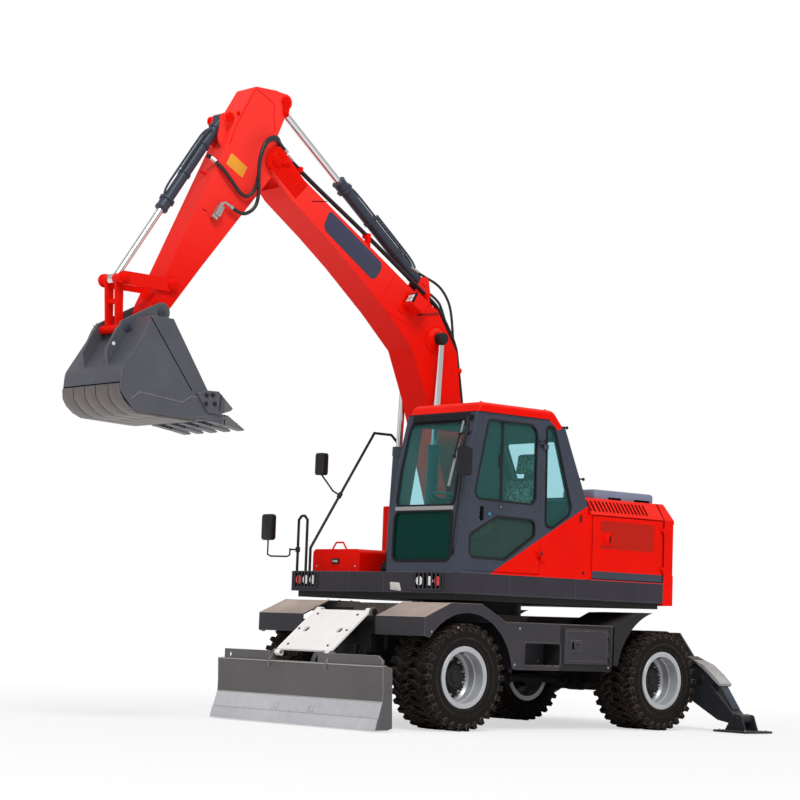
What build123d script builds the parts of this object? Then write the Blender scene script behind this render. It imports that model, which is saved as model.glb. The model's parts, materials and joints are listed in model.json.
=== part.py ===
"""A wheeled excavator, as separate solids in one frame.

Millimetres. +X is forward, +Y is the driver's left and +Z is up. The origin lies on the ground,
under the slewing axis. Each node is written to parts/NODE.step.
"""

import math
import os

from build123d import *

# ---------------------------------------------------------------- stance
GAP = 0.3  # between fixed neighbours with curved or hidden faces
FIT = 0.05  # radial clearance of pins and rods in their bores
MOVE = 6.0  # between pieces that move past each other

BODY_HALF = 1250.0  # half of the width over fenders and house
WHEELBASE = 2800.0
FRONT_AXLE_X = 1150.0
REAR_AXLE_X = FRONT_AXLE_X - WHEELBASE

# ---------------------------------------------------------------- wheels
TYRE_R = 510.0
TYRE_W = 250.0
TWIN_GAP = 30.0
TYRE_OUTER_Y = 1240.0
BEAD_R = 254.5
TYRE_WALL = 24.0
LUG_COUNT = 20
LUG_SIZE = (44.0, 112.0)
LUG_SKEW = 32.0
LUG_ROW_Y = 62.0
LUG_H = 26.0
RIM_WALL = 8.0
RIM_FLANGE_R = 295.0
RIM_DISC_T = 15.0
HUB_R = 150.0
HUB_FLANGE_R = 165.0
HUB_NOSE_R = 117.0
HUB_NOSE_L = 115.0
TWIN_MID_Y = TYRE_OUTER_Y - TYRE_W - TWIN_GAP / 2
KINGPIN_Y = 760.0
KINGPIN_R = 22.0
KINGPIN_HALF = 172.0
YOKE_HALF_H = 165.0
YOKE_EAR_T = 50.0
YOKE_R = 60.0
AXLE_TUBE_HALF = 75.0
DIFF_R = 145.0
TIE_LEVER = 110.0  # behind the kingpin
TIE_Z = 650.0

# ---------------------------------------------------------------- undercarriage
CHASSIS_HALF = 360.0
CHASSIS_BOTTOM = 720.0
CHASSIS_TOP = 1020.0
CHASSIS_FRONT_X = 1600.0
CHASSIS_REAR_X = -2260.0
BELLY_Z = 590.0
PEDESTAL_R = 680.0
PEDESTAL_T = 40.0
RING_R = 620.0
RING_TOP = 1120.0
FENDER_INNER_Y = 550.0
FENDER_SKIN = 12.0
FENDER_TOP = 1208.0
BOX_TOP = 1047.0
BOX_BOTTOM = 592.0
ARCH_R = 610.0
REAR_ARCH_R = 725.0

# ---------------------------------------------------------------- blade
BLADE_HALF = 1250.0
BLADE_LOWER_PIN = (1630.0, 560.0)  # on the chassis, x and z
BLADE_UPPER_PIN = (1630.0, 1100.0)
BLADE_LINK = (500.0, -420.0)  # both links, from chassis to blade
BLADE_ARM_Y = 270.0
BLADE_ARM_T = 40.0
BLADE_CYL_BASE = (1665.0, 930.0)
BLADE_CYL_EYE = (2000.0, 330.0)
BLADE_RAISE = 45.0
BLADE_LOWER = -12.0

# ---------------------------------------------------------------- outriggers
OUT_FRONT_X = CHASSIS_REAR_X
OUT_REAR_X = -2632.0
OUT_PLATE_T = 18.0
OUT_LEG_X = (-2290.0, -2460.0)
OUT_CYL_X = -2535.0
OUT_CYL_BASE = (150.0, 900.0)
OUT_CYL_EYE = (1204.0, 529.0)
OUT_PIVOT = (960.0, 440.0)  # y and z
OUT_FOOT = (1700.0, 140.0)
OUT_RAISE = 95.0
PAD_HALF = 215.0
PAD_T = 22.0
PAD_BOTTOM = 6.0

# ---------------------------------------------------------------- house
DECK_BOTTOM = 1240.0
DECK_STEP = 1300.0
DECK_TOP = 1500.0
DECK_FRONT_X = 1335.0
TAIL_R = 2150.0
DECK_REAR_X = 550.0 - TAIL_R
CAB_RIGHT_Y = 255.0
CAB_WALL = 50.0
CAB_TOP = 3050.0
ROOF_TOP = 3150.0
DOOR_T = 45.0
DOOR_HINGE = (214.0, 1272.0)  # x and y
HOOD_FRONT_X = -500.0
HOOD_EDGE_Z = 2160.0
HOOD_TOP = 2330.0
HOOD_WALL = 25.0
HOOD_DOOR_HINGE_X = DECK_REAR_X + 18.0

# ---------------------------------------------------------------- boom, arm and bucket
BOOM_Y = -85.0
BOOM_HALF = 185.0
BOOM_FOOT = (90.0, 1740.0)
BOOM_TIP = (2776.0, 5376.0)
BOOM_CYL_Y = 265.0  # from the boom's middle plane
BOOM_CYL_BASE = (742.0, 1560.0)
BOOM_CHEEK_T = 10.0  # each bracket plate at the boom cylinders' base
BOOM_CYL_EYE = (639.0, 3881.0)
BOOM_LOWER = -75.0
BOOM_RAISE = 8.0
ARM_HALF = 140.0
ARM_CYL_BASE = (729.0, 4457.0)
ARM_CYL_EYE = (2665.0, 5969.0)
ARM_OUT = -76.0
ARM_IN = 36.0
BUCKET_PIN = (4053.0, 3744.0)
GUIDE_PIN = (3917.0, 4014.0)
LINK_PIN = (4455.0, 4016.0)
BUCKET_LINK_PIN = (4433.0, 3563.0)
BUCKET_CYL_BASE = (3332.0, 5697.0)
BUCKET_HALF = 460.0
BUCKET_DUMP = -85.0
BUCKET_CURL = 57.0
PIN_R = 35.0

# ---------------------------------------------------------------- cylinders
BLADE_CYL = dict(
    r=48.0, rod_r=25.0, base_r=46.0, eye_r=38.0,
    half=50.0, eye_half=32.0, pin_r=24.0, length=402.0,
)
OUT_CYL = dict(
    r=52.0, rod_r=30.0, base_r=56.0, eye_r=50.0,
    half=54.0, eye_half=38.0, pin_r=28.0, length=645.0,
)
BOOM_CYL = dict(
    r=60.0, rod_r=34.0, base_r=56.0, eye_r=62.0,
    half=62.0, eye_half=38.0, pin_r=32.0, length=1235.0,
)
ARM_CYL = dict(
    r=60.0, rod_r=36.0, base_r=58.0, eye_r=56.0,
    half=62.0, eye_half=40.0, pin_r=32.0, length=1419.0,
)
BUCKET_CYL = dict(
    r=52.0, rod_r=32.0, base_r=54.0, eye_r=50.0,
    half=54.0, eye_half=36.0, pin_r=30.0, length=1144.0,
)


# ---------------------------------------------------------------- helpers
def v(a, b, axis, place):
    """A point of the plane across an axis, at a place along that axis."""
    if axis == "y":
        return Vector(a, place, b)
    if axis == "x":
        return Vector(place, a, b)
    return Vector(a, b, place)


def outline(points, axis, place):
    """A flat face from points (a, b) or (a, b, corner radius)."""
    corners = [v(p[0], p[1], axis, place) for p in points]
    face = Face(Wire.make_polygon(corners, close=True))
    for p in points:
        if len(p) == 3:
            corner = v(p[0], p[1], axis, place)
            near = min(face.vertices(), key=lambda k: (Vector(*k) - corner).length)
            face = face.fillet_2d(p[2], [near])
    return face


def prism(points, axis, lo, hi):
    """An outline drawn out along an axis from lo to hi."""
    step = {"x": Vector(1, 0, 0), "y": Vector(0, 1, 0), "z": Vector(0, 0, 1)}[axis]
    return Solid.extrude(outline(points, axis, lo), step * (hi - lo))


def block(x, y, z):
    """A box from its ranges along x, y and z."""
    size = [abs(r[1] - r[0]) for r in (x, y, z)]
    middle = [(r[1] + r[0]) / 2 for r in (x, y, z)]
    return Pos(*middle) * Box(*size)


def drum(a, b, axis, lo, hi, r):
    """A cylinder along an axis, with its centre at (a, b) in the plane across it."""
    start = v(a, b, axis, lo)
    along = v(a, b, axis, hi) - start
    return Solid.make_cylinder(r, along.length, Plane(origin=start, z_dir=along))


def bar(p, q, r):
    """A round bar between two points."""
    start, end = Vector(*p), Vector(*q)
    return Solid.make_cylinder(r, (end - start).length, Plane(origin=start, z_dir=end - start))


def turned(profile, x, z):
    """A solid of revolution about the wheel axis through (x, z), from points (y, radius)."""
    face = Face(Wire.make_polygon([Vector(x, y, z + r) for y, r in profile], close=True))
    return Solid.revolve(face, 360, Axis((x, 0, z), (0, 1, 0)))


def lever(pins, widths, axis, lo, hi):
    """A plate along a chain of pins, with a round end at each pin and straight sides."""
    whole = None
    for i, (p, w) in enumerate(zip(pins, widths)):
        piece = drum(p[0], p[1], axis, lo, hi, w)
        whole = piece if whole is None else whole + piece
        if i:
            q, u = pins[i - 1], widths[i - 1]
            d = math.hypot(p[0] - q[0], p[1] - q[1])
            n = (-(p[1] - q[1]) / d, (p[0] - q[0]) / d)
            side = [
                (q[0] + n[0] * u, q[1] + n[1] * u),
                (p[0] + n[0] * w, p[1] + n[1] * w),
                (p[0] - n[0] * w, p[1] - n[1] * w),
                (q[0] - n[0] * u, q[1] - n[1] * u),
            ]
            whole = whole + prism(side, axis, lo, hi)
    return whole


def flip(shape):
    """The same shape on the other side of the machine."""
    return shape.mirror(Plane.XZ)


def along(p, q, s):
    """The point at distance s from p towards q, in a plane."""
    d = math.hypot(q[0] - p[0], q[1] - p[1])
    return (p[0] + (q[0] - p[0]) * s / d, p[1] + (q[1] - p[1]) * s / d)


def turn(p, centre, degrees):
    """A plane point turned about a centre, in degrees from +a towards +b."""
    t = math.radians(degrees)
    a, b = p[0] - centre[0], p[1] - centre[1]
    return (
        centre[0] + a * math.cos(t) - b * math.sin(t),
        centre[1] + a * math.sin(t) + b * math.cos(t),
    )


def from_pins(rows):
    """Corners of an outline from rows of a pin, two offsets from it and an optional corner radius."""
    return [(pin[0] + a, pin[1] + b, *radius) for pin, a, b, *radius in rows]


def gap_between(p, q):
    """The distance between two plane points."""
    return math.hypot(q[0] - p[0], q[1] - p[1])


def barrel(base, eye, axis, place, r, rod_r, eye_r, half, length, bore_from):
    """A cylinder's barrel: an eye at its base pin, a tube and a gland with the rod's bore."""
    start, end = along(base, eye, eye_r * 0.7), along(base, eye, length)
    gland = along(base, eye, length - 90)
    tube = bar(tuple(v(*start, axis, place)), tuple(v(*end, axis, place)), r)
    tube += bar(tuple(v(*gland, axis, place)), tuple(v(*end, axis, place)), r + 7)
    tube += drum(*base, axis, place - half, place + half, eye_r)
    inner = along(base, eye, bore_from)
    past = along(base, eye, length + 1)
    tube -= bar(tuple(v(*inner, axis, place)), tuple(v(*past, axis, place)), rod_r + FIT)
    return tube


def piston_rod(base, eye, axis, place, rod_r, eye_r, half, inner_from):
    """A cylinder's rod, from its inner end to the eye at its pin."""
    start, end = along(base, eye, inner_from), along(eye, base, eye_r * 0.7)
    rod = bar(tuple(v(*start, axis, place)), tuple(v(*end, axis, place)), rod_r)
    return rod + drum(*eye, axis, place - half, place + half, eye_r)


NODES = {}


def keep(name, shape):
    """Hold a finished node until all are written."""
    NODES[name] = shape


# ---------------------------------------------------------------- wheels and axles
def lugs():
    """The skewed lugs of one tyre, in two staggered rows out to its full radius."""
    pitch = 360 / LUG_COUNT
    deep = 80.0
    lean = math.radians(LUG_SKEW)
    side = (LUG_SIZE[0] * math.cos(lean) + LUG_SIZE[1] * math.sin(lean)) / 2
    top = math.sqrt(TYRE_R ** 2 - side ** 2)
    first = math.degrees(math.asin(side / TYRE_R))
    made = []
    for s in (1, -1):
        for i in range(LUG_COUNT):
            lug = Pos(0, s * LUG_ROW_Y, top - deep / 2) * Rot(0, 0, s * LUG_SKEW) * Box(*LUG_SIZE, deep)
            made.append(Rot(0, first + (i + s / 4) * pitch, 0) * lug)
    return made


def tread_tyre():
    """One tyre about the origin: crown with lugs, walls and beads, open towards the rim."""
    half, wall = TYRE_W / 2, TYRE_WALL
    crown = TYRE_R - LUG_H
    profile = [
        (-half + 33, BEAD_R),
        (-half + 33, RIM_FLANGE_R + 2),
        (-half + 18, RIM_FLANGE_R + 16),
        (-half, RIM_FLANGE_R + 62),
        (-half, crown - 55),
        (-half + 10, crown - 14),
        (-half + 34, crown),
        (half - 34, crown),
        (half - 10, crown - 14),
        (half, crown - 55),
        (half, RIM_FLANGE_R + 62),
        (half - 18, RIM_FLANGE_R + 16),
        (half - 33, RIM_FLANGE_R + 2),
        (half - 33, BEAD_R),
    ]
    hollow = [
        (half - 33 - wall, BEAD_R - 1),
        (half - 33 - wall, BEAD_R),
        (half - wall, BEAD_R + 80),
        (half - wall, TYRE_R - 85),
        (half - wall - 20, TYRE_R - 52),
        (-half + wall + 20, TYRE_R - 52),
        (-half + wall, TYRE_R - 85),
        (-half + wall, BEAD_R + 80),
        (-half + 33 + wall, BEAD_R),
        (-half + 33 + wall, BEAD_R - 1),
    ]
    return turned(profile, 0, 0).fuse(*lugs()) - turned(hollow, 0, 0)


TYRE = tread_tyre()


def tyre(x, centre_y):
    """One treaded tyre in its place."""
    return Pos(x, centre_y, TYRE_R) * TYRE


def rim(x, flange_y, disc_y, facing):
    """One deep rim: flanges, barrel and the disc at the middle of the twin."""
    barrel_r = BEAD_R - GAP
    inner = barrel_r - RIM_WALL
    far = flange_y - facing * (TYRE_W - 2 * 33 + 24)
    profile = [
        (flange_y, inner),
        (flange_y, RIM_FLANGE_R),
        (flange_y - facing * 10, RIM_FLANGE_R),
        (flange_y - facing * 10, barrel_r),
        (far + facing * 10, barrel_r),
        (far + facing * 10, RIM_FLANGE_R),
        (far, RIM_FLANGE_R),
        (far, barrel_r),
        (disc_y, barrel_r),
        (disc_y, HUB_NOSE_R + 1),
        (disc_y + facing * RIM_DISC_T, HUB_NOSE_R + 1),
        (disc_y + facing * RIM_DISC_T, inner - 30),
        (disc_y + facing * (RIM_DISC_T + 30), inner),
    ]
    return turned(profile, x, TYRE_R)


def wheel_pieces(x):
    """Twin tyres, and the rims with their turning hub, of a left wheel."""
    outer_y = TYRE_OUTER_Y - TYRE_W / 2
    inner_y = outer_y - TYRE_W - TWIN_GAP
    tyres = Compound([tyre(x, outer_y), tyre(x, inner_y)])
    flange = TYRE_W / 2 - 33 + 12 + GAP
    outer_rim = rim(x, outer_y + flange, TWIN_MID_Y, 1)
    inner_rim = rim(x, inner_y - flange, TWIN_MID_Y, -1)
    hub = [
        (KINGPIN_Y + 80, 0),
        (KINGPIN_Y + 80, HUB_R),
        (TWIN_MID_Y - RIM_DISC_T - 30, HUB_R),
        (TWIN_MID_Y - RIM_DISC_T - 25, HUB_FLANGE_R),
        (TWIN_MID_Y - RIM_DISC_T, HUB_FLANGE_R),
        (TWIN_MID_Y - RIM_DISC_T, HUB_NOSE_R),
        (TWIN_MID_Y + HUB_NOSE_L - 20, HUB_NOSE_R),
        (TWIN_MID_Y + HUB_NOSE_L, HUB_NOSE_R - 20),
        (TWIN_MID_Y + HUB_NOSE_L, 0),
    ]
    hub_solid = turned(hub, x, TYRE_R)
    spindle = drum(x, TYRE_R, "y", KINGPIN_Y + 79, KINGPIN_Y + 131, 60 + FIT)
    return tyres, Compound([outer_rim, inner_rim, hub_solid - spindle])


for end, axle_x in (("front", FRONT_AXLE_X), ("rear", REAR_AXLE_X)):
    tyres, rims = wheel_pieces(axle_x)
    keep(f"tyres_{end}_left", tyres)
    keep(f"rims_{end}_left", rims)
    keep(f"tyres_{end}_right", flip(tyres))
    keep(f"rims_{end}_right", flip(rims))


def axle_beam(x, tube_to):
    """The differential, the two tubes and the pad under the chassis."""
    body = turned([(-170, 0), (-170, 120), (-90, DIFF_R), (90, DIFF_R), (170, 120), (170, 0)], x, TYRE_R)
    half = AXLE_TUBE_HALF
    tubes = block((x - half, x + half), (-tube_to, tube_to), (TYRE_R - half, TYRE_R + half))
    seat = block((x - 60, x + 110), (-150, 150), (TYRE_R + 100, CHASSIS_BOTTOM))
    return body + tubes + seat


def front_axle():
    """The steered axle with its forked ends."""
    beam = axle_beam(FRONT_AXLE_X, KINGPIN_Y - 110)
    for side in (1, -1):
        for up in (1, -1):
            z = (TYRE_R + up * YOKE_HALF_H, TYRE_R + up * (YOKE_HALF_H - YOKE_EAR_T))
            y = side * KINGPIN_Y
            ear = drum(FRONT_AXLE_X, y, "z", min(z), max(z), YOKE_R)
            root = side * (KINGPIN_Y - 150)
            ear += block((FRONT_AXLE_X - YOKE_R, FRONT_AXLE_X + YOKE_R), (root, y), z)
            beam += ear
            beam -= drum(FRONT_AXLE_X, y, "z", min(z) - 1, max(z) + 1, KINGPIN_R + FIT)
        y = (side * (KINGPIN_Y - 150), side * (KINGPIN_Y - 110))
        z = (TYRE_R - YOKE_HALF_H, TYRE_R + YOKE_HALF_H)
        beam += block((FRONT_AXLE_X - YOKE_R, FRONT_AXLE_X + YOKE_R), y, z)
    return beam


def rear_axle():
    """The rigid axle with a spindle at each end."""
    beam = axle_beam(REAR_AXLE_X, KINGPIN_Y - 60)
    for side in (1, -1):
        collar = (side * (KINGPIN_Y - 60), side * (KINGPIN_Y + 79))
        beam += drum(REAR_AXLE_X, TYRE_R, "y", *collar, HUB_R - 15)
        spindle = (side * (KINGPIN_Y + 70), side * (KINGPIN_Y + 130))
        beam += drum(REAR_AXLE_X, TYRE_R, "y", *spindle, 60)
    return beam


def knuckle():
    """The left steering knuckle: kingpin, body, spindle and tie-rod lever."""
    x, y = FRONT_AXLE_X, KINGPIN_Y
    inner = YOKE_HALF_H - YOKE_EAR_T - 1
    body = drum(x, y, "z", TYRE_R - inner, TYRE_R + inner, 55)
    body += drum(x, y, "z", TYRE_R - KINGPIN_HALF, TYRE_R + KINGPIN_HALF, KINGPIN_R)
    body += drum(x, TYRE_R, "y", y, y + 79, 62)
    body += drum(x, TYRE_R, "y", y + 70, y + 130, 60)
    arm_z = (TIE_Z + 30, TIE_Z + 55)
    body += drum(x, y, "z", TYRE_R + KINGPIN_HALF, arm_z[1], KINGPIN_R)
    body += lever([(x, y), (x - TIE_LEVER, y)], [45, 26], "z", *arm_z)
    body += drum(x - TIE_LEVER, y, "z", TIE_Z - 18, arm_z[1], 12)
    return body


keep("front_axle", front_axle())
keep("rear_axle", rear_axle())
keep("steering_knuckle_left", knuckle())
keep("steering_knuckle_right", flip(knuckle()))

tie_x = FRONT_AXLE_X - TIE_LEVER
tie = bar((tie_x, -KINGPIN_Y + 20, TIE_Z), (tie_x, KINGPIN_Y - 20, TIE_Z), 17)
for side in (1, -1):
    tie += drum(tie_x, side * KINGPIN_Y, "z", TIE_Z - 18, TIE_Z + 19, 30)
    tie -= drum(tie_x, side * KINGPIN_Y, "z", TIE_Z - 19, TIE_Z + 20, 12 + FIT)
keep("tie_rod", tie)

gearbox = block((-330, 130), (-190, 190), (400, BELLY_Z))
gearbox += drum(0, 480, "x", -480, 290, 85)
for reach in ((290, FRONT_AXLE_X - DIFF_R + 12), (REAR_AXLE_X + DIFF_R - 12, -480)):
    gearbox += bar((reach[0], 0, 480), (reach[1], 0, 480), 42)
gearbox -= turned([(-200, 0), (-200, DIFF_R + GAP), (200, DIFF_R + GAP), (200, 0)], FRONT_AXLE_X, TYRE_R)
gearbox -= turned([(-200, 0), (-200, DIFF_R + GAP), (200, DIFF_R + GAP), (200, 0)], REAR_AXLE_X, TYRE_R)
keep("driveline", gearbox)


# ---------------------------------------------------------------- chassis
def chassis():
    """The welded undercarriage frame with its slewing pedestal and lugs."""
    x = (CHASSIS_REAR_X, CHASSIS_FRONT_X)
    frame = block(x, (-CHASSIS_HALF, CHASSIS_HALF), (CHASSIS_BOTTOM, CHASSIS_TOP))
    frame += prism([(-950, CHASSIS_BOTTOM), (-760, BELLY_Z), (300, BELLY_Z), (480, CHASSIS_BOTTOM)],
                   "y", -CHASSIS_HALF + 60, CHASSIS_HALF - 60)
    frame += drum(0, 0, "z", CHASSIS_TOP, CHASSIS_TOP + PEDESTAL_T, PEDESTAL_R)
    frame += drum(0, 0, "z", CHASSIS_TOP, RING_TOP, RING_R)
    wing = [(-720, 0), (-420, 550), (420, 550), (720, 0), (420, -550), (-420, -550)]
    frame += prism(wing, "z", CHASSIS_TOP - 120, CHASSIS_TOP)
    side = (FENDER_INNER_Y, -FENDER_INNER_Y)
    frame += block((-680, 360), side, (CHASSIS_BOTTOM + 60, CHASSIS_TOP - 40))
    frame += block((-1290, -1150), side, (CHASSIS_TOP + 50, CHASSIS_TOP + 110))
    frame += block((-1290, -1150), (-300, 300), (CHASSIS_TOP, CHASSIS_TOP + 110))
    under = FENDER_TOP - FENDER_SKIN
    frame += block((1080, 1260), (-720, 720), (under - 50, under))
    frame += block((1080, 1260), (-300, 300), (CHASSIS_TOP, under))
    lower, upper = BLADE_LOWER_PIN, BLADE_UPPER_PIN
    for s in (1, -1):
        for off in (-1, 1):
            y = s * BLADE_ARM_Y + off * (BLADE_ARM_T / 2 + 1 + 12)
            pins = [(lower[0] - 90, CHASSIS_BOTTOM + 40), lower]
            frame += lever(pins, [70, 60], "y", y - 12, y + 12)
        pins = [(upper[0] - 80, CHASSIS_TOP - 60), upper]
        y = s * 425.0
        frame += lever(pins, [55, 45], "y", y - 12, y + 12)
        frame += block((CHASSIS_FRONT_X - 90, CHASSIS_FRONT_X), (s * 350, s * 437), (900, CHASSIS_TOP))
        pin = (s * (BLADE_ARM_Y - BLADE_ARM_T / 2 - 26), s * (BLADE_ARM_Y + BLADE_ARM_T / 2 + 26))
        frame += drum(*lower, "y", *pin, PIN_R - 7)
        frame += drum(*upper, "y", s * 380, s * 440, 22)
        frame += lever([(CHASSIS_FRONT_X - 50, BLADE_CYL_BASE[1]), BLADE_CYL_BASE], [60, 48],
                       "y", s * 52, s * 72)
    frame += drum(*BLADE_CYL_BASE, "y", -72, 72, BLADE_CYL["pin_r"])
    return frame


keep("chassis_frame", chassis())


# ---------------------------------------------------------------- fenders and side boxes
STEP_X = (-106.0, 390.0)
STEP_Z = (632.0, 855.0)
BIN_X = (-764.0, -175.0)
BIN_Z = (677.0, 993.0)
BIN_DOOR_T = 12.0
BIN_HINGE = (-792.0, BODY_HALF + 18.0)


def fender():
    """The left front fender, the side box with its step and bin, and the rear fender."""
    y = (FENDER_INNER_Y, BODY_HALF)
    skirt = [
        (1708, 890),
        (1708, 1064),
        (1373, FENDER_TOP),
        (972, FENDER_TOP),
        (642, BOX_TOP),
        (-860, BOX_TOP),
        (-840, BOX_BOTTOM, 30),
        (500, BOX_BOTTOM),
    ]
    body = prism(skirt, "y", *y)
    t = FENDER_SKIN
    room = [
        (1708 - t, 700),
        (1708 - t, 1064 - t + 3),
        (1370, FENDER_TOP - t),
        (975, FENDER_TOP - t),
        (645, BOX_TOP - t),
        (420, BOX_TOP - t),
        (420, 500),
    ]
    body -= prism(room, "y", y[0] - 1, y[1] - t)
    body -= drum(FRONT_AXLE_X, TYRE_R, "y", y[0] - 1, y[1] + 1, ARCH_R)
    step = [(STEP_X[0], STEP_Z[0], 26), (STEP_X[1], STEP_Z[0], 26),
            (STEP_X[1], STEP_Z[1], 26), (STEP_X[0], STEP_Z[1], 26)]
    body -= prism(step, "y", BODY_HALF - 230, BODY_HALF + 1)
    body -= block(BIN_X, (FENDER_INNER_Y + 150, BODY_HALF + 1), BIN_Z)
    body += prism([(-885, 650), (-860, 650), (-860, BOX_TOP), (-885, BOX_TOP)], "y", y[0], y[1] - 30)
    rear = [
        (-885, 650, 20),
        (-885, BOX_TOP),
        (-930, BOX_TOP + 10),
        (-1240, 1190),
        (-1468, 1199),
        (-1650, 1190),
        (-1650, 650),
    ]
    body -= drum(0, 0, "z", CHASSIS_TOP - GAP, BOX_TOP + 1, PEDESTAL_R + GAP)
    guard = prism(rear, "y", *y) - drum(REAR_AXLE_X, 500, "y", y[0] - 1, y[1] + 1, REAR_ARCH_R)
    body += guard.solids().sort_by(SortBy.VOLUME)[-1]
    for z in (BIN_Z[0] + 60, BIN_Z[1] - 60):
        body += bar((BIN_HINGE[0], BIN_HINGE[1], z - 40), (BIN_HINGE[0], BIN_HINGE[1], z), 8)
        body += block((BIN_HINGE[0] - 22, BIN_HINGE[0] - 2), (BODY_HALF, BIN_HINGE[1]), (z - 40, z))
    return body


def bin_door():
    """The bin's door, with its latch pad and hinge barrels."""
    lap = 15.0
    y0 = BODY_HALF + GAP
    door = block((BIN_X[0] - lap, BIN_X[1] + lap), (y0, y0 + BIN_DOOR_T), (BIN_Z[0] - lap, BIN_Z[1] + lap))
    door += block((-395, -225), (y0 + BIN_DOOR_T, y0 + BIN_DOOR_T + 4), (775, 895))
    for z in (BIN_Z[0] + 60, BIN_Z[1] - 60):
        door += bar((BIN_HINGE[0], BIN_HINGE[1], z + GAP), (BIN_HINGE[0], BIN_HINGE[1], z + 40), 8)
        door += block((BIN_HINGE[0], BIN_X[0] - lap + 10), (y0 + 6, y0 + BIN_DOOR_T + 4), (z + GAP, z + 40))
    return door


left = fender()
keep("fenders", Compound([left, flip(left)]))
keep("bin_door_left", bin_door())
keep("bin_door_right", flip(bin_door()))


# ---------------------------------------------------------------- blade and its parallel links
def blade_point(pin):
    """Where a link from a chassis pin meets the blade."""
    return (pin[0] + BLADE_LINK[0], pin[1] + BLADE_LINK[1])


def blade():
    """The blade: curved face, end plates, ribs, top guards and the lugs for its links."""
    face = [
        (2278, 14),
        (2244, 128),
        (2199, 274),
        (2196, 373),
        (2206, 595),
        (2165, 606),
        (2165, 560),
        (2168, 373),
        (2170, 270),
        (2214, 122),
        (2248, 14),
    ]
    body = prism(face, "y", -BLADE_HALF, BLADE_HALF)
    end = [(2262, 20), (2232, 125), (2185, 274), (2182, 373), (2190, 600), (2094, 582), (2070, 40), (2145, 16)]
    for y in (-BLADE_HALF, -800, -430, 410, 780, BLADE_HALF - 16):
        body += prism(end, "y", y, y + 20 if y < BLADE_HALF - 20 else BLADE_HALF)
    body += prism([(2066, 34), (2130, 16), (2240, 16), (2225, 46), (2080, 60)], "y", -BLADE_HALF, BLADE_HALF)
    for y in ((-1165, -446), (290, 1155)):
        body += block((2170, 2190), y, (560, 695))
    body += prism([(1155, 560), (1155, 695), (1222, 650), (1222, 560)], "x", 2170, 2190)
    low, high = blade_point(BLADE_LOWER_PIN), blade_point(BLADE_UPPER_PIN)
    for s in (1, -1):
        for off in (-1, 1):
            y = s * BLADE_ARM_Y + off * (BLADE_ARM_T / 2 + 1 + 12)
            body += lever([low, (2200, low[1] + 20)], [48, 48], "y", y - 12, y + 12)
        pin = (s * (BLADE_ARM_Y - BLADE_ARM_T / 2 - 26), s * (BLADE_ARM_Y + BLADE_ARM_T / 2 + 26))
        body += drum(*low, "y", *pin, PIN_R - 7)
        body += lever([high, (2170, 560)], [38, 55], "y", s * 413, s * 437)
        body += drum(*high, "y", s * 380, s * 440, 22)
    body -= drum(-1080, 640, "x", 2160, 2200, 24)
    return body


def blade_arms():
    """The two lower links, joined by a tube and carrying the lift cylinder's lug."""
    low = blade_point(BLADE_LOWER_PIN)
    body = None
    for s in (1, -1):
        y = (s * BLADE_ARM_Y - BLADE_ARM_T / 2, s * BLADE_ARM_Y + BLADE_ARM_T / 2)
        arm = lever([BLADE_LOWER_PIN, low], [52, 46], "y", *y)
        body = arm if body is None else body + arm
    middle = along(BLADE_LOWER_PIN, low, gap_between(BLADE_LOWER_PIN, low) * 0.5)
    body += drum(*middle, "y", -BLADE_ARM_Y, BLADE_ARM_Y, 44)
    for s in (1, -1):
        body += lever([middle, BLADE_CYL_EYE], [40, 38], "y", s * 33, s * 49)
        pin = (s * (BLADE_ARM_Y - BLADE_ARM_T), s * (BLADE_ARM_Y + BLADE_ARM_T))
        for p in (BLADE_LOWER_PIN, low):
            body -= drum(*p, "y", *pin, PIN_R - 7 + FIT)
    return body


def blade_link():
    """The broad upper link, a pierced plate with a hinge eye at each corner."""
    upper = BLADE_UPPER_PIN
    end = blade_point(upper)
    length = gap_between(upper, end)
    nx, nz = -(end[1] - upper[1]) / length, (end[0] - upper[0]) / length
    a, b = along(upper, end, 20), along(upper, end, length - 20)
    lo, hi = 12.0, 32.0
    plate = [(a[0] + nx * lo, a[1] + nz * lo), (b[0] + nx * lo, b[1] + nz * lo),
             (b[0] + nx * hi, b[1] + nz * hi), (a[0] + nx * hi, a[1] + nz * hi)]
    body = prism(plate, "y", -408, 408)
    for s in (1, -1):
        body += drum(*upper, "y", s * 340, s * 408, 36)
        body += drum(*end, "y", s * 340, s * 408, 32)
        body -= drum(*upper, "y", s * 330, s * 409, 22 + FIT)
        body -= drum(*end, "y", s * 330, s * 409, 22 + FIT)
        mid = along(upper, end, length / 2)
        hole = [tuple(v(mid[0] + nx * t, mid[1] + nz * t, "y", s * 250)) for t in (0, 40)]
        body -= bar(hole[0], hole[1], 38)
    return body


keep("blade", blade())
keep("blade_arms", blade_arms())
keep("blade_upper_link", blade_link())


# ---------------------------------------------------------------- cylinders
REST_CLEAR = 95.0  # from the base pin to the rod's inner end when closed


def cylinder(name, base, eye, closed_eye, axis, places, spec):
    """Both halves of a hydraulic cylinder, or of two that move alike."""
    stroke_in = gap_between(base, eye) - gap_between(base, closed_eye)
    barrels, rods = [], []
    for place in places:
        tube = barrel(base, eye, axis, place, spec["r"], spec["rod_r"], spec["base_r"], spec["half"],
                      spec["length"], REST_CLEAR - 15)
        lo, hi = place - spec["half"] - 1, place + spec["half"] + 1
        barrels.append(tube - drum(*base, axis, lo, hi, spec["pin_r"] + FIT))
        rods.append(piston_rod(base, eye, axis, place, spec["rod_r"], spec["eye_r"], spec["eye_half"],
                               REST_CLEAR + stroke_in))
    keep(f"{name}_barrel", barrels[0] if len(barrels) == 1 else Compound(barrels))
    keep(f"{name}_rod", rods[0] if len(rods) == 1 else Compound(rods))


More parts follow.
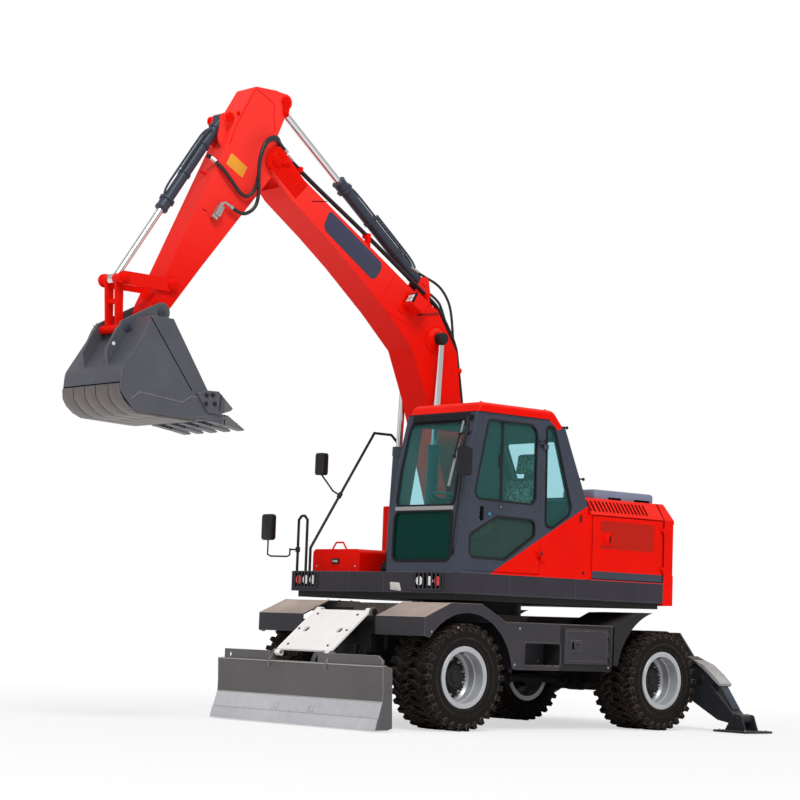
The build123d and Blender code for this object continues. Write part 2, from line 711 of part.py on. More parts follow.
BLADE_CYL_SHORT = turn(BLADE_CYL_EYE, BLADE_LOWER_PIN, BLADE_RAISE)
cylinder("blade_cylinder", BLADE_CYL_BASE, BLADE_CYL_EYE, BLADE_CYL_SHORT, "y", [0.0], BLADE_CYL)

OUT_CYL_SHORT = turn(OUT_CYL_EYE, OUT_PIVOT, OUT_RAISE)
cylinder("outrigger_cylinder_left", OUT_CYL_BASE, OUT_CYL_EYE, OUT_CYL_SHORT, "x", [OUT_CYL_X], OUT_CYL)
for part in ("barrel", "rod"):
    keep(f"outrigger_cylinder_right_{part}", flip(NODES[f"outrigger_cylinder_left_{part}"]))


# ---------------------------------------------------------------- outriggers
def outrigger_frame():
    """Two cross plates behind the chassis, with the leg pivots and the cylinders' base pins."""
    shape = [(-1035, 500), (-600, 1010), (600, 1010), (1035, 500), (1035, 400, 40), (880, 352),
             (-880, 352), (-1035, 400, 40)]
    front = (OUT_FRONT_X - OUT_PLATE_T, OUT_FRONT_X)
    rear = (OUT_REAR_X, OUT_REAR_X + OUT_PLATE_T)
    frame = prism(shape, "x", *front) + prism(shape, "x", *rear)
    frame += block((rear[0], front[1]), (-70, 70), (420, 1000))
    frame += block((rear[0], front[1]), (-360, 360), (985, 1010))
    frame += block((rear[0], front[1]), (-560, 560), (352, 372))
    for s in (1, -1):
        frame += drum(s * OUT_PIVOT[0], OUT_PIVOT[1], "x", rear[0] - 6, front[1] + 1, PIN_R)
        seat = OUT_CYL_X + OUT_CYL["half"] + 2
        frame += drum(s * OUT_CYL_BASE[0], OUT_CYL_BASE[1], "x", rear[0], seat, OUT_CYL["pin_r"])
        frame += drum(s * OUT_CYL_BASE[0], OUT_CYL_BASE[1], "x", seat, front[1], 40)
    return frame


def outrigger_leg():
    """The left leg: a deep arm with its curved guard and the cylinder's boss."""
    lo, hi = min(OUT_LEG_X), max(OUT_LEG_X)
    side = [(905, 395, 40), (985, 350), (1430, 122), (1690, 80, 30), (1748, 170, 40), (1640, 190),
            (1330, 470), (1385, 530), (1205, 664), (1000, 745), (890, 600)]
    leg = prism(side, "x", lo, hi)
    guard = [(982, 742), (1202, 656), (1332, 564), (1448, 466), (1465, 492), (1352, 592), (1220, 684), (990, 768)]
    leg += prism(guard, "x", lo - 8, hi + 8)
    leg += drum(*OUT_FOOT, "x", lo, hi, 52)
    leg += drum(*OUT_CYL_EYE, "x", OUT_CYL_X + OUT_CYL["eye_half"] + GAP * 2, lo, 50)
    leg -= drum(*OUT_PIVOT, "x", lo - 1, hi + 1, PIN_R + FIT)
    leg -= drum(*OUT_FOOT, "x", lo - 1, hi + 1, 24 + FIT)
    return leg


def outrigger_pad():
    """The left foot: a square plate with the clevis and pin that hold the leg."""
    lo, hi = min(OUT_LEG_X), max(OUT_LEG_X)
    mid = (lo + hi) / 2
    y = OUT_FOOT[0]
    pad = block((mid - PAD_HALF, mid + PAD_HALF), (y - PAD_HALF, y + PAD_HALF), (PAD_BOTTOM, PAD_BOTTOM + PAD_T))
    top = PAD_BOTTOM + PAD_T
    cheek = [(y - 150, top), (y + 120, top), (y + 60, OUT_FOOT[1] + 45, 30), (y - 50, OUT_FOOT[1] + 55, 30)]
    for x in ((lo - 19, lo - 1), (hi + 1, hi + 19)):
        pad += prism(cheek, "x", *x)
    return pad + drum(*OUT_FOOT, "x", lo - 24, hi + 24, 24)


keep("outrigger_frame", outrigger_frame())
for side, make in (("left", lambda s: s), ("right", flip)):
    keep(f"outrigger_leg_{side}", make(Compound([outrigger_leg(), outrigger_pad()])))


# ---------------------------------------------------------------- house
DECK_LAMPS = ((655.0, 1075.0), (-1180.0, -800.0))
DECK_LAMP_Z = (1335.0, 1490.0)


def deck():
    """The revolving frame: upper race, plate, skirts and the boom's foot brackets."""
    plan = [(DECK_FRONT_X, -BODY_HALF, 60), (DECK_FRONT_X, BODY_HALF, 60),
            (DECK_REAR_X, BODY_HALF), (DECK_REAR_X, -BODY_HALF)]
    body = prism(plan, "z", DECK_STEP, DECK_TOP)
    inset = 70.0
    lower = [(DECK_FRONT_X - inset, -BODY_HALF + inset), (DECK_FRONT_X - inset, BODY_HALF - inset),
             (DECK_REAR_X, BODY_HALF - inset), (DECK_REAR_X, -BODY_HALF + inset)]
    body += prism(lower, "z", DECK_BOTTOM, DECK_STEP)
    for x in ((DECK_REAR_X + 80, DECK_REAR_X + 840), (720, DECK_FRONT_X - 155)):
        for y in ((120 - BODY_HALF, -420), (420, BODY_HALF - 120)):
            body -= block(x, y, (DECK_BOTTOM - 1, DECK_TOP - 40))
    body += drum(0, 0, "z", RING_TOP + GAP, DECK_BOTTOM, 560)
    for y0, y1 in DECK_LAMPS:
        z0, z1 = DECK_LAMP_Z
        body -= block((DECK_FRONT_X - 40, DECK_FRONT_X + 1), (y0, y1), (z0, z1))
        for y in (y1 - 75, y1 - 185, y0 + 85):
            body += drum(y, (z0 + z1) / 2, "x", DECK_FRONT_X - 41, DECK_FRONT_X - 14, 48)
        for i in range(5):
            z = z0 + 14 + i * (z1 - z0 - 28) / 4
            body += bar((DECK_FRONT_X - 6, y0 - 5, z), (DECK_FRONT_X - 6, y1 + 5, z), 5.5)
    for s in (1, -1):
        inner = BOOM_Y + s * (BOOM_HALF - 12)
        foot = [(BOOM_FOOT[0] - 260, DECK_TOP - 1), (BOOM_FOOT[0] + 420, DECK_TOP - 1),
                (BOOM_FOOT[0] + 110, BOOM_FOOT[1] + 70, 60), (BOOM_FOOT[0] - 110, BOOM_FOOT[1] + 90, 80)]
        body += prism(foot, "y", min(inner, inner + s * 24), max(inner, inner + s * 24))
        y = BOOM_Y + s * BOOM_CYL_Y
        for off in (-1, 1):
            cheek = y + off * (BOOM_CYL["half"] + 2 + BOOM_CHEEK_T / 2)
            pins = [(BOOM_CYL_BASE[0], DECK_TOP - 20), BOOM_CYL_BASE]
            body += lever(pins, [90, 70], "y", cheek - BOOM_CHEEK_T / 2, cheek + BOOM_CHEEK_T / 2)
        reach = BOOM_CYL["half"] + 2 + BOOM_CHEEK_T
        body += drum(*BOOM_CYL_BASE, "y", y - reach, y + reach, BOOM_CYL["pin_r"])
    half = BOOM_HALF + 12
    return body + drum(*BOOM_FOOT, "y", BOOM_Y - half, BOOM_Y + half, 45)


BOOM_CYL_SHORT = turn(BOOM_CYL_EYE, BOOM_FOOT, BOOM_LOWER)
keep("deck", deck())


# ---------------------------------------------------------------- cab
CAB_SIDE = [(1335, DECK_TOP), (1318, 2000), (1245, 2500), (1110, CAB_TOP), (130, CAB_TOP), (10, 2957),
            (-88, 2996), (-446, 2229), (-455, DECK_TOP)]
CAB_ROOM = [(1284, DECK_TOP + 35), (1268, 2000), (1194, 2500), (1070, CAB_TOP - 45), (150, CAB_TOP - 45), (20, 2900),
            (-70, 2900), (-396, 2215), (-405, DECK_TOP + 35)]
DOOR_SIDE = [(228, 1526), (1242, 1526), (1222, 2000), (1152, 2500), (1012, 3030, 50), (228, 3030)]
DOOR_WINDOW = [(290, 2195, 80), (1135, 2208, 80), (965, 2985, 60), (290, 2985, 110)]
DOOR_LIGHT = [(290, 2052, 70), (810, 2062, 60), (1172, 1872, 60), (1172, 1645, 80), (690, 1640, 60), (290, 1888, 60)]
QUARTER_WINDOW = [(165, 2985, 45), (60, 2985, 45), (-205, 2215, 50), (-180, 2130, 40), (60, 1985, 45), (150, 2000, 45)]
FRONT_FRAME_Y = (CAB_RIGHT_Y + 75, BODY_HALF - 95)
FRONT_LOW_Z = (1605.0, 2090.0)
FRONT_HIGH_Z = (2135.0, 2965.0)
PANE_T = 6.0


def grown(points, by):
    """The same outline moved outwards, for polygons listed either way round."""
    flat = [(p[0], p[1]) for p in points]
    n = len(flat)
    area = sum(flat[i][0] * flat[(i + 1) % n][1] - flat[(i + 1) % n][0] * flat[i][1] for i in range(n))
    sign = 1.0 if area > 0 else -1.0
    moved = []
    for i, p in enumerate(points):
        a, b, c = flat[i - 1], flat[i], flat[(i + 1) % n]
        u = ((b[0] - a[0]), (b[1] - a[1]))
        w = ((c[0] - b[0]), (c[1] - b[1]))
        lu, lw = math.hypot(*u), math.hypot(*w)
        nu = (sign * u[1] / lu, -sign * u[0] / lu)
        nw = (sign * w[1] / lw, -sign * w[0] / lw)
        scale = by / (1 + nu[0] * nw[0] + nu[1] * nw[1])
        q = (b[0] + (nu[0] + nw[0]) * scale, b[1] + (nu[1] + nw[1]) * scale)
        moved.append(q + ((p[2] + by,) if len(p) == 3 else ()))
    return moved


def front_opening(z, by):
    """A windscreen opening through the cab's front, for a range of z."""
    lo, hi = FRONT_FRAME_Y
    corners = [(lo, z[0], 70), (hi, z[0], 70), (hi, z[1], 70), (lo, z[1], 70)]
    return prism(grown(corners, by), "x", DECK_FRONT_X - 385, DECK_FRONT_X + 65)


def strip(points, near, far):
    """A thin section that follows the cab's front or rear edge, from near to far inside it."""
    return [(x - near, z) for x, z in points] + [(x - far, z) for x, z in reversed(points)]


FRONT_EDGE = [(1338, 1400), (1318, 2000), (1245, 2500), (1100, 3090)]
REAR_EDGE = [(-446, 2229), (-88, 2996)]
RIGHT_WINDOW = [(250, 2050, 80), (1120, 2050, 80), (960, 2960, 80), (250, 2960, 80)]


def rear_opening(by):
    """The rear window's opening, square to the sloping back."""
    dx, dz = REAR_EDGE[1][0] - REAR_EDGE[0][0], REAR_EDGE[1][1] - REAR_EDGE[0][1]
    length = math.hypot(dx, dz)
    lo, hi = CAB_RIGHT_Y + 110, BODY_HALF - 110
    plane = Plane(origin=(REAR_EDGE[0][0], 0, REAR_EDGE[0][1]), x_dir=(0, -1, 0), z_dir=(-dz, 0, dx))
    s0, s1 = 90 - by, length - 130 + by
    corner = [plane.from_local_coords(Vector(-a, b, 0)) for a, b in
              ((lo - by, s0), (hi + by, s0), (hi + by, s1), (lo - by, s1))]
    face = Face(Wire.make_polygon(corner, close=True))
    face = face.fillet_2d(60 + by, face.vertices())
    out = plane.z_dir * 200
    return Solid.extrude(face.moved(Location(out * -0.5)), out)


def cab_frame():
    """The cab's welded shell with its floor, posts and window openings."""
    shell = prism(CAB_SIDE, "y", CAB_RIGHT_Y, BODY_HALF)
    shell = fillet(shell.edges().filter_by(lambda e: abs(e.center().Y - BODY_HALF) < 1
                                           and e.center().X > 1100 and e.center().Z < CAB_TOP - 1
                                           and e.center().Z > DECK_TOP + 1), 40)
    shell -= prism(CAB_ROOM, "y", CAB_RIGHT_Y + CAB_WALL, BODY_HALF - CAB_WALL)
    shell -= prism(grown(DOOR_SIDE, MOVE), "y", BODY_HALF - CAB_WALL - 1, BODY_HALF + 1)
    shell -= prism(QUARTER_WINDOW, "y", BODY_HALF - CAB_WALL - 1, BODY_HALF + 1)
    shell -= prism(RIGHT_WINDOW, "y", CAB_RIGHT_Y - 1, CAB_RIGHT_Y + CAB_WALL + 1)
    for z in (FRONT_LOW_Z, FRONT_HIGH_Z):
        shell -= front_opening(z, 0)
    shell -= rear_opening(0)
    for z in (1700, 2800):
        pin = (DOOR_HINGE[0], DOOR_HINGE[1])
        shell += drum(*pin, "z", z - 45, z, 11)
        shell += block((pin[0] - 60, pin[0] - 6), (BODY_HALF - 2, pin[1]), (z - 45, z))
    return shell


def cab_glass():
    """The cab's fixed panes: windscreen halves, quarter, right and rear windows."""
    mid = BODY_HALF - CAB_WALL / 2
    front = prism(strip(FRONT_EDGE, 14, 14 + PANE_T), "y", CAB_RIGHT_Y + 20, BODY_HALF - 20)
    panes = [front & front_opening(z, -GAP) for z in (FRONT_LOW_Z, FRONT_HIGH_Z)]
    panes.append(prism(grown(QUARTER_WINDOW, -GAP), "y", mid, mid + PANE_T))
    right = CAB_RIGHT_Y + 14
    panes.append(prism(grown(RIGHT_WINDOW, -GAP), "y", right, right + PANE_T))
    back = prism(strip(REAR_EDGE, -20 - PANE_T, -20), "y", CAB_RIGHT_Y + 60, BODY_HALF - 60)
    panes.append(back & rear_opening(-GAP))
    return Compound([s for p in panes for s in p.solids()])


def cab_door():
    """The door: a thick frame with two windows, on an axis just outside the cab."""
    door = prism(DOOR_SIDE, "y", BODY_HALF - DOOR_T, BODY_HALF)
    for window in (DOOR_WINDOW, DOOR_LIGHT):
        door -= prism(window, "y", BODY_HALF - DOOR_T - 1, BODY_HALF + 1)
    for z in (1700, 2800):
        door += drum(*DOOR_HINGE, "z", z + GAP, z + 45, 11)
        leaf = (BODY_HALF + 1, DOOR_HINGE[1] + 4)
        door += block((DOOR_HINGE[0], DOOR_HINGE[0] + 60), leaf, (z + GAP, z + 45))
        door += block((DOOR_HINGE[0] + 20, DOOR_HINGE[0] + 60), (BODY_HALF - 2, leaf[1]), (z + GAP, z + 45))
    return door


def roof():
    """The roof cap that bends down over the cab's back edge."""
    side = [(1110, CAB_TOP), (1062, ROOF_TOP, 70), (60, ROOF_TOP, 110), (-88, 2996), (10, 2957), (130, CAB_TOP)]
    cap = prism(side, "y", CAB_RIGHT_Y, BODY_HALF)
    edges = cap.edges().filter_by(GeomType.LINE).filter_by(Axis.X).filter_by(lambda e: e.center().Z > ROOF_TOP - 1)
    return fillet(edges, 55)


keep("cab_frame", cab_frame())
keep("cab_glass", cab_glass())
keep("cab_roof", roof())
keep("cab_door", cab_door())
pane_y = BODY_HALF - DOOR_T / 2
keep("cab_door_glass", Compound([prism(grown(w, -GAP), "y", pane_y, pane_y + PANE_T)
                                 for w in (DOOR_WINDOW, DOOR_LIGHT)]))

SEAT_X = 330.0
SEAT_Y = (CAB_RIGHT_Y + BODY_HALF) / 2
SEAT_Z = DECK_TOP + 35 + 330


SEAT_BACK = ((-315.0, 20.0), (-100.0, 620.0))  # a point on the back pad's rear face, and its run


def behind_seat(z, off):
    """A point of the seat's rear line at a height over the cushion's base, moved back by off."""
    (x0, z0), (run, rise) = SEAT_BACK
    return (SEAT_X + x0 + run * (z - z0) / rise - off, SEAT_Z + z)


def seat():
    """The seat's three pads: cushion, back and head rest."""
    cushion = block((SEAT_X - 190, SEAT_X + 300), (SEAT_Y - 240, SEAT_Y + 240), (SEAT_Z, SEAT_Z + 130))
    back = prism([behind_seat(20, -120), behind_seat(20, 0), behind_seat(640, 0), behind_seat(650, -110)],
                 "y", SEAT_Y - 235, SEAT_Y + 235)
    head = prism([behind_seat(665, -100), behind_seat(665, 0), behind_seat(890, 0), behind_seat(900, -90)],
                 "y", SEAT_Y - 130, SEAT_Y + 130)
    return Compound([cushion, back, head])


def cab_inside():
    """The seat's base and consoles, the back pan, and the steering column with its wheel."""
    floor = DECK_TOP + 35
    base = block((SEAT_X - 150, SEAT_X + 200), (SEAT_Y - 200, SEAT_Y + 200), (floor, SEAT_Z - GAP))
    base += block((SEAT_X - 330, SEAT_X + 180), (SEAT_Y - 200, SEAT_Y + 200), (SEAT_Z - 40, SEAT_Z - GAP))
    for top, half in ((640, 200), (860, 60)):
        shell = [behind_seat(-41, 25), behind_seat(-41, GAP), behind_seat(top, GAP), behind_seat(top, 25)]
        base += prism(shell, "y", SEAT_Y - half, SEAT_Y + half)
    for s in (1, -1):
        y = SEAT_Y + s * 320
        base += block((SEAT_X - 150, SEAT_X + 330), (y - 60, y + 60), (floor, SEAT_Z + 210))
        base += drum(SEAT_X + 260, y, "z", SEAT_Z + 200, SEAT_Z + 360, 22)
        base += block((SEAT_X - 100, SEAT_X), (min(y, SEAT_Y), max(y, SEAT_Y)), (SEAT_Z - 150, SEAT_Z - 60))
    post = bar((1126, SEAT_Y, floor + 20), (960, SEAT_Y, 2230), 45)
    hub = Vector(960, SEAT_Y, 2230)
    tilt = Plane(origin=hub, x_dir=(0, 1, 0), z_dir=(-170, 0, 695))
    ring = tilt * Torus(185, 16)
    post += ring
    post += tilt * Box(360, 40, 16)
    post += tilt * Cylinder(50, 40)
    post += block((1110, 1210), (SEAT_Y - 220, SEAT_Y + 220), (floor, floor + 60))
    return Compound([base, post])


keep("seat_pads", seat())
keep("cab_inside", cab_inside())


# ---------------------------------------------------------------- hood, tanks and counterweight
def hood_section(by):
    """The hood's section across the machine, moved inwards."""
    side, top = BODY_HALF - by, HOOD_TOP - by
    return [(-side, DECK_TOP), (-side, HOOD_EDGE_Z - by * 0.4), (-side + 120, top), (side - 120, top),
            (side, HOOD_EDGE_Z - by * 0.4), (side, DECK_TOP)]


HOOD_DOOR = [(HOOD_DOOR_HINGE_X, DECK_TOP + 14), (HOOD_FRONT_X - 20, DECK_TOP + 14),
             (HOOD_FRONT_X - 20, HOOD_EDGE_Z - 12), (HOOD_DOOR_HINGE_X, HOOD_EDGE_Z - 12)]


SLOT_W = 22.0
SLOT_HALF = 68.0
HOOD_SLOTS = [(32.0, 60.0, 2, 8.0), (146.0, 54.8, 14, 45.0)]
GRILLE = [(-945, 1820), (-140, 1820), (-140, 1850), (-315, 1850), (-315, 1985), (-140, 1985), (-140, 2100), (-945, 2100)]
GRILLE_DEEP = 10.0


def shoulder_slot(s, deep):
    """The section across the machine of a slot in the hood's slanted shoulder."""
    low, high = (BODY_HALF, HOOD_EDGE_Z), (BODY_HALF - 120, HOOD_TOP)
    long = math.hypot(high[0] - low[0], high[1] - low[1])
    d = ((high[0] - low[0]) / long, (high[1] - low[1]) / long)
    middle = ((low[0] + high[0]) / 2, (low[1] + high[1]) / 2)
    return [(s * (middle[0] + a * d[0] + b * d[1]), middle[1] + a * d[1] - b * d[0])
            for a, b in ((-SLOT_HALF, -deep), (SLOT_HALF, -deep), (SLOT_HALF, 20), (-SLOT_HALF, 20))]


def hood():
    """The engine cover's fixed shell, open at both sides for its doors."""
    body = prism(hood_section(0), "x", DECK_REAR_X, HOOD_FRONT_X)
    body -= prism(hood_section(HOOD_WALL), "x", DECK_REAR_X + HOOD_WALL, HOOD_FRONT_X - HOOD_WALL)
    body -= block((DECK_REAR_X + HOOD_WALL, HOOD_FRONT_X - HOOD_WALL), (50 - BODY_HALF, BODY_HALF - 50),
                  (DECK_TOP - 1, DECK_TOP + 30))
    body -= prism(grown(HOOD_DOOR, MOVE), "y", -BODY_HALF - 1, BODY_HALF + 1)
    cuts = [prism(shoulder_slot(s, deep), "x", x - SLOT_W / 2, x + SLOT_W / 2)
            for s in (1, -1) for first, pitch, count, deep in HOOD_SLOTS
            for x in (HOOD_FRONT_X - first - i * pitch for i in range(count))]
    body = body.cut(*cuts)
    for s in (1, -1):
        for z in (1640, 2040):
            body += drum(HOOD_DOOR_HINGE_X, s * (BODY_HALF + 14), "z", z - 30, z, 9)
            x = (HOOD_DOOR_HINGE_X - 17, HOOD_DOOR_HINGE_X - 8)
            body += block(x, (s * (BODY_HALF - 5), s * (BODY_HALF + 14)), (z - 30, z))
    return body


def hood_door():
    """The left engine door on its rear hinges."""
    door = prism(HOOD_DOOR, "y", BODY_HALF - HOOD_WALL, BODY_HALF)
    floor = BODY_HALF - GRILLE_DEEP
    grille = [(HOOD_FRONT_X + x, z) for x, z in GRILLE]
    door -= prism(grille, "y", floor, BODY_HALF + 1)
    bars = [block((grille[0][0] - 1, grille[1][0] + 1), (floor - 1, BODY_HALF - 2), (z - 4, z + 4))
            for z in (1835, 2000, 2025, 2050, 2075)]
    bars += [block((grille[0][0] - 1, grille[3][0] + 1), (floor - 1, BODY_HALF - 2), (z - 4, z + 4))
             for z in range(1862, 1980, 27)]
    door = door.fuse(*bars)
    for z in (1640, 2040):
        door += drum(HOOD_DOOR_HINGE_X, BODY_HALF + 14, "z", z + GAP, z + 30, 9)
        x = (HOOD_DOOR_HINGE_X, HOOD_DOOR_HINGE_X + 40)
        door += block(x, (BODY_HALF - 5, BODY_HALF + 18), (z + GAP, z + 30))
    return door


def counterweight():
    """The cast counterweight with its round tail and stepped lower lip."""
    def tail(r, inset, lo, hi):
        wide = block((-TAIL_R - 10, DECK_REAR_X), (-BODY_HALF + inset, BODY_HALF - inset), (lo, hi))
        return wide & drum(0, 0, "z", lo, hi, r)
    body = tail(TAIL_R - 8, 0, DECK_TOP, HOOD_EDGE_Z - 20)
    body += tail(TAIL_R, 0, DECK_STEP - 20, DECK_TOP + 90)
    body += tail(TAIL_R, 0, HOOD_EDGE_Z - 40, HOOD_EDGE_Z)
    body += tail(TAIL_R - 60, 50, HOOD_EDGE_Z, HOOD_EDGE_Z + 80)
    body += tail(TAIL_R - 140, 110, HOOD_EDGE_Z + 80, HOOD_TOP - 30)
    return body


keep("hood", hood())
keep("hood_door_left", hood_door())
keep("hood_door_right", flip(hood_door()))
keep("counterweight", counterweight())
keep("engine", block((DECK_REAR_X + 150, DECK_REAR_X + 900), (-350, 350), (DECK_TOP, DECK_TOP + 620)))

TANK_X = (-496.0, 118.0)
TANK_Y = (-BODY_HALF, -330.0)
TANK_TOP = 2240.0
CHEST_X = (620.0, 1100.0)
CHEST_Y = (-1165.0, -425.0)
CHEST_SEAM_Z = 1655.0
CHEST_TOP = 1735.0
CHEST_WALL = 12.0
CHEST_HINGE = (CHEST_X[0] - 14.0, CHEST_SEAM_Z)

tank = block(TANK_X, TANK_Y, (DECK_TOP, TANK_TOP))
tank = fillet(tank.edges().filter_by(Axis.Z).filter_by(lambda e: e.center().X > 0), 60)
keep("side_tank", tank)


def chest():
    """The tool chest on the right platform, open at the top."""
    box = block(CHEST_X, CHEST_Y, (DECK_TOP, CHEST_SEAM_Z))
    room = [(CHEST_X[0] + CHEST_WALL, CHEST_X[1] - CHEST_WALL), (CHEST_Y[0] + CHEST_WALL, CHEST_Y[1] - CHEST_WALL)]
    box -= block(*room, (DECK_TOP + CHEST_WALL, CHEST_SEAM_Z + 1))
    for y in (CHEST_Y[0] + 120, CHEST_Y[1] - 160):
        box += drum(*CHEST_HINGE, "y", y, y + 40, 8)
        box += block((CHEST_HINGE[0], CHEST_X[0]), (y, y + 40), (CHEST_SEAM_Z - 30, CHEST_SEAM_Z))
    return box


def chest_lid():
    """The chest's rounded lid with its handle."""
    shape = [(CHEST_Y[0], CHEST_SEAM_Z + GAP), (CHEST_Y[1], CHEST_SEAM_Z + GAP), (CHEST_Y[1], CHEST_TOP, 55),
             (CHEST_Y[0], CHEST_TOP, 55)]
    lid = prism(shape, "x", *CHEST_X)
    inner = [(CHEST_Y[0] + CHEST_WALL, CHEST_SEAM_Z - 1), (CHEST_Y[1] - CHEST_WALL, CHEST_SEAM_Z - 1),
             (CHEST_Y[1] - CHEST_WALL, CHEST_TOP - CHEST_WALL, 43), (CHEST_Y[0] + CHEST_WALL, CHEST_TOP - CHEST_WALL, 43)]
    lid -= prism(inner, "x", CHEST_X[0] + CHEST_WALL, CHEST_X[1] - CHEST_WALL)
    for y in (CHEST_Y[0] + 120, CHEST_Y[1] - 160):
        lid += drum(*CHEST_HINGE, "y", y + 40 + GAP, y + 75, 8)
        lid += block((CHEST_HINGE[0], CHEST_X[0] + 1), (y + 40 + GAP, y + 75), (CHEST_SEAM_Z + GAP, CHEST_SEAM_Z + 20))
    grip = [(CHEST_X[1] - 60, -930, CHEST_TOP - 5), (CHEST_X[1] - 60, -870, CHEST_TOP + 70),
            (CHEST_X[1] - 60, -760, CHEST_TOP + 70), (CHEST_X[1] - 60, -700, CHEST_TOP - 5)]
    for a, b in zip(grip, grip[1:]):
        lid += bar(a, b, 9)
        lid += Pos(*b) * Sphere(9) if b != grip[-1] else bar(a, b, 9)
    return lid


keep("tool_chest", chest())
keep("tool_chest_lid", chest_lid())
air = block((DECK_REAR_X + 270, HOOD_FRONT_X - 200), (BODY_HALF - 610, BODY_HALF - 160), (HOOD_TOP, HOOD_TOP + 95))
air = fillet(air.edges().filter_by(lambda e: e.center().Z > HOOD_TOP + 1), 35)
vent_pitch = (HOOD_FRONT_X - DECK_REAR_X - 590) / 13
vents = [block((x - 6, x + 6), (BODY_HALF - 175, BODY_HALF - 159), (HOOD_TOP + 18, HOOD_TOP + 56))
         for x in (DECK_REAR_X + 330 + i * vent_pitch for i in range(14))]
keep("air_box", air.cut(*vents))


# ---------------------------------------------------------------- rails and mirrors
RAIL_R = 14.0
GUARD_R = 11.0
MIRROR_ARM_R = 9.0
SIDE_RAIL = [(1250, -1235, DECK_TOP), (1250, -1235, 2030), (1250, -1190, 2070), (1250, -1140, 2070),
             (1250, -1095, 2030), (1250, -1095, DECK_TOP)]
LONG_RAIL = [(1250, -1030, DECK_TOP), (1250, -1030, 1740), (440, -1030, 2990), (200, -1030, 2990),
             (95, -1030, 2900), (95, -1030, TANK_TOP)]
FOOT_T = 12.0
FOOT_Y = 1185.0


def cab_front(z):
    """The x of the cab's front face at a height."""
    face = [(x, h) for x, h in CAB_SIDE[:4]]
    for (x0, z0), (x1, z1) in zip(face, face[1:]):
        if z0 <= z <= z1:
            return x0 + (x1 - x0) * (z - z0) / (z1 - z0)
    return face[-1][0]


GUARD_RAIL = [(cab_front(1690) + FOOT_T - 2, FOOT_Y, 1690), (1375, 1240, 1800), (1330, 1266, 2300),
              (1274, 1262, 2792), (1215, 1225, 2990), (cab_front(2990) + FOOT_T - 2, FOOT_Y, 2990)]


def tube(points, r):
    """A bent tube through points, with a ball at each bend."""
    body = bar(points[0], points[1], r)
    for p, q in zip(points[1:], points[2:]):
        body = body + Pos(*p) * Sphere(r)
        body = body + bar(p, q, r)
    return body


def rail_foot(z):
    """A foot flat on the cab's front face."""
    lo, hi = z - 28, z + 28
    pad = [(cab_front(lo), lo), (cab_front(hi), hi), (cab_front(hi) + FOOT_T, hi), (cab_front(lo) + FOOT_T, lo)]
    return prism(pad, "y", FOOT_Y - 22, FOOT_Y + 22)


def mirror(rail, r, bend, at, x, y, z, tall, wide):
    """A mirror's housing, its arm and the clamp round its rail, after a bend of that rail."""
    p, q = Vector(*rail[bend]), Vector(*rail[bend + 1])
    way = (q - p).normalized()
    seat = p + (q - p) * at
    head = block((x - 30, x + 30), (y - wide / 2, y + wide / 2), (z - tall / 2, z + tall / 2))
    head = fillet(head.edges().filter_by(Axis.X), 30)
    out = (Vector(x, y, z) - seat)
    out = (out - way * out.dot(way)).normalized()
    start = seat + out * (r + 6)
    arm = tube([tuple(start), tuple(seat + out * 90), (x, y, z - tall / 2 + 10)], MIRROR_ARM_R)
    grip = bar(tuple(seat - way * 26), tuple(seat + way * 26), r + 10)
    return head + arm + grip - bar(tuple(seat - way * 60), tuple(seat + way * 60), r + GAP)


guard = tube(GUARD_RAIL, GUARD_R) + rail_foot(1690) + rail_foot(2990)
keep("hand_rails", Compound([tube(SIDE_RAIL, RAIL_R), tube(LONG_RAIL, RAIL_R), guard]))
keep("mirrors", Compound([
    mirror(SIDE_RAIL, RAIL_R, 0, 0.42, 1400, -1545, 1950, 270, 175),
    mirror(LONG_RAIL, RAIL_R, 1, 0.45, 1045, -1150, 2620, 230, 140),
    mirror(GUARD_RAIL, GUARD_R, 2, 0.4, 1380, 1370, 2545, 270, 150),
]))


# ---------------------------------------------------------------- boom
# rows: the pin that the corner moves with, and its place ahead of and above that pin
BOOM_SIDE = [
    (BOOM_TIP, 4, 74), (BOOM_TIP, -389, -170), (BOOM_CYL_EYE, 323, 456), (BOOM_CYL_EYE, -12, 297),
    (BOOM_CYL_EYE, -294, -104), (BOOM_CYL_EYE, -369, -586), (BOOM_FOOT, -110, 75), (BOOM_FOOT, 0, -100),
    (BOOM_FOOT, 115, -40), (BOOM_CYL_EYE, 101, -618), (BOOM_CYL_EYE, 315, -128),
    (BOOM_CYL_EYE, 688, 211), (BOOM_TIP, -952, -885), (BOOM_TIP, -598, -629), (BOOM_TIP, -162, -337),
    (BOOM_TIP, 64, -111),
]
ARM_SIDE = [
    (BOOM_TIP, -111, 444), (BOOM_TIP, -20, 224), (BOOM_TIP, -108, 44), (BOOM_TIP, -86, -86),
    (BOOM_TIP, 24, -161), (BUCKET_PIN, -472, 494), (BUCKET_PIN, -95, 4), (BUCKET_PIN, 0, -84),
    (BUCKET_PIN, 87, 0), (BUCKET_PIN, 67, 86), (BUCKET_PIN, -51, 331), (BOOM_TIP, 558, 104),
    (BOOM_TIP, 514, 264), (BOOM_TIP, 269, 677, 40), (BOOM_TIP, -16, 684, 60),
]
TIP_SLOT_R = 262.0


def work_lamp():
    """The work lamp in its bracket on the boom's left side."""
    lamp = block((-90, 85), (-3, 150), (-64, -52))
    lamp += block((-100, -88), (-3, 150), (-64, 100))
    lamp += block((-100, 60), (142, 150), (-64, 75))
    lamp += block((-55, 46), (22, 130), (-53, 62))
    lamp += block((-90, -54), (60, 92), (-15, 15))
    return Pos(LAMP_AT[0], BOOM_Y + BOOM_HALF, LAMP_AT[1]) * Rot(0, -30, 0) * lamp


LAMP_AT = (1010.0, 4200.0)


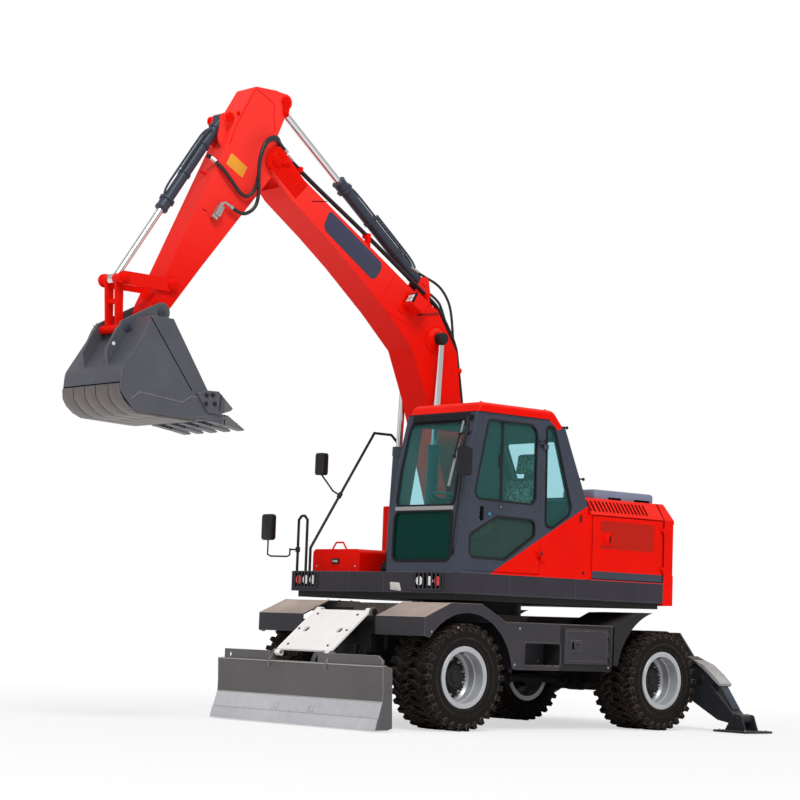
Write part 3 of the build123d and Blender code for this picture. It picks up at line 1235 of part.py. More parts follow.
def boom():
    """The boom: a bent box with its foot, fork, cylinder bosses and lugs."""
    lo, hi = BOOM_Y - BOOM_HALF, BOOM_Y + BOOM_HALF
    body = prism(from_pins(BOOM_SIDE), "y", lo, hi)
    body += drum(*BOOM_TIP, "y", lo, hi, 105)
    body += drum(*BOOM_FOOT, "y", lo, hi, 120)
    narrow = BOOM_HALF - 14
    for s in (1, -1):
        y = sorted((BOOM_Y + s * narrow, BOOM_Y + s * (BOOM_HALF + 1)))
        body -= block((-400, 700), y, (1500, 2050))
        boss = sorted((BOOM_Y + s * BOOM_HALF, BOOM_Y + s * (BOOM_CYL_Y - BOOM_CYL["eye_half"] - GAP * 2)))
        body += drum(*BOOM_CYL_EYE, "y", *boss, 78)
        ear = sorted((BOOM_Y + s * (ARM_CYL["half"] + 2), BOOM_Y + s * (ARM_CYL["half"] + 26)))
        body += lever([(760, 4200), ARM_CYL_BASE], [150, 62], "y", *ear)
    body -= drum(*BOOM_TIP, "y", BOOM_Y - ARM_HALF - 6, BOOM_Y + ARM_HALF + 6, TIP_SLOT_R)
    body += drum(*BOOM_TIP, "y", lo - 16, hi + 16, 45)
    body += work_lamp()
    reach = ARM_CYL["half"] + 34
    body += drum(*ARM_CYL_BASE, "y", BOOM_Y - reach, BOOM_Y + reach, ARM_CYL["pin_r"])
    body -= drum(*BOOM_FOOT, "y", lo - 1, hi + 1, 45 + FIT)
    return body


ARM_CYL_SHORT = turn(ARM_CYL_EYE, BOOM_TIP, -ARM_OUT)
cylinder("boom_cylinder", BOOM_CYL_BASE, BOOM_CYL_EYE, BOOM_CYL_SHORT, "y",
         [BOOM_Y - BOOM_CYL_Y, BOOM_Y + BOOM_CYL_Y], BOOM_CYL)
keep("boom", boom())
cylinder("arm_cylinder", ARM_CYL_BASE, ARM_CYL_EYE, ARM_CYL_SHORT, "y", [BOOM_Y], ARM_CYL)


# ---------------------------------------------------------------- arm
def arm():
    """The arm: a tapered box with the rod's ears, the cylinder lugs and the bucket boss."""
    lo, hi = BOOM_Y - ARM_HALF, BOOM_Y + ARM_HALF
    body = prism(from_pins(ARM_SIDE), "y", lo, hi)
    body += drum(*BOOM_TIP, "y", lo, hi, 125)
    body += drum(*BUCKET_PIN, "y", lo, hi, 88)
    for s in (1, -1):
        ear = sorted((BOOM_Y + s * 44, BOOM_Y + s * ARM_HALF))
        body += lever([(2790, 5950), ARM_CYL_EYE], [110, 78], "y", *ear)
        lug = sorted((BOOM_Y + s * (BUCKET_CYL["half"] + 2), BOOM_Y + s * (BUCKET_CYL["half"] + 24)))
        body += lever([(3290, 5520), BUCKET_CYL_BASE], [120, 56], "y", *lug)
    slot = [(2400, 5640), (2760, 5640), (2860, 5800), (2930, 6200), (2400, 6200)]
    body -= prism(slot, "y", BOOM_Y - 44, BOOM_Y + 44)
    reach = BUCKET_CYL["half"] + 32
    body += drum(*BUCKET_CYL_BASE, "y", BOOM_Y - reach, BOOM_Y + reach, BUCKET_CYL["pin_r"])
    body -= drum(*BOOM_TIP, "y", lo - 1, hi + 1, 45 + FIT)
    body += drum(*GUIDE_PIN, "y", lo - 38, hi + 38, PIN_R)
    body -= drum(*BUCKET_PIN, "y", lo - 1, hi + 1, PIN_R + FIT)
    return body


def guide_point(bucket_degrees):
    """Where the guide links and the bucket's link meet when the bucket has turned."""
    h = turn(BUCKET_LINK_PIN, BUCKET_PIN, bucket_degrees)
    j, r0, r1 = GUIDE_PIN, gap_between(GUIDE_PIN, LINK_PIN), gap_between(BUCKET_LINK_PIN, LINK_PIN)
    d = gap_between(j, h)
    a = (r0 * r0 - r1 * r1 + d * d) / (2 * d)
    k = math.sqrt(max(r0 * r0 - a * a, 0.0))
    ux, uz = (h[0] - j[0]) / d, (h[1] - j[1]) / d
    return (j[0] + a * ux - k * uz, j[1] + a * uz + k * ux)


BUCKET_CYL_SHORT = guide_point(-BUCKET_DUMP)
keep("arm", arm())
cylinder("bucket_cylinder", BUCKET_CYL_BASE, LINK_PIN, BUCKET_CYL_SHORT, "y", [BOOM_Y], BUCKET_CYL)

GUIDE_T = 22.0
GUIDE_Y = ARM_HALF + 6
LINK_Y = (62.0, 94.0)
LINK_PIN_R = 25.0
EAR_Y = (GUIDE_Y + GUIDE_T + 6, GUIDE_Y + GUIDE_T + 38)


def guide_links():
    """The two guide links, with a boss outside each."""
    plates = []
    for s in (1, -1):
        y = sorted((BOOM_Y + s * GUIDE_Y, BOOM_Y + s * (GUIDE_Y + GUIDE_T)))
        plate = lever([GUIDE_PIN, LINK_PIN], [62, 62], "y", *y)
        plate -= drum(*GUIDE_PIN, "y", y[0] - 1, y[1] + 1, PIN_R + FIT)
        boss = sorted((BOOM_Y + s * (GUIDE_Y + GUIDE_T), BOOM_Y + s * (GUIDE_Y + GUIDE_T + 14)))
        plate += drum(*LINK_PIN, "y", *boss, 46)
        plates.append(plate)
    return Compound(plates)


def bucket_link():
    """The link between the bucket and the guide links: two cheeks, a lower eye and a cross tube."""
    eye = BOOM_Y - EAR_Y[0] + 1, BOOM_Y + EAR_Y[0] - 1
    body = drum(*BUCKET_LINK_PIN, "y", *eye, 40)
    for s in (1, -1):
        cheek = sorted((BOOM_Y + s * LINK_Y[0], BOOM_Y + s * LINK_Y[1]))
        body += lever([LINK_PIN, BUCKET_LINK_PIN], [42, 34], "y", *cheek)
        boss = sorted((BOOM_Y + s * (BUCKET_CYL["eye_half"] + 1), BOOM_Y + s * (GUIDE_Y - GAP * 2)))
        body += drum(*LINK_PIN, "y", *boss, 50)
    middle = along(BUCKET_LINK_PIN, LINK_PIN, 250)
    body += drum(*middle, "y", BOOM_Y - LINK_Y[0], BOOM_Y + LINK_Y[0], 26)
    return body - drum(*BUCKET_LINK_PIN, "y", eye[0] - 1, eye[1] + 1, LINK_PIN_R + FIT)


keep("guide_links", guide_links())
keep("bucket_link", bucket_link())


# ---------------------------------------------------------------- bucket
BUCKET_OUT = [(3522, 2806), (3840, 2766, 200), (4480, 2788, 170), (4648, 2960, 110), (4632, 3160, 140), (4415, 3486),
              (4366, 3595), (4314, 3664), (4100, 3656)]
BUCKET_IN = [(3430, 2845), (3842, 2790, 190), (4470, 2812, 150), (4622, 2968, 95), (4609, 3152, 140), (4394, 3478),
             (4347, 3583), (4302, 3640), (4040, 3632), (3430, 2900)]
TEETH = 5


STRIP_T = 9.0


def bucket():
    """The bucket: wrapped shell, cheeks, lip with teeth, side cutters, wear strips and ears."""
    lo, hi = BOOM_Y - BUCKET_HALF, BOOM_Y + BUCKET_HALF
    body = prism(BUCKET_OUT, "y", lo, hi) - prism(BUCKET_IN, "y", lo + 26, hi - 26)
    lip = [(3470, 2806), (3530, 2790), (3800, 2760), (3800, 2795), (3500, 2836)]
    body += prism(lip, "y", lo - 4, hi + 4)
    pitch = (2 * BUCKET_HALF - 90) / (TEETH - 1)
    for i in range(TEETH):
        y = lo + 45 + i * pitch
        tooth = [(3238, 2722), (3262, 2712), (3450, 2742), (3640, 2768), (3640, 2800), (3560, 2850), (3440, 2838)]
        body += prism(tooth, "y", y - 42, y + 42)
    heel = prism(grown(BUCKET_OUT, STRIP_T), "y", lo + 40, hi - 40)
    heel &= block((3830, 4700), (lo, hi), (2700, 3010))
    strips = [block((3800, 4700), (y - 72, y + 72), (2700, 3020))
              for y in (lo + 88 + i * (2 * BUCKET_HALF - 176) / 4 for i in range(5))]
    body += heel.cut(*strips)
    cutter = [(3405, 2905), (3425, 2880), (3560, 2835), (3690, 2850), (3815, 3010), (3726, 3043), (3573, 3046)]
    for y in ((lo - 20, lo), (hi, hi + 20)):
        body += prism(cutter, "y", *y)
    ear = [(4020, 3660), (4100, 3600), (4345, 3600), (4400, 3470), (4610, 3170), (4640, 3335), (4535, 3540), (4480, 3600)]
    for s in (1, -1):
        y = sorted((BOOM_Y + s * EAR_Y[0], BOOM_Y + s * EAR_Y[1]))
        plate = lever([BUCKET_PIN, BUCKET_LINK_PIN], [88, 72], "y", *y) + prism(ear, "y", *y)
        body += plate
    body -= prism(BUCKET_IN, "y", lo + 26, hi - 26)
    body += drum(*BUCKET_PIN, "y", BOOM_Y - EAR_Y[1] - 14, BOOM_Y + EAR_Y[1] + 14, PIN_R)
    body += drum(*BUCKET_LINK_PIN, "y", BOOM_Y - EAR_Y[1] - 14, BOOM_Y + EAR_Y[1] + 14, LINK_PIN_R)
    return body


keep("bucket", bucket())

# ---------------------------------------------------------------- files
os.makedirs("parts", exist_ok=True)
for name, shape in NODES.items():
    export_step(shape if isinstance(shape, Compound) else Compound(shape.solids()), f"parts/{name}.step")
print(len(NODES), "nodes")
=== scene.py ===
"""Finishes, fittings and soft parts of a wheeled excavator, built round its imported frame.

Metres, in the frame's own axes: +X is forward, +Y is the driver's left and +Z is up, with the
origin on the ground under the slewing axis. Each sub-assembly is a class: its fields hold its
sizes, and its methods build its meshes, dress them and set them on the body that carries them.
"""

import json
import logging
import math
from dataclasses import dataclass
from enum import Enum
from typing import Callable, Iterable, Sequence

import bmesh
import bpy
from mathutils import Matrix, Vector


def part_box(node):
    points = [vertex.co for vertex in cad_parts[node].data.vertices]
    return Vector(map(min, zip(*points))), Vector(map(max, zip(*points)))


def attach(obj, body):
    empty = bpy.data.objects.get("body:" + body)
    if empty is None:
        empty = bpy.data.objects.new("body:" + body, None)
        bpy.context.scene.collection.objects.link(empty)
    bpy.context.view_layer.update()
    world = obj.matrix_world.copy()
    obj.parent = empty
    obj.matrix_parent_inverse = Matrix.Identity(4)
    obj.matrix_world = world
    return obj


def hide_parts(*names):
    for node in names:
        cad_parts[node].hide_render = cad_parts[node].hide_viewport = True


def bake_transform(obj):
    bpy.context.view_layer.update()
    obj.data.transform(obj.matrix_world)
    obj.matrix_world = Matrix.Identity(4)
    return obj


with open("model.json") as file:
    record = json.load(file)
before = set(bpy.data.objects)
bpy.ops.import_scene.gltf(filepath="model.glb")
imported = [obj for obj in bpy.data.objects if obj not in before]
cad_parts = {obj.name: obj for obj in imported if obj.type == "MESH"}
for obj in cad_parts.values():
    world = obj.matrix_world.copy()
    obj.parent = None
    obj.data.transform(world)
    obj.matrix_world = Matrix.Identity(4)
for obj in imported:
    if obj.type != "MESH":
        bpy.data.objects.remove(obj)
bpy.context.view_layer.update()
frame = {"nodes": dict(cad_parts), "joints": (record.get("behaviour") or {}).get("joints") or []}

log = logging.getLogger("excavator")

Point = tuple[float, float, float]
Corner = tuple[float, ...]  # (a, b), or (a, b, corner radius)
Colour = tuple[float, float, float]

UP = Vector((0.0, 0.0, 1.0))
LEFT = Vector((0.0, 1.0, 0.0))
BOOM_Y = -0.085  # the plane that the boom, the arm and the bucket move in
BODY_HALF = 1.25  # half of the machine's width over its panels
SIDES = (1, -1)
HANDS = ("left", "right")
SHARP = 0.5  # the angle, in radians, above which an edge is rounded
LAP = 0.001  # how far a fitting sinks into the surface that carries it
WHITE = (1.0, 1.0, 1.0)
GUIDE_PIN = (4.455, 4.016)  # x and z of the pin between the guide links and the bucket's link
LINK_PIN = (4.433, 3.563)  # of the pin between that link and the bucket
NOSE_PIN = (3.917, 4.014)  # of the guide links' pin in the arm's nose


class Way(Enum):
    """The axis that a flat outline is drawn out along."""

    X = 0
    Y = 1
    Z = 2

    def at(self, a: float, b: float, along: float) -> Vector:
        """A point of the plane across this axis, at a place along it."""
        return Vector({Way.X: (along, a, b), Way.Y: (a, along, b), Way.Z: (a, b, along)}[self])


class Slot(str, Enum):
    """The record's material slots."""

    RUBBER = "tyre_rubber"
    RIM = "rim_silver"
    FRAME = "frame_grey"
    BLADE = "blade_grey"
    PALE = "pale_paint"
    WEATHERED = "weathered_grey"
    SLATE = "slate_paint"
    CHROME = "rod_chrome"
    RED = "red_paint"
    BUCKET = "bucket_steel"
    GLASS = "tinted_glass"
    SEAT = "seat_fabric"
    PLASTIC = "black_plastic"


# ---------------------------------------------------------------- shader arithmetic
def _math(operation: str, swapped: bool = False) -> Callable[["Sock", "Sock | float"], "Sock"]:
    """An operator on two values, as a Math node; swapped puts the other value first."""

    def method(self: "Sock", other: "Sock | float") -> "Sock":
        """Add the node and take its result."""
        first, second = (other, self) if swapped else (self, other)
        return self.graph.out("ShaderNodeMath", {"operation": operation}, {0: first, 1: second})

    return method


class Sock:
    """A number in a material's node tree, which Python's arithmetic extends."""

    __add__, __radd__ = _math("ADD"), _math("ADD", True)
    __sub__, __rsub__ = _math("SUBTRACT"), _math("SUBTRACT", True)
    __mul__, __rmul__ = _math("MULTIPLY"), _math("MULTIPLY", True)
    __pow__, __gt__, __lt__ = _math("POWER"), _math("GREATER_THAN"), _math("LESS_THAN")
    most, least = _math("MAXIMUM"), _math("MINIMUM")

    def __init__(self, graph: "Graph", socket: bpy.types.NodeSocket) -> None:
        """Keep the tree and the output socket."""
        self.graph = graph
        self.socket = socket

    def __abs__(self) -> "Sock":
        """Distance from zero."""
        return self.graph.out("ShaderNodeMath", {"operation": "ABSOLUTE"}, {0: self})

    def ramp(self, start: float, end: float) -> "Sock":
        """Rises smoothly from 0 at start to 1 at end."""
        ends = {"Value": self, "From Min": start, "From Max": end}
        return self.graph.out("ShaderNodeMapRange", {"interpolation_type": "SMOOTHSTEP"}, ends)


class Graph:
    """A node tree: a material's, or the world's."""

    def __init__(self, holder: bpy.types.Material | bpy.types.World) -> None:
        """Start an empty tree."""
        self.holder = holder
        holder.use_nodes = True
        self.tree = holder.node_tree
        self.tree.nodes.clear()
        self._kept: dict[str, Sock] = {}

    def node(self, kind: str, settings: dict[str, object] | None = None,
             sockets: dict[str | int, object] | None = None) -> bpy.types.Node:
        """Add one node.

        Args:
            kind: the node's type.
            settings: its properties, which are set first.
            sockets: values or links for its inputs, by name or index.

        Returns:
            The node.
        """
        made = self.tree.nodes.new(kind)
        for key, value in (settings or {}).items():
            setattr(made, key, value)
        for key, value in (sockets or {}).items():
            if isinstance(value, Sock):
                self.tree.links.new(value.socket, made.inputs[key])
            else:
                made.inputs[key].default_value = value
        return made

    def out(self, kind: str, settings: dict[str, object] | None = None,
            sockets: dict[str | int, object] | None = None, result: str | int = 0) -> Sock:
        """Add one node and take one of its outputs."""
        return Sock(self, self.node(kind, settings, sockets).outputs[result])

    def axis(self, which: str) -> Sock:
        """One coordinate of the surface's point, X, Y or Z, in the machine's own axes."""
        if which not in self._kept:
            split = self.node("ShaderNodeSeparateXYZ", None, {0: self.place()})
            self._kept |= {name: Sock(self, split.outputs[name]) for name in "XYZ"}
        return self._kept[which]

    def place(self) -> Sock:
        """The surface's point, in the machine's own axes."""
        if "place" not in self._kept:
            self._kept["place"] = self.out("ShaderNodeTexCoord", result="Object")
        return self._kept["place"]

    def upward(self) -> Sock:
        """How far the surface faces up, from -1 to 1."""
        normal = self.out("ShaderNodeTexCoord", result="Normal")
        return self.out("ShaderNodeSeparateXYZ", None, {0: normal}, "Z")

    def noise(self, scale: float, detail: float = 3.0, roughness: float = 0.55) -> Sock:
        """Soft noise from 0 to 1, at a number of lumps to the metre."""
        sockets = {"Vector": self.place(), "Scale": scale, "Detail": detail, "Roughness": roughness}
        return self.out("ShaderNodeTexNoise", None, sockets)

    def edge(self, radius: float) -> Sock:
        """1 along sharp edges and 0 on flats."""
        soft = self.out("ShaderNodeBevel", {"samples": 4}, {"Radius": radius})
        true = self.out("ShaderNodeNewGeometry", result="Normal")
        same = self.out("ShaderNodeVectorMath", {"operation": "DOT_PRODUCT"}, {0: soft, 1: true}, "Value")
        return (1.0 - same).ramp(0.02, 0.22)

    def blend(self, factor: Sock | float, first: Sock | Colour, second: Sock | Colour) -> Sock:
        """A colour between two."""
        sockets = {0: factor, 6: _full(first), 7: _full(second)}
        return self.out("ShaderNodeMix", {"data_type": "RGBA"}, sockets, 2)

    def bump(self, height: Sock, distance: float) -> Sock:
        """A normal from a height, in metres at full height."""
        return self.out("ShaderNodeBump", None, {"Height": height, "Distance": distance, "Strength": 1.0})

    def mix(self, share: Sock | float, first: Sock, second: Sock) -> Sock:
        """A shader between two."""
        return self.out("ShaderNodeMixShader", None, {0: share, 1: first, 2: second})

    def paint(self, colour: Sock | Colour, roughness: Sock | float, shine: float = 0.5, **rest: object) -> Sock:
        """A Principled surface; the rest names more of its sockets, with _ for each space."""
        sockets = {"Base Color": _full(colour), "Roughness": roughness, "Specular IOR Level": shine}
        sockets.update({key.replace("_", " "): value for key, value in rest.items()})
        return self.out("ShaderNodeBsdfPrincipled", None, sockets)

    def done(self, shader: Sock, kind: str = "Material") -> bpy.types.Material | bpy.types.World:
        """Link the surface and return what the tree belongs to."""
        self.node(f"ShaderNodeOutput{kind}", None, {"Surface": shader})
        return self.holder


def _full(colour: Sock | Colour) -> Sock | tuple[float, ...]:
    """A linked colour as it is, or a plain one with its opacity."""
    return colour if isinstance(colour, Sock) else (*colour, 1.0)


# ---------------------------------------------------------------- finishes
@dataclass(frozen=True)
class Skin:
    """Anything that a piece can be dressed with: a name and a shader."""

    name: str

    def shade(self, graph: Graph) -> Sock:
        """Build the shader in a tree."""
        raise NotImplementedError

    def material(self) -> bpy.types.Material:
        """The material, made once."""
        found = bpy.data.materials.get(self.name)
        if found:
            return found
        graph = Graph(bpy.data.materials.new(self.name))
        return graph.done(self.shade(graph))


@dataclass(frozen=True)
class Finish(Skin):
    """A painted, bare or moulded surface, how use has marked it, and for some finishes painted light: lighter edges and
    upward faces that stand partly for highlights and sky reflection.
    """

    colour: Colour
    roughness: float = 0.4
    metallic: float = 0.0
    coat: float = 0.0
    shine: float = 0.5
    mottle: float = 0.1
    mottle_scale: float = 2.5
    dust: float = 0.0
    dust_colour: Colour = (0.36, 0.31, 0.27)
    dust_and_sheen_from: float = 0.5
    wear: float = 0.0
    wear_colour: Colour = (0.36, 0.37, 0.4)
    wear_radius: float = 0.006
    peel: float = 0.0
    peel_scale: float = 220.0

    def peeled(self, graph: Graph) -> dict[str, Sock]:
        """The Normal socket's value, where the paint has orange peel."""
        if not self.peel:
            return {}
        height = graph.noise(self.peel_scale, 2.0) + graph.noise(self.peel_scale / 6.0, 2.0)
        return {"Normal": graph.bump(height, self.peel)}

    def shade(self, graph: Graph) -> Sock:
        """Build the surface's shader in a tree."""
        lumps = graph.noise(self.mottle_scale, 4.0)
        fine = graph.noise(self.mottle_scale * 14.0, 3.0)
        shaded = tuple(c * (1.0 - self.mottle) for c in self.colour)
        lifted = tuple(min(1.0, c * (1.0 + self.mottle)) for c in self.colour)
        colour = graph.blend((lumps * 0.7 + fine * 0.3).ramp(0.3, 0.7), shaded, lifted)
        rough = self.roughness * (0.85 + 0.3 * fine)
        metal: Sock | float = self.metallic
        # Colour along sharp edges: wear; where the wear colour is lighter than the paint, also painted edge highlight.
        if self.wear:
            bare = (graph.edge(self.wear_radius) * (0.45 + 1.1 * lumps) * self.wear).least(1.0)
            colour = graph.blend(bare, colour, self.wear_colour)
        # Colour on upward faces: dust; for the red enamel and the frame grey, also painted highlight and sky reflection
        # on their tops.
        if self.dust:
            dust_and_sheen = (graph.upward().ramp(self.dust_and_sheen_from, 0.98) * (0.35 + 0.9 * lumps) * self.dust).least(1.0)
            colour = graph.blend(dust_and_sheen, colour, self.dust_colour)
            rough = rough + dust_and_sheen * (0.75 - self.roughness)
            metal = (1.0 - dust_and_sheen) * self.metallic if self.metallic else 0.0
        return graph.paint(colour, rough, self.shine, Metallic=metal, Coat_Weight=self.coat, Coat_Roughness=0.08,
                           **self.peeled(graph))


@dataclass(frozen=True)
class Divided(Skin):
    """Two skins on one piece, parted where a mask passes from 0 to 1."""

    first: Skin
    second: Skin
    mask: Callable[[Graph], Sock]

    def shade(self, graph: Graph) -> Sock:
        """Build both shaders and their mixture."""
        return graph.mix(self.mask(graph), self.first.shade(graph), self.second.shade(graph))


@dataclass(frozen=True)
class Rubber(Finish):
    """Tyre rubber: brown along the lugs' edges and dusty in the grooves."""

    def shade(self, graph: Graph) -> Sock:
        """Build the rubber's shader in a tree."""
        lumps = graph.noise(9.0, 4.0)
        fine = graph.noise(70.0, 4.0, 0.65)
        clay = graph.edge(0.014) * (0.25 + 1.1 * lumps.ramp(0.3, 0.62))
        colour = graph.blend(fine.ramp(0.35, 0.75) * lumps, self.colour, self.dust_colour)
        colour = graph.blend(clay.least(0.85), colour, self.wear_colour)
        normal = graph.bump(fine + graph.noise(260.0, 2.0) * 0.3, 0.0012)
        return graph.paint(colour, 0.62 + 0.3 * lumps, self.shine, Normal=normal)


@dataclass(frozen=True)
class BoomRedLitHigh(Finish):
    """Red enamel painted paler higher up the boom and the arm: painted highlight where they catch more light."""

    def shade(self, graph: Graph) -> Sock:
        """Build the enamel's shader in a tree."""
        # Paler red higher up: painted highlight.
        high = graph.axis("Z").ramp(3.6, 5.6)
        lumps = graph.noise(2.5, 4.0)
        base = graph.blend(high, self.colour, HIGHLIGHT_RED_COLOUR)
        colour = graph.blend(lumps * 0.1, base, (0.55, 0.008, 0.002))
        return graph.paint(colour, self.roughness * (0.85 + 0.3 * lumps), self.shine, **self.peeled(graph))


@dataclass(frozen=True)
class SeatCover(Finish):
    """Printed seat cloth: soft blotches over a fine weave."""

    def shade(self, graph: Graph) -> Sock:
        """Build the cloth's shader in a tree."""
        blotch = graph.noise(26.0, 5.0, 0.7).ramp(0.42, 0.58)
        leaf = graph.noise(48.0, 3.0).ramp(0.52, 0.6)
        colour = graph.blend(blotch, self.colour, self.dust_colour)
        colour = graph.blend(leaf * 0.8, colour, self.wear_colour)
        where = {"Vector": graph.place(), "Scale": 160.0}
        threads = graph.out("ShaderNodeTexWave", {"bands_direction": "DIAGONAL"}, where, "Fac")
        weave = threads + graph.noise(300.0, 2.0)
        return graph.paint(colour, 0.8 + 0.1 * leaf, Normal=graph.bump(weave, 0.0008))


@dataclass(frozen=True)
class Pane(Finish):
    """Tinted glass: mostly clear, with a share of coloured haze."""

    tint: Colour = (1.0, 1.0, 1.0)
    share: float = 0.1

    def shade(self, graph: Graph) -> Sock:
        """Build the glass's shader in a tree."""
        clear = graph.out("ShaderNodeBsdfTransparent", None, {"Color": _full(self.tint)})
        return graph.mix(self.share, clear, graph.paint(self.colour, 0.05, self.shine))


@dataclass(frozen=True)
class Perforated(Finish):
    """A painted sheet with staggered round holes, darkened as painted shade behind the sheet."""

    pitch: float = 0.022

    def shade(self, graph: Graph) -> Sock:
        """Build the sheet's shader in a tree."""
        x, z = (graph.axis(name) * (math.tau / self.pitch) for name in "XZ")
        waves = [graph.out("ShaderNodeMath", {"operation": "SINE"}, {0: way}) for way in (x + z, x - z)]
        # The holes take the dust colour: painted shade behind the sheet.
        hole = (waves[0] * waves[1]).ramp(0.15, 0.45)
        return graph.paint(graph.blend(hole, self.colour, self.dust_colour), self.roughness, self.shine)


RED_COLOUR: Colour = (0.8, 0.005, 0.0005)
# The paler red of the boom's and the arm's upper parts: painted highlight.
HIGHLIGHT_RED_COLOUR: Colour = (1.0, 0.045, 0.036)
SLATE_COLOUR: Colour = (0.038, 0.047, 0.07)
GREY_COLOUR: Colour = (0.04, 0.037, 0.044)

# The red enamel's pink 'dust' on faces that look up is partly dust and partly painted sky reflection.
RED = Finish("red_enamel", RED_COLOUR, 0.38, shine=0.05, mottle=0.05, dust=0.55, dust_colour=(0.95, 0.11, 0.085),
             dust_and_sheen_from=0.25, peel=0.0002)
SLATE = Finish("slate_enamel", SLATE_COLOUR, 0.38, shine=0.25, wear=0.5, wear_colour=(0.2, 0.22, 0.27),
               dust=0.15, peel=0.0002)
DECK_GREY = Finish("deck_enamel", (0.034, 0.031, 0.04), 0.42, shine=0.15, wear=0.5, wear_colour=(0.2, 0.21, 0.24),
                   dust=0.3, peel=0.0002)
# Light grey for the screen's bar, and for the wiper blade, where it is painted highlight.
BAR_GREY = Finish("screen_bar_grey", (0.3, 0.29, 0.3), 0.4, mottle=0.04)
# The frame grey's heavy pale dust on upward faces is partly dust and partly painted highlight on the lit tops of the
# fenders.
FRAME_GREY = Finish("frame_grey_enamel", GREY_COLOUR, 0.48, shine=0.2, wear=0.7, wear_colour=(0.22, 0.21, 0.22),
                    dust=0.9, dust_colour=(0.56, 0.46, 0.4), dust_and_sheen_from=0.55, peel=0.0003)
DARK_STEEL = Finish("dark_running_gear", (0.014, 0.013, 0.014), 0.55, shine=0.25, wear=0.6,
                    wear_colour=(0.1, 0.09, 0.085), dust=0.25, peel=0.0006, peel_scale=120.0)
# The blade grey's light edges are partly wear and partly painted edge highlight.
BLADE_GREY = Finish("blade_grey_enamel", (0.085, 0.078, 0.08), 0.42, wear=0.9, wear_colour=(0.6, 0.6, 0.6),
                    dust=0.2, mottle=0.16, mottle_scale=1.5, peel=0.0003)
# Painted sky reflection: a light grey for the blade's lower face, which slopes up towards the sky.
BLADE_PAINTED_REFLECTION = Finish("blade_painted_sky_reflection", (0.51, 0.51, 0.54), 0.42, metallic=0.25, mottle=0.12, mottle_scale=1.2,
                    peel=0.0003)
PALE = Finish("pale_link_paint", (0.88, 0.86, 0.85), 0.42, mottle=0.05, dust=0.1, peel=0.0003)
WEATHERED = Finish("weathered_guard", (0.13, 0.112, 0.1), 0.55, shine=0.25, mottle=0.35, mottle_scale=5.0, wear=0.6,
                   dust=0.4, dust_colour=(0.42, 0.36, 0.31), peel=0.0006)
GUARD_GREY = Finish("outrigger_guard", (0.38, 0.38, 0.385), 0.5, shine=0.25, mottle=0.3, mottle_scale=5.0,
                    wear=0.5, wear_colour=(0.2, 0.15, 0.12), wear_radius=0.03, dust=0.25, peel=0.0003)
LEG_SLATE = Finish("outrigger_leg_enamel", (0.022, 0.023, 0.029), 0.42, shine=0.2, wear=0.5,
                   wear_colour=(0.16, 0.16, 0.18), dust=0.2, peel=0.0002)
# Painted shadow: a darker, barely dusty grey for the rear fender, which lies under the house's shadow.
FENDER_SHADE = Finish("fender_grey_painted_shade", (0.02, 0.019, 0.021), 0.5, shine=0.15, wear=0.5,
                      wear_colour=(0.14, 0.13, 0.13), dust=0.12, peel=0.0002)
STRIP_STEEL = Finish("bucket_strip_steel", (0.125, 0.108, 0.104), 0.42, metallic=0.1, wear=0.8,
                     wear_colour=(0.3, 0.27, 0.26), mottle=0.18, dust=0.1, peel=0.0003)
BUCKET_STEEL = Finish("bucket_enamel", (0.08, 0.082, 0.1), 0.4, metallic=0.1, wear=0.8,
                      wear_colour=(0.3, 0.31, 0.34), mottle=0.14, dust=0.1, peel=0.0003)
TOOTH_STEEL = Finish("tooth_steel", (0.16, 0.16, 0.17), 0.45, metallic=0.4, wear=0.9, wear_colour=(0.5, 0.5, 0.5),
                     peel=0.0008, peel_scale=90.0)
BOOM_RED = BoomRedLitHigh("boom_red", RED_COLOUR, 0.38, shine=0.05, mottle=0.05, peel=0.0004)
# Its holes take the dust colour, a dark red here: painted shade behind the sheet.
RED_MESH = Perforated("red_perforated_sheet", (0.62, 0.012, 0.003), 0.5, shine=0.1, dust_colour=(0.1, 0.006, 0.004))
CHROME = Finish("polished_chrome", (0.78, 0.79, 0.8), 0.1, metallic=1.0, mottle=0.02)
SILVER = Finish("wheel_silver", (0.46, 0.47, 0.49), 0.36, metallic=0.25, coat=0.1, mottle=0.07, mottle_scale=8.0,
                wear=0.25, dust=0.15)
ZINC = Finish("zinc_fittings", (0.5, 0.49, 0.46), 0.34, metallic=0.8, mottle=0.1, mottle_scale=30.0)
BLACK = Finish("matt_black_moulding", (0.011, 0.01, 0.012), 0.45, shine=0.25, mottle=0.2, mottle_scale=12.0,
               peel=0.0003)
SEAL = Finish("window_rubber", (0.006, 0.006, 0.008), 0.5, shine=0.2, mottle=0.15, mottle_scale=10.0)
HOSE = Finish("hose_rubber", (0.01, 0.013, 0.016), 0.42, mottle=0.2, mottle_scale=20.0, peel=0.0004, peel_scale=500.0)
# Near black for seams and joints, and painted shade in recesses, slots and behind grilles.
VOID = Finish("dark_inside", (0.003, 0.003, 0.003), 0.9, shine=0.0, mottle=0.2)
TRIM = Finish("cab_trim", (0.075, 0.08, 0.078), 0.7, shine=0.2, mottle=0.08)
GLASS = Pane("green_glass", (0.1, 0.36, 0.32), tint=(0.84, 0.97, 1.0), share=0.11)
LOW_GLASS = Pane("low_green_glass", (0.055, 0.115, 0.1), tint=(0.62, 0.76, 0.72), share=0.34)
DARK_GLASS = Pane("deep_green_glass", (0.001, 0.036, 0.028), tint=(0.2, 0.55, 0.5), share=0.92, shine=0.08)
MIRROR_GLASS = Finish("mirror_glass", (0.8, 0.82, 0.85), 0.03, metallic=1.0, mottle=0.01)
LENS = Finish("clear_lens", (0.85, 0.86, 0.84), 0.12, coat=0.6, mottle=0.05, mottle_scale=60.0)
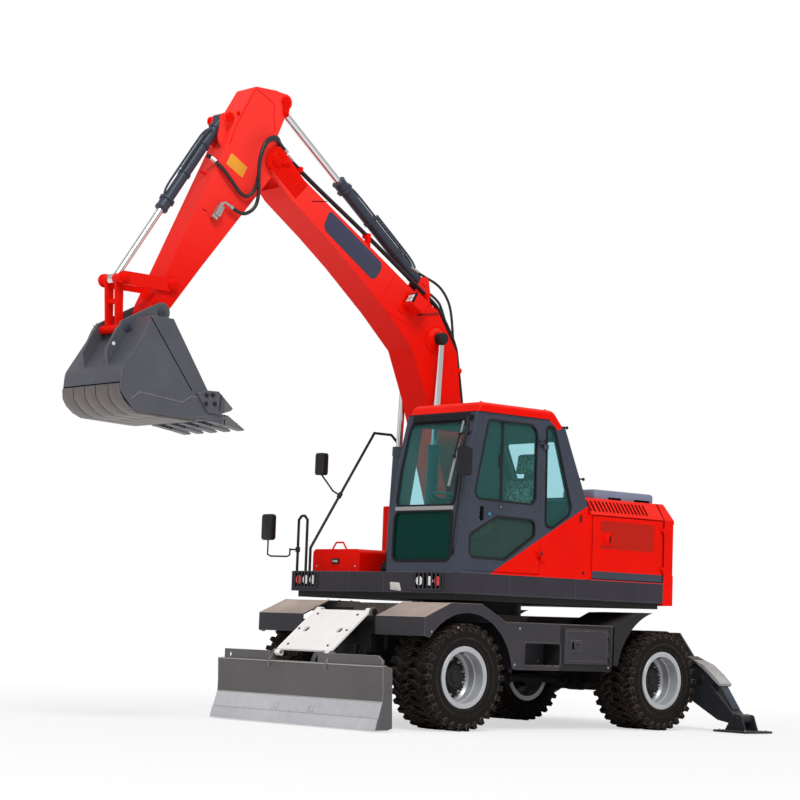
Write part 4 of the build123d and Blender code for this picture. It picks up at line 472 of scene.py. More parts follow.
RED_LENS = Finish("red_lens", (0.75, 0.03, 0.015), 0.15, coat=0.6, mottle=0.05)
PLATE_BLUE = Finish("blank_name_plate", (0.044, 0.046, 0.088), 0.34, shine=0.3, mottle=0.03)
PLATE_ORANGE = Finish("blank_orange_label", (0.9, 0.36, 0.02), 0.42, mottle=0.04, mottle_scale=20.0)
PLATE_PALE = Finish("blank_pale_label", (0.62, 0.6, 0.56), 0.4, mottle=0.12, mottle_scale=40.0)
AIR_BLUE = Finish("air_box_grey", (0.19, 0.21, 0.3), 0.36, shine=0.3, wear=0.4, dust=0.35,
                  dust_colour=(0.4, 0.4, 0.46))
BLUE_SPOT = Finish("blue_lock_cap", (0.02, 0.3, 0.6), 0.3, mottle=0.03)
RUBBER = Rubber("rubber_and_clay", (0.006, 0.0055, 0.0055), shine=0.12, dust_colour=(0.026, 0.021, 0.018),
                wear_colour=(0.17, 0.11, 0.08))
CLOTH = SeatCover("seat_cover_cloth", (0.035, 0.065, 0.05), dust_colour=(0.22, 0.27, 0.22),
                  wear_colour=(0.42, 0.46, 0.4))


# ---------------------------------------------------------------- outlines
def grown(corners: Sequence[Corner], by: float) -> list[Corner]:
    """Move a polygon's sides outwards, whichever way round it is listed.

    Args:
        corners: the polygon's corners, with an optional radius each.
        by: how far outwards, or inwards below zero.

    Returns:
        The moved corners, with their radii grown as well.
    """
    flat = [Vector(c[:2]) for c in corners]
    area = sum(p.x * q.y - q.x * p.y for p, q in zip(flat, flat[1:] + flat[:1]))
    sign = 1.0 if area > 0 else -1.0
    moved: list[Corner] = []
    for before, here, after, corner in zip(flat[-1:] + flat[:-1], flat, flat[1:] + flat[:1], corners):
        a, b = (here - before).normalized(), (after - here).normalized()
        na, nb = Vector((a.y, -a.x)) * sign, Vector((b.y, -b.x)) * sign
        spot = here + (na + nb) * (by / (1.0 + na.dot(nb)))
        radius = (max(corner[2] + by, 0.002),) if len(corner) == 3 else ()
        moved.append((spot.x, spot.y, *radius))
    return moved


def rounded(corners: Sequence[Corner], steps: int = 6) -> list[tuple[float, float]]:
    """Turn the corners that carry a radius into arcs.

    Args:
        corners: the outline's corners, with an optional radius each.
        steps: how many facets an arc has.

    Returns:
        The outline's points.
    """
    points = []
    for i, corner in enumerate(corners):
        here = Vector(corner[:2])
        if len(corner) < 3 or corner[2] <= 0.0:
            points.append(tuple(here))
            continue
        back, on = (Vector(corners[(i + k) % len(corners)][:2]) - here for k in (-1, 1))
        half = back.angle(on) / 2
        reach = min(corner[2] / math.tan(half), 0.49 * back.length, 0.49 * on.length)
        radius = reach * math.tan(half)
        middle = here + (back.normalized() + on.normalized()).normalized() * radius / math.sin(half)
        start, end = here + back.normalized() * reach - middle, here + on.normalized() * reach - middle
        sweep = start.angle_signed(end)
        for k in range(steps + 1):
            turn = -sweep * k / steps
            c, t = math.cos(turn), math.sin(turn)
            points.append((middle.x + c * start.x - t * start.y, middle.y + t * start.x + c * start.y))
    return points


def between(p: Sequence[float], q: Sequence[float], share: float) -> Vector:
    """The point at a share of the way from p to q."""
    return Vector(p).lerp(Vector(q), share)


def near(middle: float, half: float) -> tuple[float, float]:
    """The range about a middle."""
    return middle - half, middle + half


def rect(a0: float, a1: float, b0: float, b1: float, *radius: float) -> list[Corner]:
    """The corners of a rectangle from its two ranges, with one radius at all of them if it is given."""
    return [(a, b, *radius) for a, b in ((a0, b0), (a1, b0), (a1, b1), (a0, b1))]


def facing(normal: Vector) -> Vector:
    """The normal or its opposite, whichever faces up."""
    return -normal if normal.z < 0 else normal


def spun(spot: Sequence[float], degrees: float) -> Matrix:
    """A move to a spot, after a turn about Y."""
    return Matrix.Translation(Vector(spot)) @ Matrix.Rotation(math.radians(degrees), 4, "Y")


def basis(*axes: Vector) -> Matrix:
    """The turn that lays X, Y and Z along three axes."""
    return Matrix(axes).transposed().to_4x4()


def placed(name: str, data: bpy.types.ID, finishes: Sequence[Skin] = ()) -> bpy.types.Object:
    """A new object in the scene, with its finishes."""
    made = bpy.data.objects.new(name, data)
    bpy.context.scene.collection.objects.link(made)
    for finish in finishes:
        data.materials.append(finish.material())
    return made


class Form:
    """A mesh under construction, from parts that bmesh operators shape."""

    def __init__(self) -> None:
        """Start empty."""
        self.whole = bmesh.new()
        self.skin = 0

    def wear(self, skin: int) -> "Form":
        """Give the parts that follow another of the piece's finishes."""
        self.skin = skin
        return self

    def mesh(self, name: str = "part") -> bpy.types.Mesh:
        """The form as a mesh, after which the form is spent."""
        mesh = bpy.data.meshes.new(name)
        self.whole.to_mesh(mesh)
        self.whole.free()
        return mesh

    def take(self, mesh: bpy.types.Mesh, place: Matrix | None = None) -> "Form":
        """Take a mesh into the form and drop it."""
        if place:
            mesh.transform(place)
        self.whole.from_mesh(mesh)
        bpy.data.meshes.remove(mesh)
        return self

    def keep(self, part: bmesh.types.BMesh, place: Matrix | None = None) -> "Form":
        """Take a finished part into the form."""
        for face in part.faces:
            face.material_index = self.skin
        mesh = bpy.data.meshes.new("part")
        part.to_mesh(mesh)
        part.free()
        return self.take(mesh, place)

    @staticmethod
    def _soften(part: bmesh.types.BMesh, width: float) -> None:
        """Round a part's sharp edges."""
        if width > 0:
            sharp = [e for e in part.edges if len(e.link_faces) == 2 and e.calc_face_angle(0.0) > SHARP]
            bmesh.ops.bevel(part, geom=sharp, offset=width, segments=2, affect="EDGES", profile=0.5, material=-1,
                            clamp_overlap=True)

    def block(self, x: Sequence[float], y: Sequence[float], z: Sequence[float], soft: float = 0.0,
              place: Matrix | None = None) -> "Form":
        """Add a box from its ranges along the three axes.

        Args:
            x: its range along X.
            y: its range along Y.
            z: its range along Z.
            soft: the radius of its edges.
            place: a last move of the whole box.

        Returns:
            The form.
        """
        part = bmesh.new()
        bmesh.ops.create_cube(part, size=1.0)
        size = Vector([abs(r[1] - r[0]) for r in (x, y, z)])
        middle = Vector([(r[1] + r[0]) / 2 for r in (x, y, z)])
        bmesh.ops.transform(part, matrix=Matrix.Translation(middle) @ Matrix.Diagonal((*size, 1.0)), verts=part.verts)
        self._soften(part, soft)
        return self.keep(part, place)

    def bar(self, start: Sequence[float], end: Sequence[float], r: float, tip: float | None = None,
            sides: int = 24, soft: float = 0.0) -> "Form":
        """Add a round bar, or a cone with a tip radius, between two points."""
        part = bmesh.new()
        a, b = Vector(start), Vector(end)
        bmesh.ops.create_cone(part, cap_ends=True, segments=sides, radius1=r, radius2=r if tip is None else tip,
                              depth=(b - a).length)
        self._soften(part, soft)
        turn = (b - a).to_track_quat("Z", "Y").to_matrix().to_4x4()
        return self.keep(part, Matrix.Translation((a + b) / 2) @ turn)

    def stub(self, spot: Sequence[float], out: Sequence[float], r: float, tip: float | None = None,
             sides: int = 24, soft: float = 0.0) -> "Form":
        """Add a round bar from a spot, outwards by a step."""
        return self.bar(spot, Vector(spot) + Vector(out), r, tip, sides, soft)

    def seam(self, points: Sequence[Corner], y: float, r: float, ball: bool = False) -> "Form":
        """Add a bead on a face across Y, through points (x, z), with rounded joints if asked."""
        for (x0, z0), (x1, z1) in zip(points, points[1:]):
            self.bar((x0, y, z0), (x1, y, z1), r, sides=8)
            if ball:
                self.ball((x1, y, z1), r)
        return self

    def plate(self, corners: Sequence[Corner], way: Way, lo: float, hi: float, soft: float = 0.0,
              rim: float = 0.0, place: Matrix | None = None) -> "Form":
        """Add an outline drawn out along an axis.

        Args:
            corners: the outline's corners, with an optional radius each.
            way: the axis across the outline.
            lo: where the plate starts along that axis.
            hi: where it ends.
            soft: the radius of its edges.
            rim: the width of the band that is kept along the outline, or 0 for a full plate.
            place: a last move of the whole plate.

        Returns:
            The form.
        """
        part = bmesh.new()
        part.faces.new([part.verts.new(way.at(a, b, lo)) for a, b in rounded(corners)])
        if rim:
            part.normal_update()
            inner = bmesh.ops.inset_region(part, faces=part.faces[:], thickness=rim, use_even_offset=True,
                                           use_boundary=True)
            hole = [f for f in part.faces if f not in inner["faces"]]
            bmesh.ops.delete(part, geom=hole, context="FACES")
        grown_up = bmesh.ops.extrude_face_region(part, geom=part.faces[:])
        new = [g for g in grown_up["geom"] if isinstance(g, bmesh.types.BMVert)]
        bmesh.ops.translate(part, verts=new, vec=way.at(0.0, 0.0, hi - lo))
        bmesh.ops.recalc_face_normals(part, faces=part.faces)
        self._soften(part, soft)
        return self.keep(part, place)

    def turned(self, profile: Sequence[tuple[float, float]], centre: Sequence[float], way: Way, steps: int = 48,
               closed: bool = True) -> "Form":
        """Add a solid of revolution.

        Args:
            profile: points (along the axis, radius).
            centre: a point of the axis, at 0 along it.
            way: the axis.
            steps: how many facets it has round the axis.
            closed: whether the profile comes back to its start.

        Returns:
            The form.
        """
        part = bmesh.new()
        flip = way is Way.Z
        verts = [part.verts.new(way.at(r if flip else 0.0, 0.0 if flip else r, t)) for t, r in profile]
        links = list(zip(verts, verts[1:])) + ([(verts[-1], verts[0])] if closed else [])
        edges = [part.edges.new(link) for link in links]
        bmesh.ops.spin(part, geom=verts + edges, cent=(0, 0, 0), axis=way.at(0, 0, 1), angle=math.tau, steps=steps,
                       use_merge=True)
        bmesh.ops.remove_doubles(part, verts=part.verts, dist=1e-5)
        bmesh.ops.recalc_face_normals(part, faces=part.faces)
        return self.keep(part, Matrix.Translation(Vector(centre)))

    def ball(self, centre: Sequence[float], r: float, stretch: Point = (1.0, 1.0, 1.0)) -> "Form":
        """Add a ball, or an ellipsoid."""
        part = bmesh.new()
        bmesh.ops.create_uvsphere(part, u_segments=20, v_segments=12, radius=r)
        return self.keep(part, Matrix.Translation(Vector(centre)) @ Matrix.Diagonal((*stretch, 1.0)))

    def hose(self, points: Sequence[Sequence[float]], r: float, straight: bool = False, sides: int = 3) -> "Form":
        """Add a round hose along control points, or a bent pipe through them.

        Args:
            points: the line's control points.
            r: the radius.
            straight: whether the runs between the points stay straight.
            sides: the curve's bevel resolution.

        Returns:
            The form.
        """
        data = bpy.data.curves.new("line", "CURVE")
        data.dimensions = "3D"
        data.bevel_depth = r
        data.bevel_resolution = sides
        data.use_fill_caps = True
        data.resolution_u = 12
        spline = data.splines.new("POLY" if straight else "NURBS")
        spline.points.add(len(points) - 1)
        for target, p in zip(spline.points, points):
            target.co = (*p, 1.0)
        if not straight:
            spline.order_u = 3
            spline.use_endpoint_u = True
        holder = bpy.data.objects.new("line", data)
        mesh = bpy.data.meshes.new_from_object(holder)
        bpy.data.objects.remove(holder)
        bpy.data.curves.remove(data)
        for polygon in mesh.polygons:
            polygon.material_index = self.skin
        return self.take(mesh)

    def bolt(self, spot: Sequence[float], out: Sequence[float], r: float, tall: float | None = None) -> "Form":
        """Add a hexagon bolt head on its washer, standing out along a direction."""
        base, way = Vector(spot), Vector(out).normalized()
        tall = tall or r * 0.7
        self.bar(base - way * r * 0.2, base + way * r * 0.2, r * 1.35, sides=14)
        return self.bar(base, base + way * (r * 0.2 + tall), r, r * 0.92, sides=6)

    def bolts(self, spots: Iterable[Sequence[float]], out: Sequence[float], r: float,
              tall: float | None = None) -> "Form":
        """Add alike bolts at several spots."""
        for spot in spots:
            self.bolt(spot, out, r, tall)
        return self

    def pinned(self, spot: Sequence[float], side: float, r: float) -> "Form":
        """Add a pin's end across the machine: a collar, the pin's face and a nipple."""
        for step, radius, sides, soft in ((0.01, 1.45, 32, 0.003), (0.018, 1.0, 28, 0.003), (0.026, 0.16, 8, 0.0)):
            self.stub(spot, (0.0, side * step, 0.0), r * radius, sides=sides, soft=soft)
        return self

    def round_array(self, centre: Sequence[float], way: Way, count: int) -> "Form":
        """Repeat all parts so far round an axis."""
        bmesh.ops.spin(self.whole, geom=self.all(), cent=Vector(centre), axis=way.at(0, 0, 1),
                       angle=math.tau * (count - 1) / count, steps=count - 1, use_duplicate=True)
        return self

    def all(self) -> list[bmesh.types.BMVert | bmesh.types.BMEdge | bmesh.types.BMFace]:
        """All of the form's geometry so far."""
        return [*self.whole.verts, *self.whole.edges, *self.whole.faces]

    def _flip(self, geom: Iterable[object], middle: float = 0.0) -> "Form":
        """Mirror some of the geometry about a plane along the machine."""
        verts = [g for g in geom if isinstance(g, bmesh.types.BMVert)]
        faces = [g for g in geom if isinstance(g, bmesh.types.BMFace)]
        mirror = Matrix.Translation((0, 2 * middle, 0)) @ Matrix.Diagonal((1, -1, 1, 1))
        bmesh.ops.transform(self.whole, matrix=mirror, verts=verts)
        bmesh.ops.reverse_faces(self.whole, faces=faces)
        return self

    def both_sides(self, middle: float = 0.0) -> "Form":
        """Repeat all parts so far on the machine's other side."""
        return self._flip(bmesh.ops.duplicate(self.whole, geom=self.whole.faces[:])["geom"], middle)

    def on(self, side: str) -> "Form":
        """Move all parts so far, which are drawn on the left, to a side."""
        return self if side == "left" else self._flip(self.all())

    def shown(self, name: str, finishes: Sequence[Skin], smooth: float = 0.6) -> bpy.types.Object:
        """Make the form an object with its finishes; smooth is the widest angle that is shaded as one."""
        mesh = self.mesh(name)
        made = placed(name, mesh, finishes)
        mesh.shade_smooth()
        mesh.set_sharp_from_angle(angle=smooth)
        log.info("%s: %d faces", name, len(mesh.polygons))
        return made

    def piece(self, name: str, body: str, finishes: Sequence[Skin], slot: Slot,
              smooth: float = 0.6) -> bpy.types.Object:
        """Finish the mesh as a piece of the machine.

        Args:
            name: the piece's name.
            body: the body that carries it.
            finishes: its finishes, in the order that its parts were given them.
            slot: the record's material slot; not used.
            smooth: the greatest angle between faces that are shaded as one, in radians.

        Returns:
            The object.
        """
        made = self.shown(name, finishes, smooth)
        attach(made, body)
        return made


def dress(finish: Skin, *nodes: str) -> None:
    """Give CAD nodes a finish."""
    for name in nodes:
        mesh = frame["nodes"][name].data
        mesh.materials.clear()
        mesh.materials.append(finish.material())


def pivot(joint: str) -> Vector:
    """The point that a joint turns about."""
    return Vector(next(j for j in frame["joints"] if j["name"] == joint)["pos_m"])


def middle(node: str) -> Vector:
    """The middle of a CAD node's box."""
    lo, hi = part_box(node)
    return (lo + hi) / 2


# ---------------------------------------------------------------- wheels
@dataclass
class Wheel:
    """One pair of twin tyres on its deep rims."""

    end: str
    side: str
    tyre_r: float = 0.51
    tyre_half: float = 0.125
    carcass_r: float = 0.482
    bead_r: float = 0.2545
    flange_r: float = 0.295
    disc_r: float = 0.212
    lugs: int = 30
    nuts: int = 10
    cap_bolts: int = 8
    teeth: int = 36

    def __post_init__(self) -> None:
        """Take the wheel's place from the frame."""
        lo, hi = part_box(f"tyres_{self.end}_{self.side}")
        self.centre = (lo + hi) / 2
        self.outer_y = max(abs(lo.y), abs(hi.y)) - self.tyre_half
        self.inner_y = min(abs(lo.y), abs(hi.y)) + self.tyre_half
        self.body = f"{self.end}_{self.side}_wheel"

    def hub(self, y: float, up: float = 0.0) -> Vector:
        """A point of the wheel's axis on the left side, or above it."""
        return Vector((self.centre.x, y, self.centre.z + up))

    def carcass(self, form: Form, y: float) -> None:
        """Add one tyre's casing: crown, shoulders, ribbed walls and beads."""
        half, wall = self.tyre_half, 0.024
        wall_steps = ((-0.033, 0.002), (-0.02, 0.014), (-0.012, 0.02), (-0.006, 0.04), (-0.003, 0.062),
                      (-0.0005, 0.066), (-0.0005, 0.076), (-0.003, 0.08))
        side = [(half - 0.033, self.bead_r), *((half + t, self.flange_r + r) for t, r in wall_steps),
                (half - 0.002, self.tyre_r - 0.11), (half - 0.006, self.tyre_r - 0.07),
                (half - 0.022, self.carcass_r - 0.008), (half - 0.05, self.carcass_r)]
        inside = [(half - wall - 0.033, self.bead_r), (half - wall, self.bead_r + 0.08),
                  (half - wall, self.tyre_r - 0.085), (half - wall - 0.03, self.tyre_r - 0.055)]
        outer = [*side, *((-t, r) for t, r in reversed(side))]
        inner = [*((-t, r) for t, r in inside), *reversed(inside)]
        form.turned([*outer, *inner], self.hub(y), Way.Y, 90)

    def lug(self, form: Form, y: float, row: float) -> None:
        """Add one tread lug of a row: a bent bar across the crown and its block on the shoulder."""
        half = self.tyre_half
        bar = [(-0.023, -half + 0.004), (0.023, -half + 0.004), (0.03, -0.07), (0.064, -0.022), (0.054, 0.014),
               (0.024, 0.016), (0.012, -0.014), (-0.016, -0.054)]
        shift = math.pi * self.tyre_r / self.lugs if row > 0 else 0.0
        part = Form()
        part.plate([(s + shift, -t * row) for s, t in bar], Way.Z, self.carcass_r - 0.012, self.tyre_r - 0.0005,
                   soft=0.004)
        shoulder = [(half - 0.034, self.tyre_r - 0.004), (half - 0.01, self.tyre_r - 0.007),
                    (half, self.tyre_r - 0.03), (half, self.tyre_r - 0.062), (half - 0.01, self.tyre_r - 0.07),
                    (half - 0.034, self.tyre_r - 0.05)]
        part.plate([(t * row, r) for t, r in shoulder], Way.X, *near(shift, 0.022), soft=0.004)
        for vert in part.whole.verts:
            turn = vert.co.x / self.tyre_r
            vert.co = (vert.co.z * math.sin(turn), vert.co.y, vert.co.z * math.cos(turn))
        form.take(part.mesh(), Matrix.Translation(self.hub(y)))

    def tyres(self) -> None:
        """Build both tyres and stand them for the plain solids."""
        form = Form()
        for y in (self.outer_y, self.inner_y):
            for row in (1.0, -1.0):
                self.lug(form, y, row)
        form.round_array(self.hub(0.0), Way.Y, self.lugs)
        for y in (self.outer_y, self.inner_y):
            self.carcass(form, y)
        made = form.on(self.side).piece(f"tyres_{self.end}_{self.side}_treaded", self.body, [RUBBER], Slot.RUBBER,
                                        smooth=0.5)
        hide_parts(f"tyres_{self.end}_{self.side}")

    def fittings(self) -> None:
        """Build the serrated clamp ring, its nuts, the hub's bolts, the lock ring and the valve."""
        axis, mid_y = self.hub(0.0), (self.outer_y + self.inner_y) / 2
        disc_y, nose = mid_y + 0.016, mid_y + 0.115
        form = Form().wear(1)
        form.plate([(0.186, -0.011), (0.204, -0.006), (0.204, 0.006), (0.186, 0.011)], Way.Y, disc_y, disc_y + 0.026)
        bmesh.ops.translate(form.whole, verts=form.whole.verts, vec=axis)
        form.round_array(axis, Way.Y, self.teeth)
        nut = Form().bolt(self.hub(disc_y + 0.022, 0.168), LEFT, 0.013, 0.02)
        nut.bar(self.hub(disc_y + 0.04, 0.168), self.hub(disc_y + 0.056, 0.168), 0.006)
        cap = Form().wear(1).bolt(self.hub(nose, 0.082), LEFT, 0.008, 0.008)
        for part, count in ((nut, self.nuts), (cap, self.cap_bolts)):
            form.take(part.round_array(axis, Way.Y, count).mesh())
        form.turned([(disc_y, 0.12), (disc_y, 0.19), (disc_y + 0.02, 0.19), (disc_y + 0.026, 0.18),
                     (disc_y + 0.026, 0.125), (disc_y + 0.016, 0.119)], axis, Way.Y, 60)
        form.turned([(nose - 0.004, 0.0), (nose - 0.004, 0.062), (nose + 0.01, 0.056), (nose + 0.016, 0.03),
                     (nose + 0.016, 0.0)], axis, Way.Y, 40, closed=False)
        edge = max(abs(corner.y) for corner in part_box(f"rims_{self.end}_{self.side}"))
        form.wear(0).turned([(edge - 0.006, 0.262), (edge + 0.003, 0.266), (edge + 0.003, 0.287),
                             (edge - 0.004, 0.294), (edge - 0.012, 0.294), (edge - 0.012, 0.262)], axis, Way.Y, 72)
        form.turned([(edge - 0.13, 0.246), (edge - 0.126, 0.235), (edge - 0.112, 0.235), (edge - 0.108, 0.246)],
                    axis, Way.Y, 72)
        form.wear(1).stub(self.hub(edge - 0.075, 0.236), (0.0, 0.06, -0.012), 0.005, sides=10)
        form.on(self.side).piece(f"wheel_fittings_{self.end}_{self.side}", self.body, [SILVER, DARK_STEEL], Slot.RIM)

    def hub_mask(self, graph: Graph) -> Sock:
        """1 on the dark hub, inside the disc."""
        x = graph.axis("X") - self.centre.x
        z = graph.axis("Z") - self.centre.z
        return (x * x + z * z) < self.disc_r ** 2 * 0.8

    def build(self) -> None:
        """Dress the rims and build the tyres and fittings."""
        self.tyres()
        self.fittings()
        dress(Divided(f"rim_and_hub_{self.end}", SILVER, DARK_STEEL, self.hub_mask), f"rims_{self.end}_{self.side}")


# ---------------------------------------------------------------- undercarriage
@dataclass
class Undercarriage:
    """The chassis with its axles, fenders and side boxes."""

    chassis_half: float = 0.36
    chassis_bottom: float = 0.72
    chassis_top: float = 1.02
    ring_r: float = 0.62
    ring_top: float = 1.12
    fender_top: float = 1.208
    box_top: float = 1.047
    lip: float = 0.006
    line_r: float = 0.009
    shaft_z: float = 0.48
    step_x: tuple[float, float] = (-0.106, 0.39)
    step_z: tuple[float, float] = (0.632, 0.855)
    bin_x: tuple[float, float] = (-0.764, -0.175)
    bin_z: tuple[float, float] = (0.677, 0.993)

    def fender_trim(self) -> None:
        """Lips, seams and bolts of the fenders, the step's tread, and a near-black plate as painted shade at the back
        of the step's well.
        """
        form = Form()
        rim_y, low = BODY_HALF - 0.004, self.box_top - 0.004
        high = self.fender_top - 0.004
        form.seam([(1.373, high), (0.972, high), (0.642, low), (-0.86, low)], rim_y, self.lip)
        form.seam([(1.708, 1.06), (1.373, high)], rim_y, self.lip)
        form.bar((1.704, 0.56, 1.061), (1.704, BODY_HALF - self.lip, 1.061), self.lip, sides=8)
        x0, x1 = self.step_x
        z0, z1 = self.step_z
        well = rect(x0, x1, z0, z1, 0.026)
        form.plate(grown(well, 0.01), Way.Y, BODY_HALF - LAP, BODY_HALF + 0.004, soft=0.0015, rim=0.014)
        for i in range(9):
            x = x0 + 0.055 + i * (x1 - x0 - 0.11) / 8
            form.plate(rect(*near(x, 0.006), -0.008, 0.0), Way.Y, BODY_HALF - 0.205, BODY_HALF - 0.015,
                       place=Matrix.Translation((0, 0, z0 + 0.009)))
        form.plate(rect(-0.846, -0.838, 0.64, 1.04), Way.Y, BODY_HALF - LAP, BODY_HALF + 0.003, soft=0.001)
        form.wear(1).bolts([(x, BODY_HALF - 0.229, z0 + 0.048) for x in (x0 + 0.075, x1 - 0.095)], LEFT, 0.01)
        spots = ((1.62, 0.93), (1.28, 0.98), (0.52, 0.64), (-0.8, 0.63), (0.46, 0.99))
        form.bolts([(x, BODY_HALF, z) for x, z in spots], LEFT, 0.008)
        form.bolts([(x, 0.62, self.fender_top) for x in (1.02, 1.18, 1.33)], UP, 0.01)
        # A near-black plate at the back of the step's well: painted shade.
        form.wear(2)
        back = BODY_HALF - 0.236
        form.plate(rect(x0 + 0.004, x1 - 0.004, z0 + 0.014, z1 - 0.004), Way.Y, back, back + 0.003)
        form.both_sides()
        form.piece("fender_trim", "undercarriage", [FRAME_GREY, ZINC, VOID], Slot.FRAME)

    def bin_latch(self, side: str) -> None:
        """A recessed paddle latch and pressed border on a bin's door, with near black in the lock's hole and beside the
        paddle as painted shade.
        """
        form = Form()
        y = BODY_HALF + 0.0123
        x0, x1 = self.bin_x
        z0, z1 = self.bin_z
        form.plate(rect(x0 + 0.006, x1 - 0.006, z0 + 0.006, z1 - 0.006, 0.02), Way.Y, y - LAP, y + 0.003,
                   soft=0.001, rim=0.01)
        form.plate(rect(-0.372, -0.236, 0.78, 0.892, 0.008), Way.Y, y + 0.003, y + 0.011, soft=0.002, rim=0.014)
        form.plate(rect(-0.352, -0.29, 0.8, 0.872, 0.006), Way.Y, y + 0.003, y + 0.01, soft=0.002)
        # Near black in the lock's hole and beside the paddle: painted shade.
        form.wear(1).stub((-0.322, y + 0.008, 0.852), (0, 0.005, 0), 0.01, sides=16)
        form.plate(rect(-0.284, -0.252, 0.802, 0.87), Way.Y, y + 0.003, y + 0.005)
        form.on(side).piece(f"bin_latch_{side}", f"bin_door_{side}", [FRAME_GREY, VOID], Slot.FRAME)

    def ring_bolts(self) -> None:
        """The slewing ring's bolts and its seal."""
        form = Form()
        form.bolt((self.ring_r - 0.022, 0.0, self.ring_top - 0.022), UP, 0.012)
        form.round_array((0, 0, 0), Way.Z, 40)
        form.turned([(self.ring_top - 0.03, self.ring_r - 0.004), (self.ring_top - 0.03, self.ring_r + 0.006),
                     (self.ring_top - 0.06, self.ring_r + 0.006), (self.ring_top - 0.06, self.ring_r - 0.004)],
                    (0, 0, 0), Way.Z, 90)
        form.piece("slewing_ring_bolts", "undercarriage", [WEATHERED], Slot.WEATHERED)

    def running_gear(self) -> None:
        """Bolts, drain plugs, kingpin caps, brake lines and shaft joints of the axles."""
        form = Form()
        for node in ("front_axle", "rear_axle"):
            spot = middle(node)
            for i in range(12):
                turn = math.tau * i / 12
                off = Vector((math.cos(turn), 0.0, math.sin(turn)))
                for side in SIDES:
                    form.bolt(spot + off * 0.118 + Vector((0, side * 0.12, 0)), (0, side, 0), 0.009)
            form.bolt(spot + Vector((0, 0, -0.146)), (0, 0, -1), 0.018)
            for side in SIDES:
                for x in (-0.05, 0.05):
                    form.bolt((spot.x + x, side * 0.3, spot.z + 0.075), UP, 0.012, 0.05)
        for x in (0.34, 0.92, -0.62, -1.44):
            form.stub((x - 0.022, 0, self.shaft_z), (0.044, 0, 0), 0.06, sides=24, soft=0.004)
            joint = Vector((x, 0, self.shaft_z))
            for arm in (LEFT * 0.064, UP * 0.064):
                form.bar(joint - arm, joint + arm, 0.016, sides=12)
        kingpin, top = pivot("steer_left"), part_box("front_axle")[1].z
        for side in SIDES:
            form.stub((kingpin.x, side * kingpin.y, top - 0.004), (0, 0, 0.014), 0.048, soft=0.003)
        form.wear(1)
        for side in SIDES:
            form.hose([(1.3, side * 0.2, 0.7), (1.34, side * 0.3, 0.64), (1.26, side * 0.46, 0.6),
                       (1.21, side * 0.58, 0.56)], self.line_r)
            form.hose([(-1.52, side * 0.16, 0.7), (-1.5, side * 0.3, 0.62), (-1.58, side * 0.5, 0.59),
                       (-1.62, side * 0.66, 0.6)], self.line_r)
        form.piece("axle_fittings", "undercarriage", [DARK_STEEL, HOSE], Slot.FRAME)

    def chassis_details(self) -> None:
        """Stiffeners, hydraulic lines and their clamps along the chassis, and the cover of its front end."""
        form = Form()
        half = self.chassis_half
        for x in (-1.9, -1.1, -0.6, 0.42, 0.72, 1.42):
            form.plate([(half, self.chassis_bottom + 0.02), (half + 0.045, self.chassis_bottom + 0.05),
                        (half + 0.045, self.chassis_top - 0.05), (half, self.chassis_top - 0.02)], Way.X, x - 0.007,
                       x + 0.007, soft=0.002)
        form.plate(rect(-0.68, 0.46, 0.7, 0.712), Way.Y, half + 0.01, half + 0.09)
        form.wear(1)
        for i, y in enumerate((half + 0.02, half + 0.05, half + 0.08)):
            form.hose([(-2.2, y, 0.86), (-1.3, y, 0.86), (-0.9, y, 0.9), (-0.3, y - 0.02, 0.93), (0.2, y - 0.02, 0.93),
                       (0.7, y, 0.86 + 0.01 * i), (1.45, y, 0.86 + 0.01 * i)], self.line_r)
        for x in (-1.7, -1.2, 0.6, 1.2):
            form.wear(2).block(near(x, 0.02), (half, half + 0.1), (0.842, 0.884), 0.004)
        form.both_sides().wear(0)
        form.plate([(1.6, 0.62, 0.02), (1.6, 0.78), (1.62, 0.78), (1.62, 0.62, 0.02)], Way.Y, -0.16, 0.16, soft=0.003)
        form.piece("chassis_lines", "undercarriage", [FRAME_GREY, HOSE, BLACK], Slot.FRAME)

    def build(self) -> None:
        """Dress the solids and build the fittings."""
        # The rear fender, behind x = -0.1, takes a darker grey: painted shadow of the house.
        dress(Divided("fender_paint", FRAME_GREY, FENDER_SHADE, lambda g: g.axis("X") < -0.1), "fenders")
        dress(FRAME_GREY, "bin_door_left", "bin_door_right")
        dress(Divided("chassis_and_ring", DARK_STEEL, WEATHERED, lambda g: g.axis("Z") > self.chassis_top + 0.045),
              "chassis_frame")
        dress(DARK_STEEL, "front_axle", "rear_axle", "driveline", "steering_knuckle_left", "steering_knuckle_right",
              "tie_rod")
        self.fender_trim()
        for side in HANDS:
            self.bin_latch(side)
        self.ring_bolts()
        self.running_gear()
        self.chassis_details()


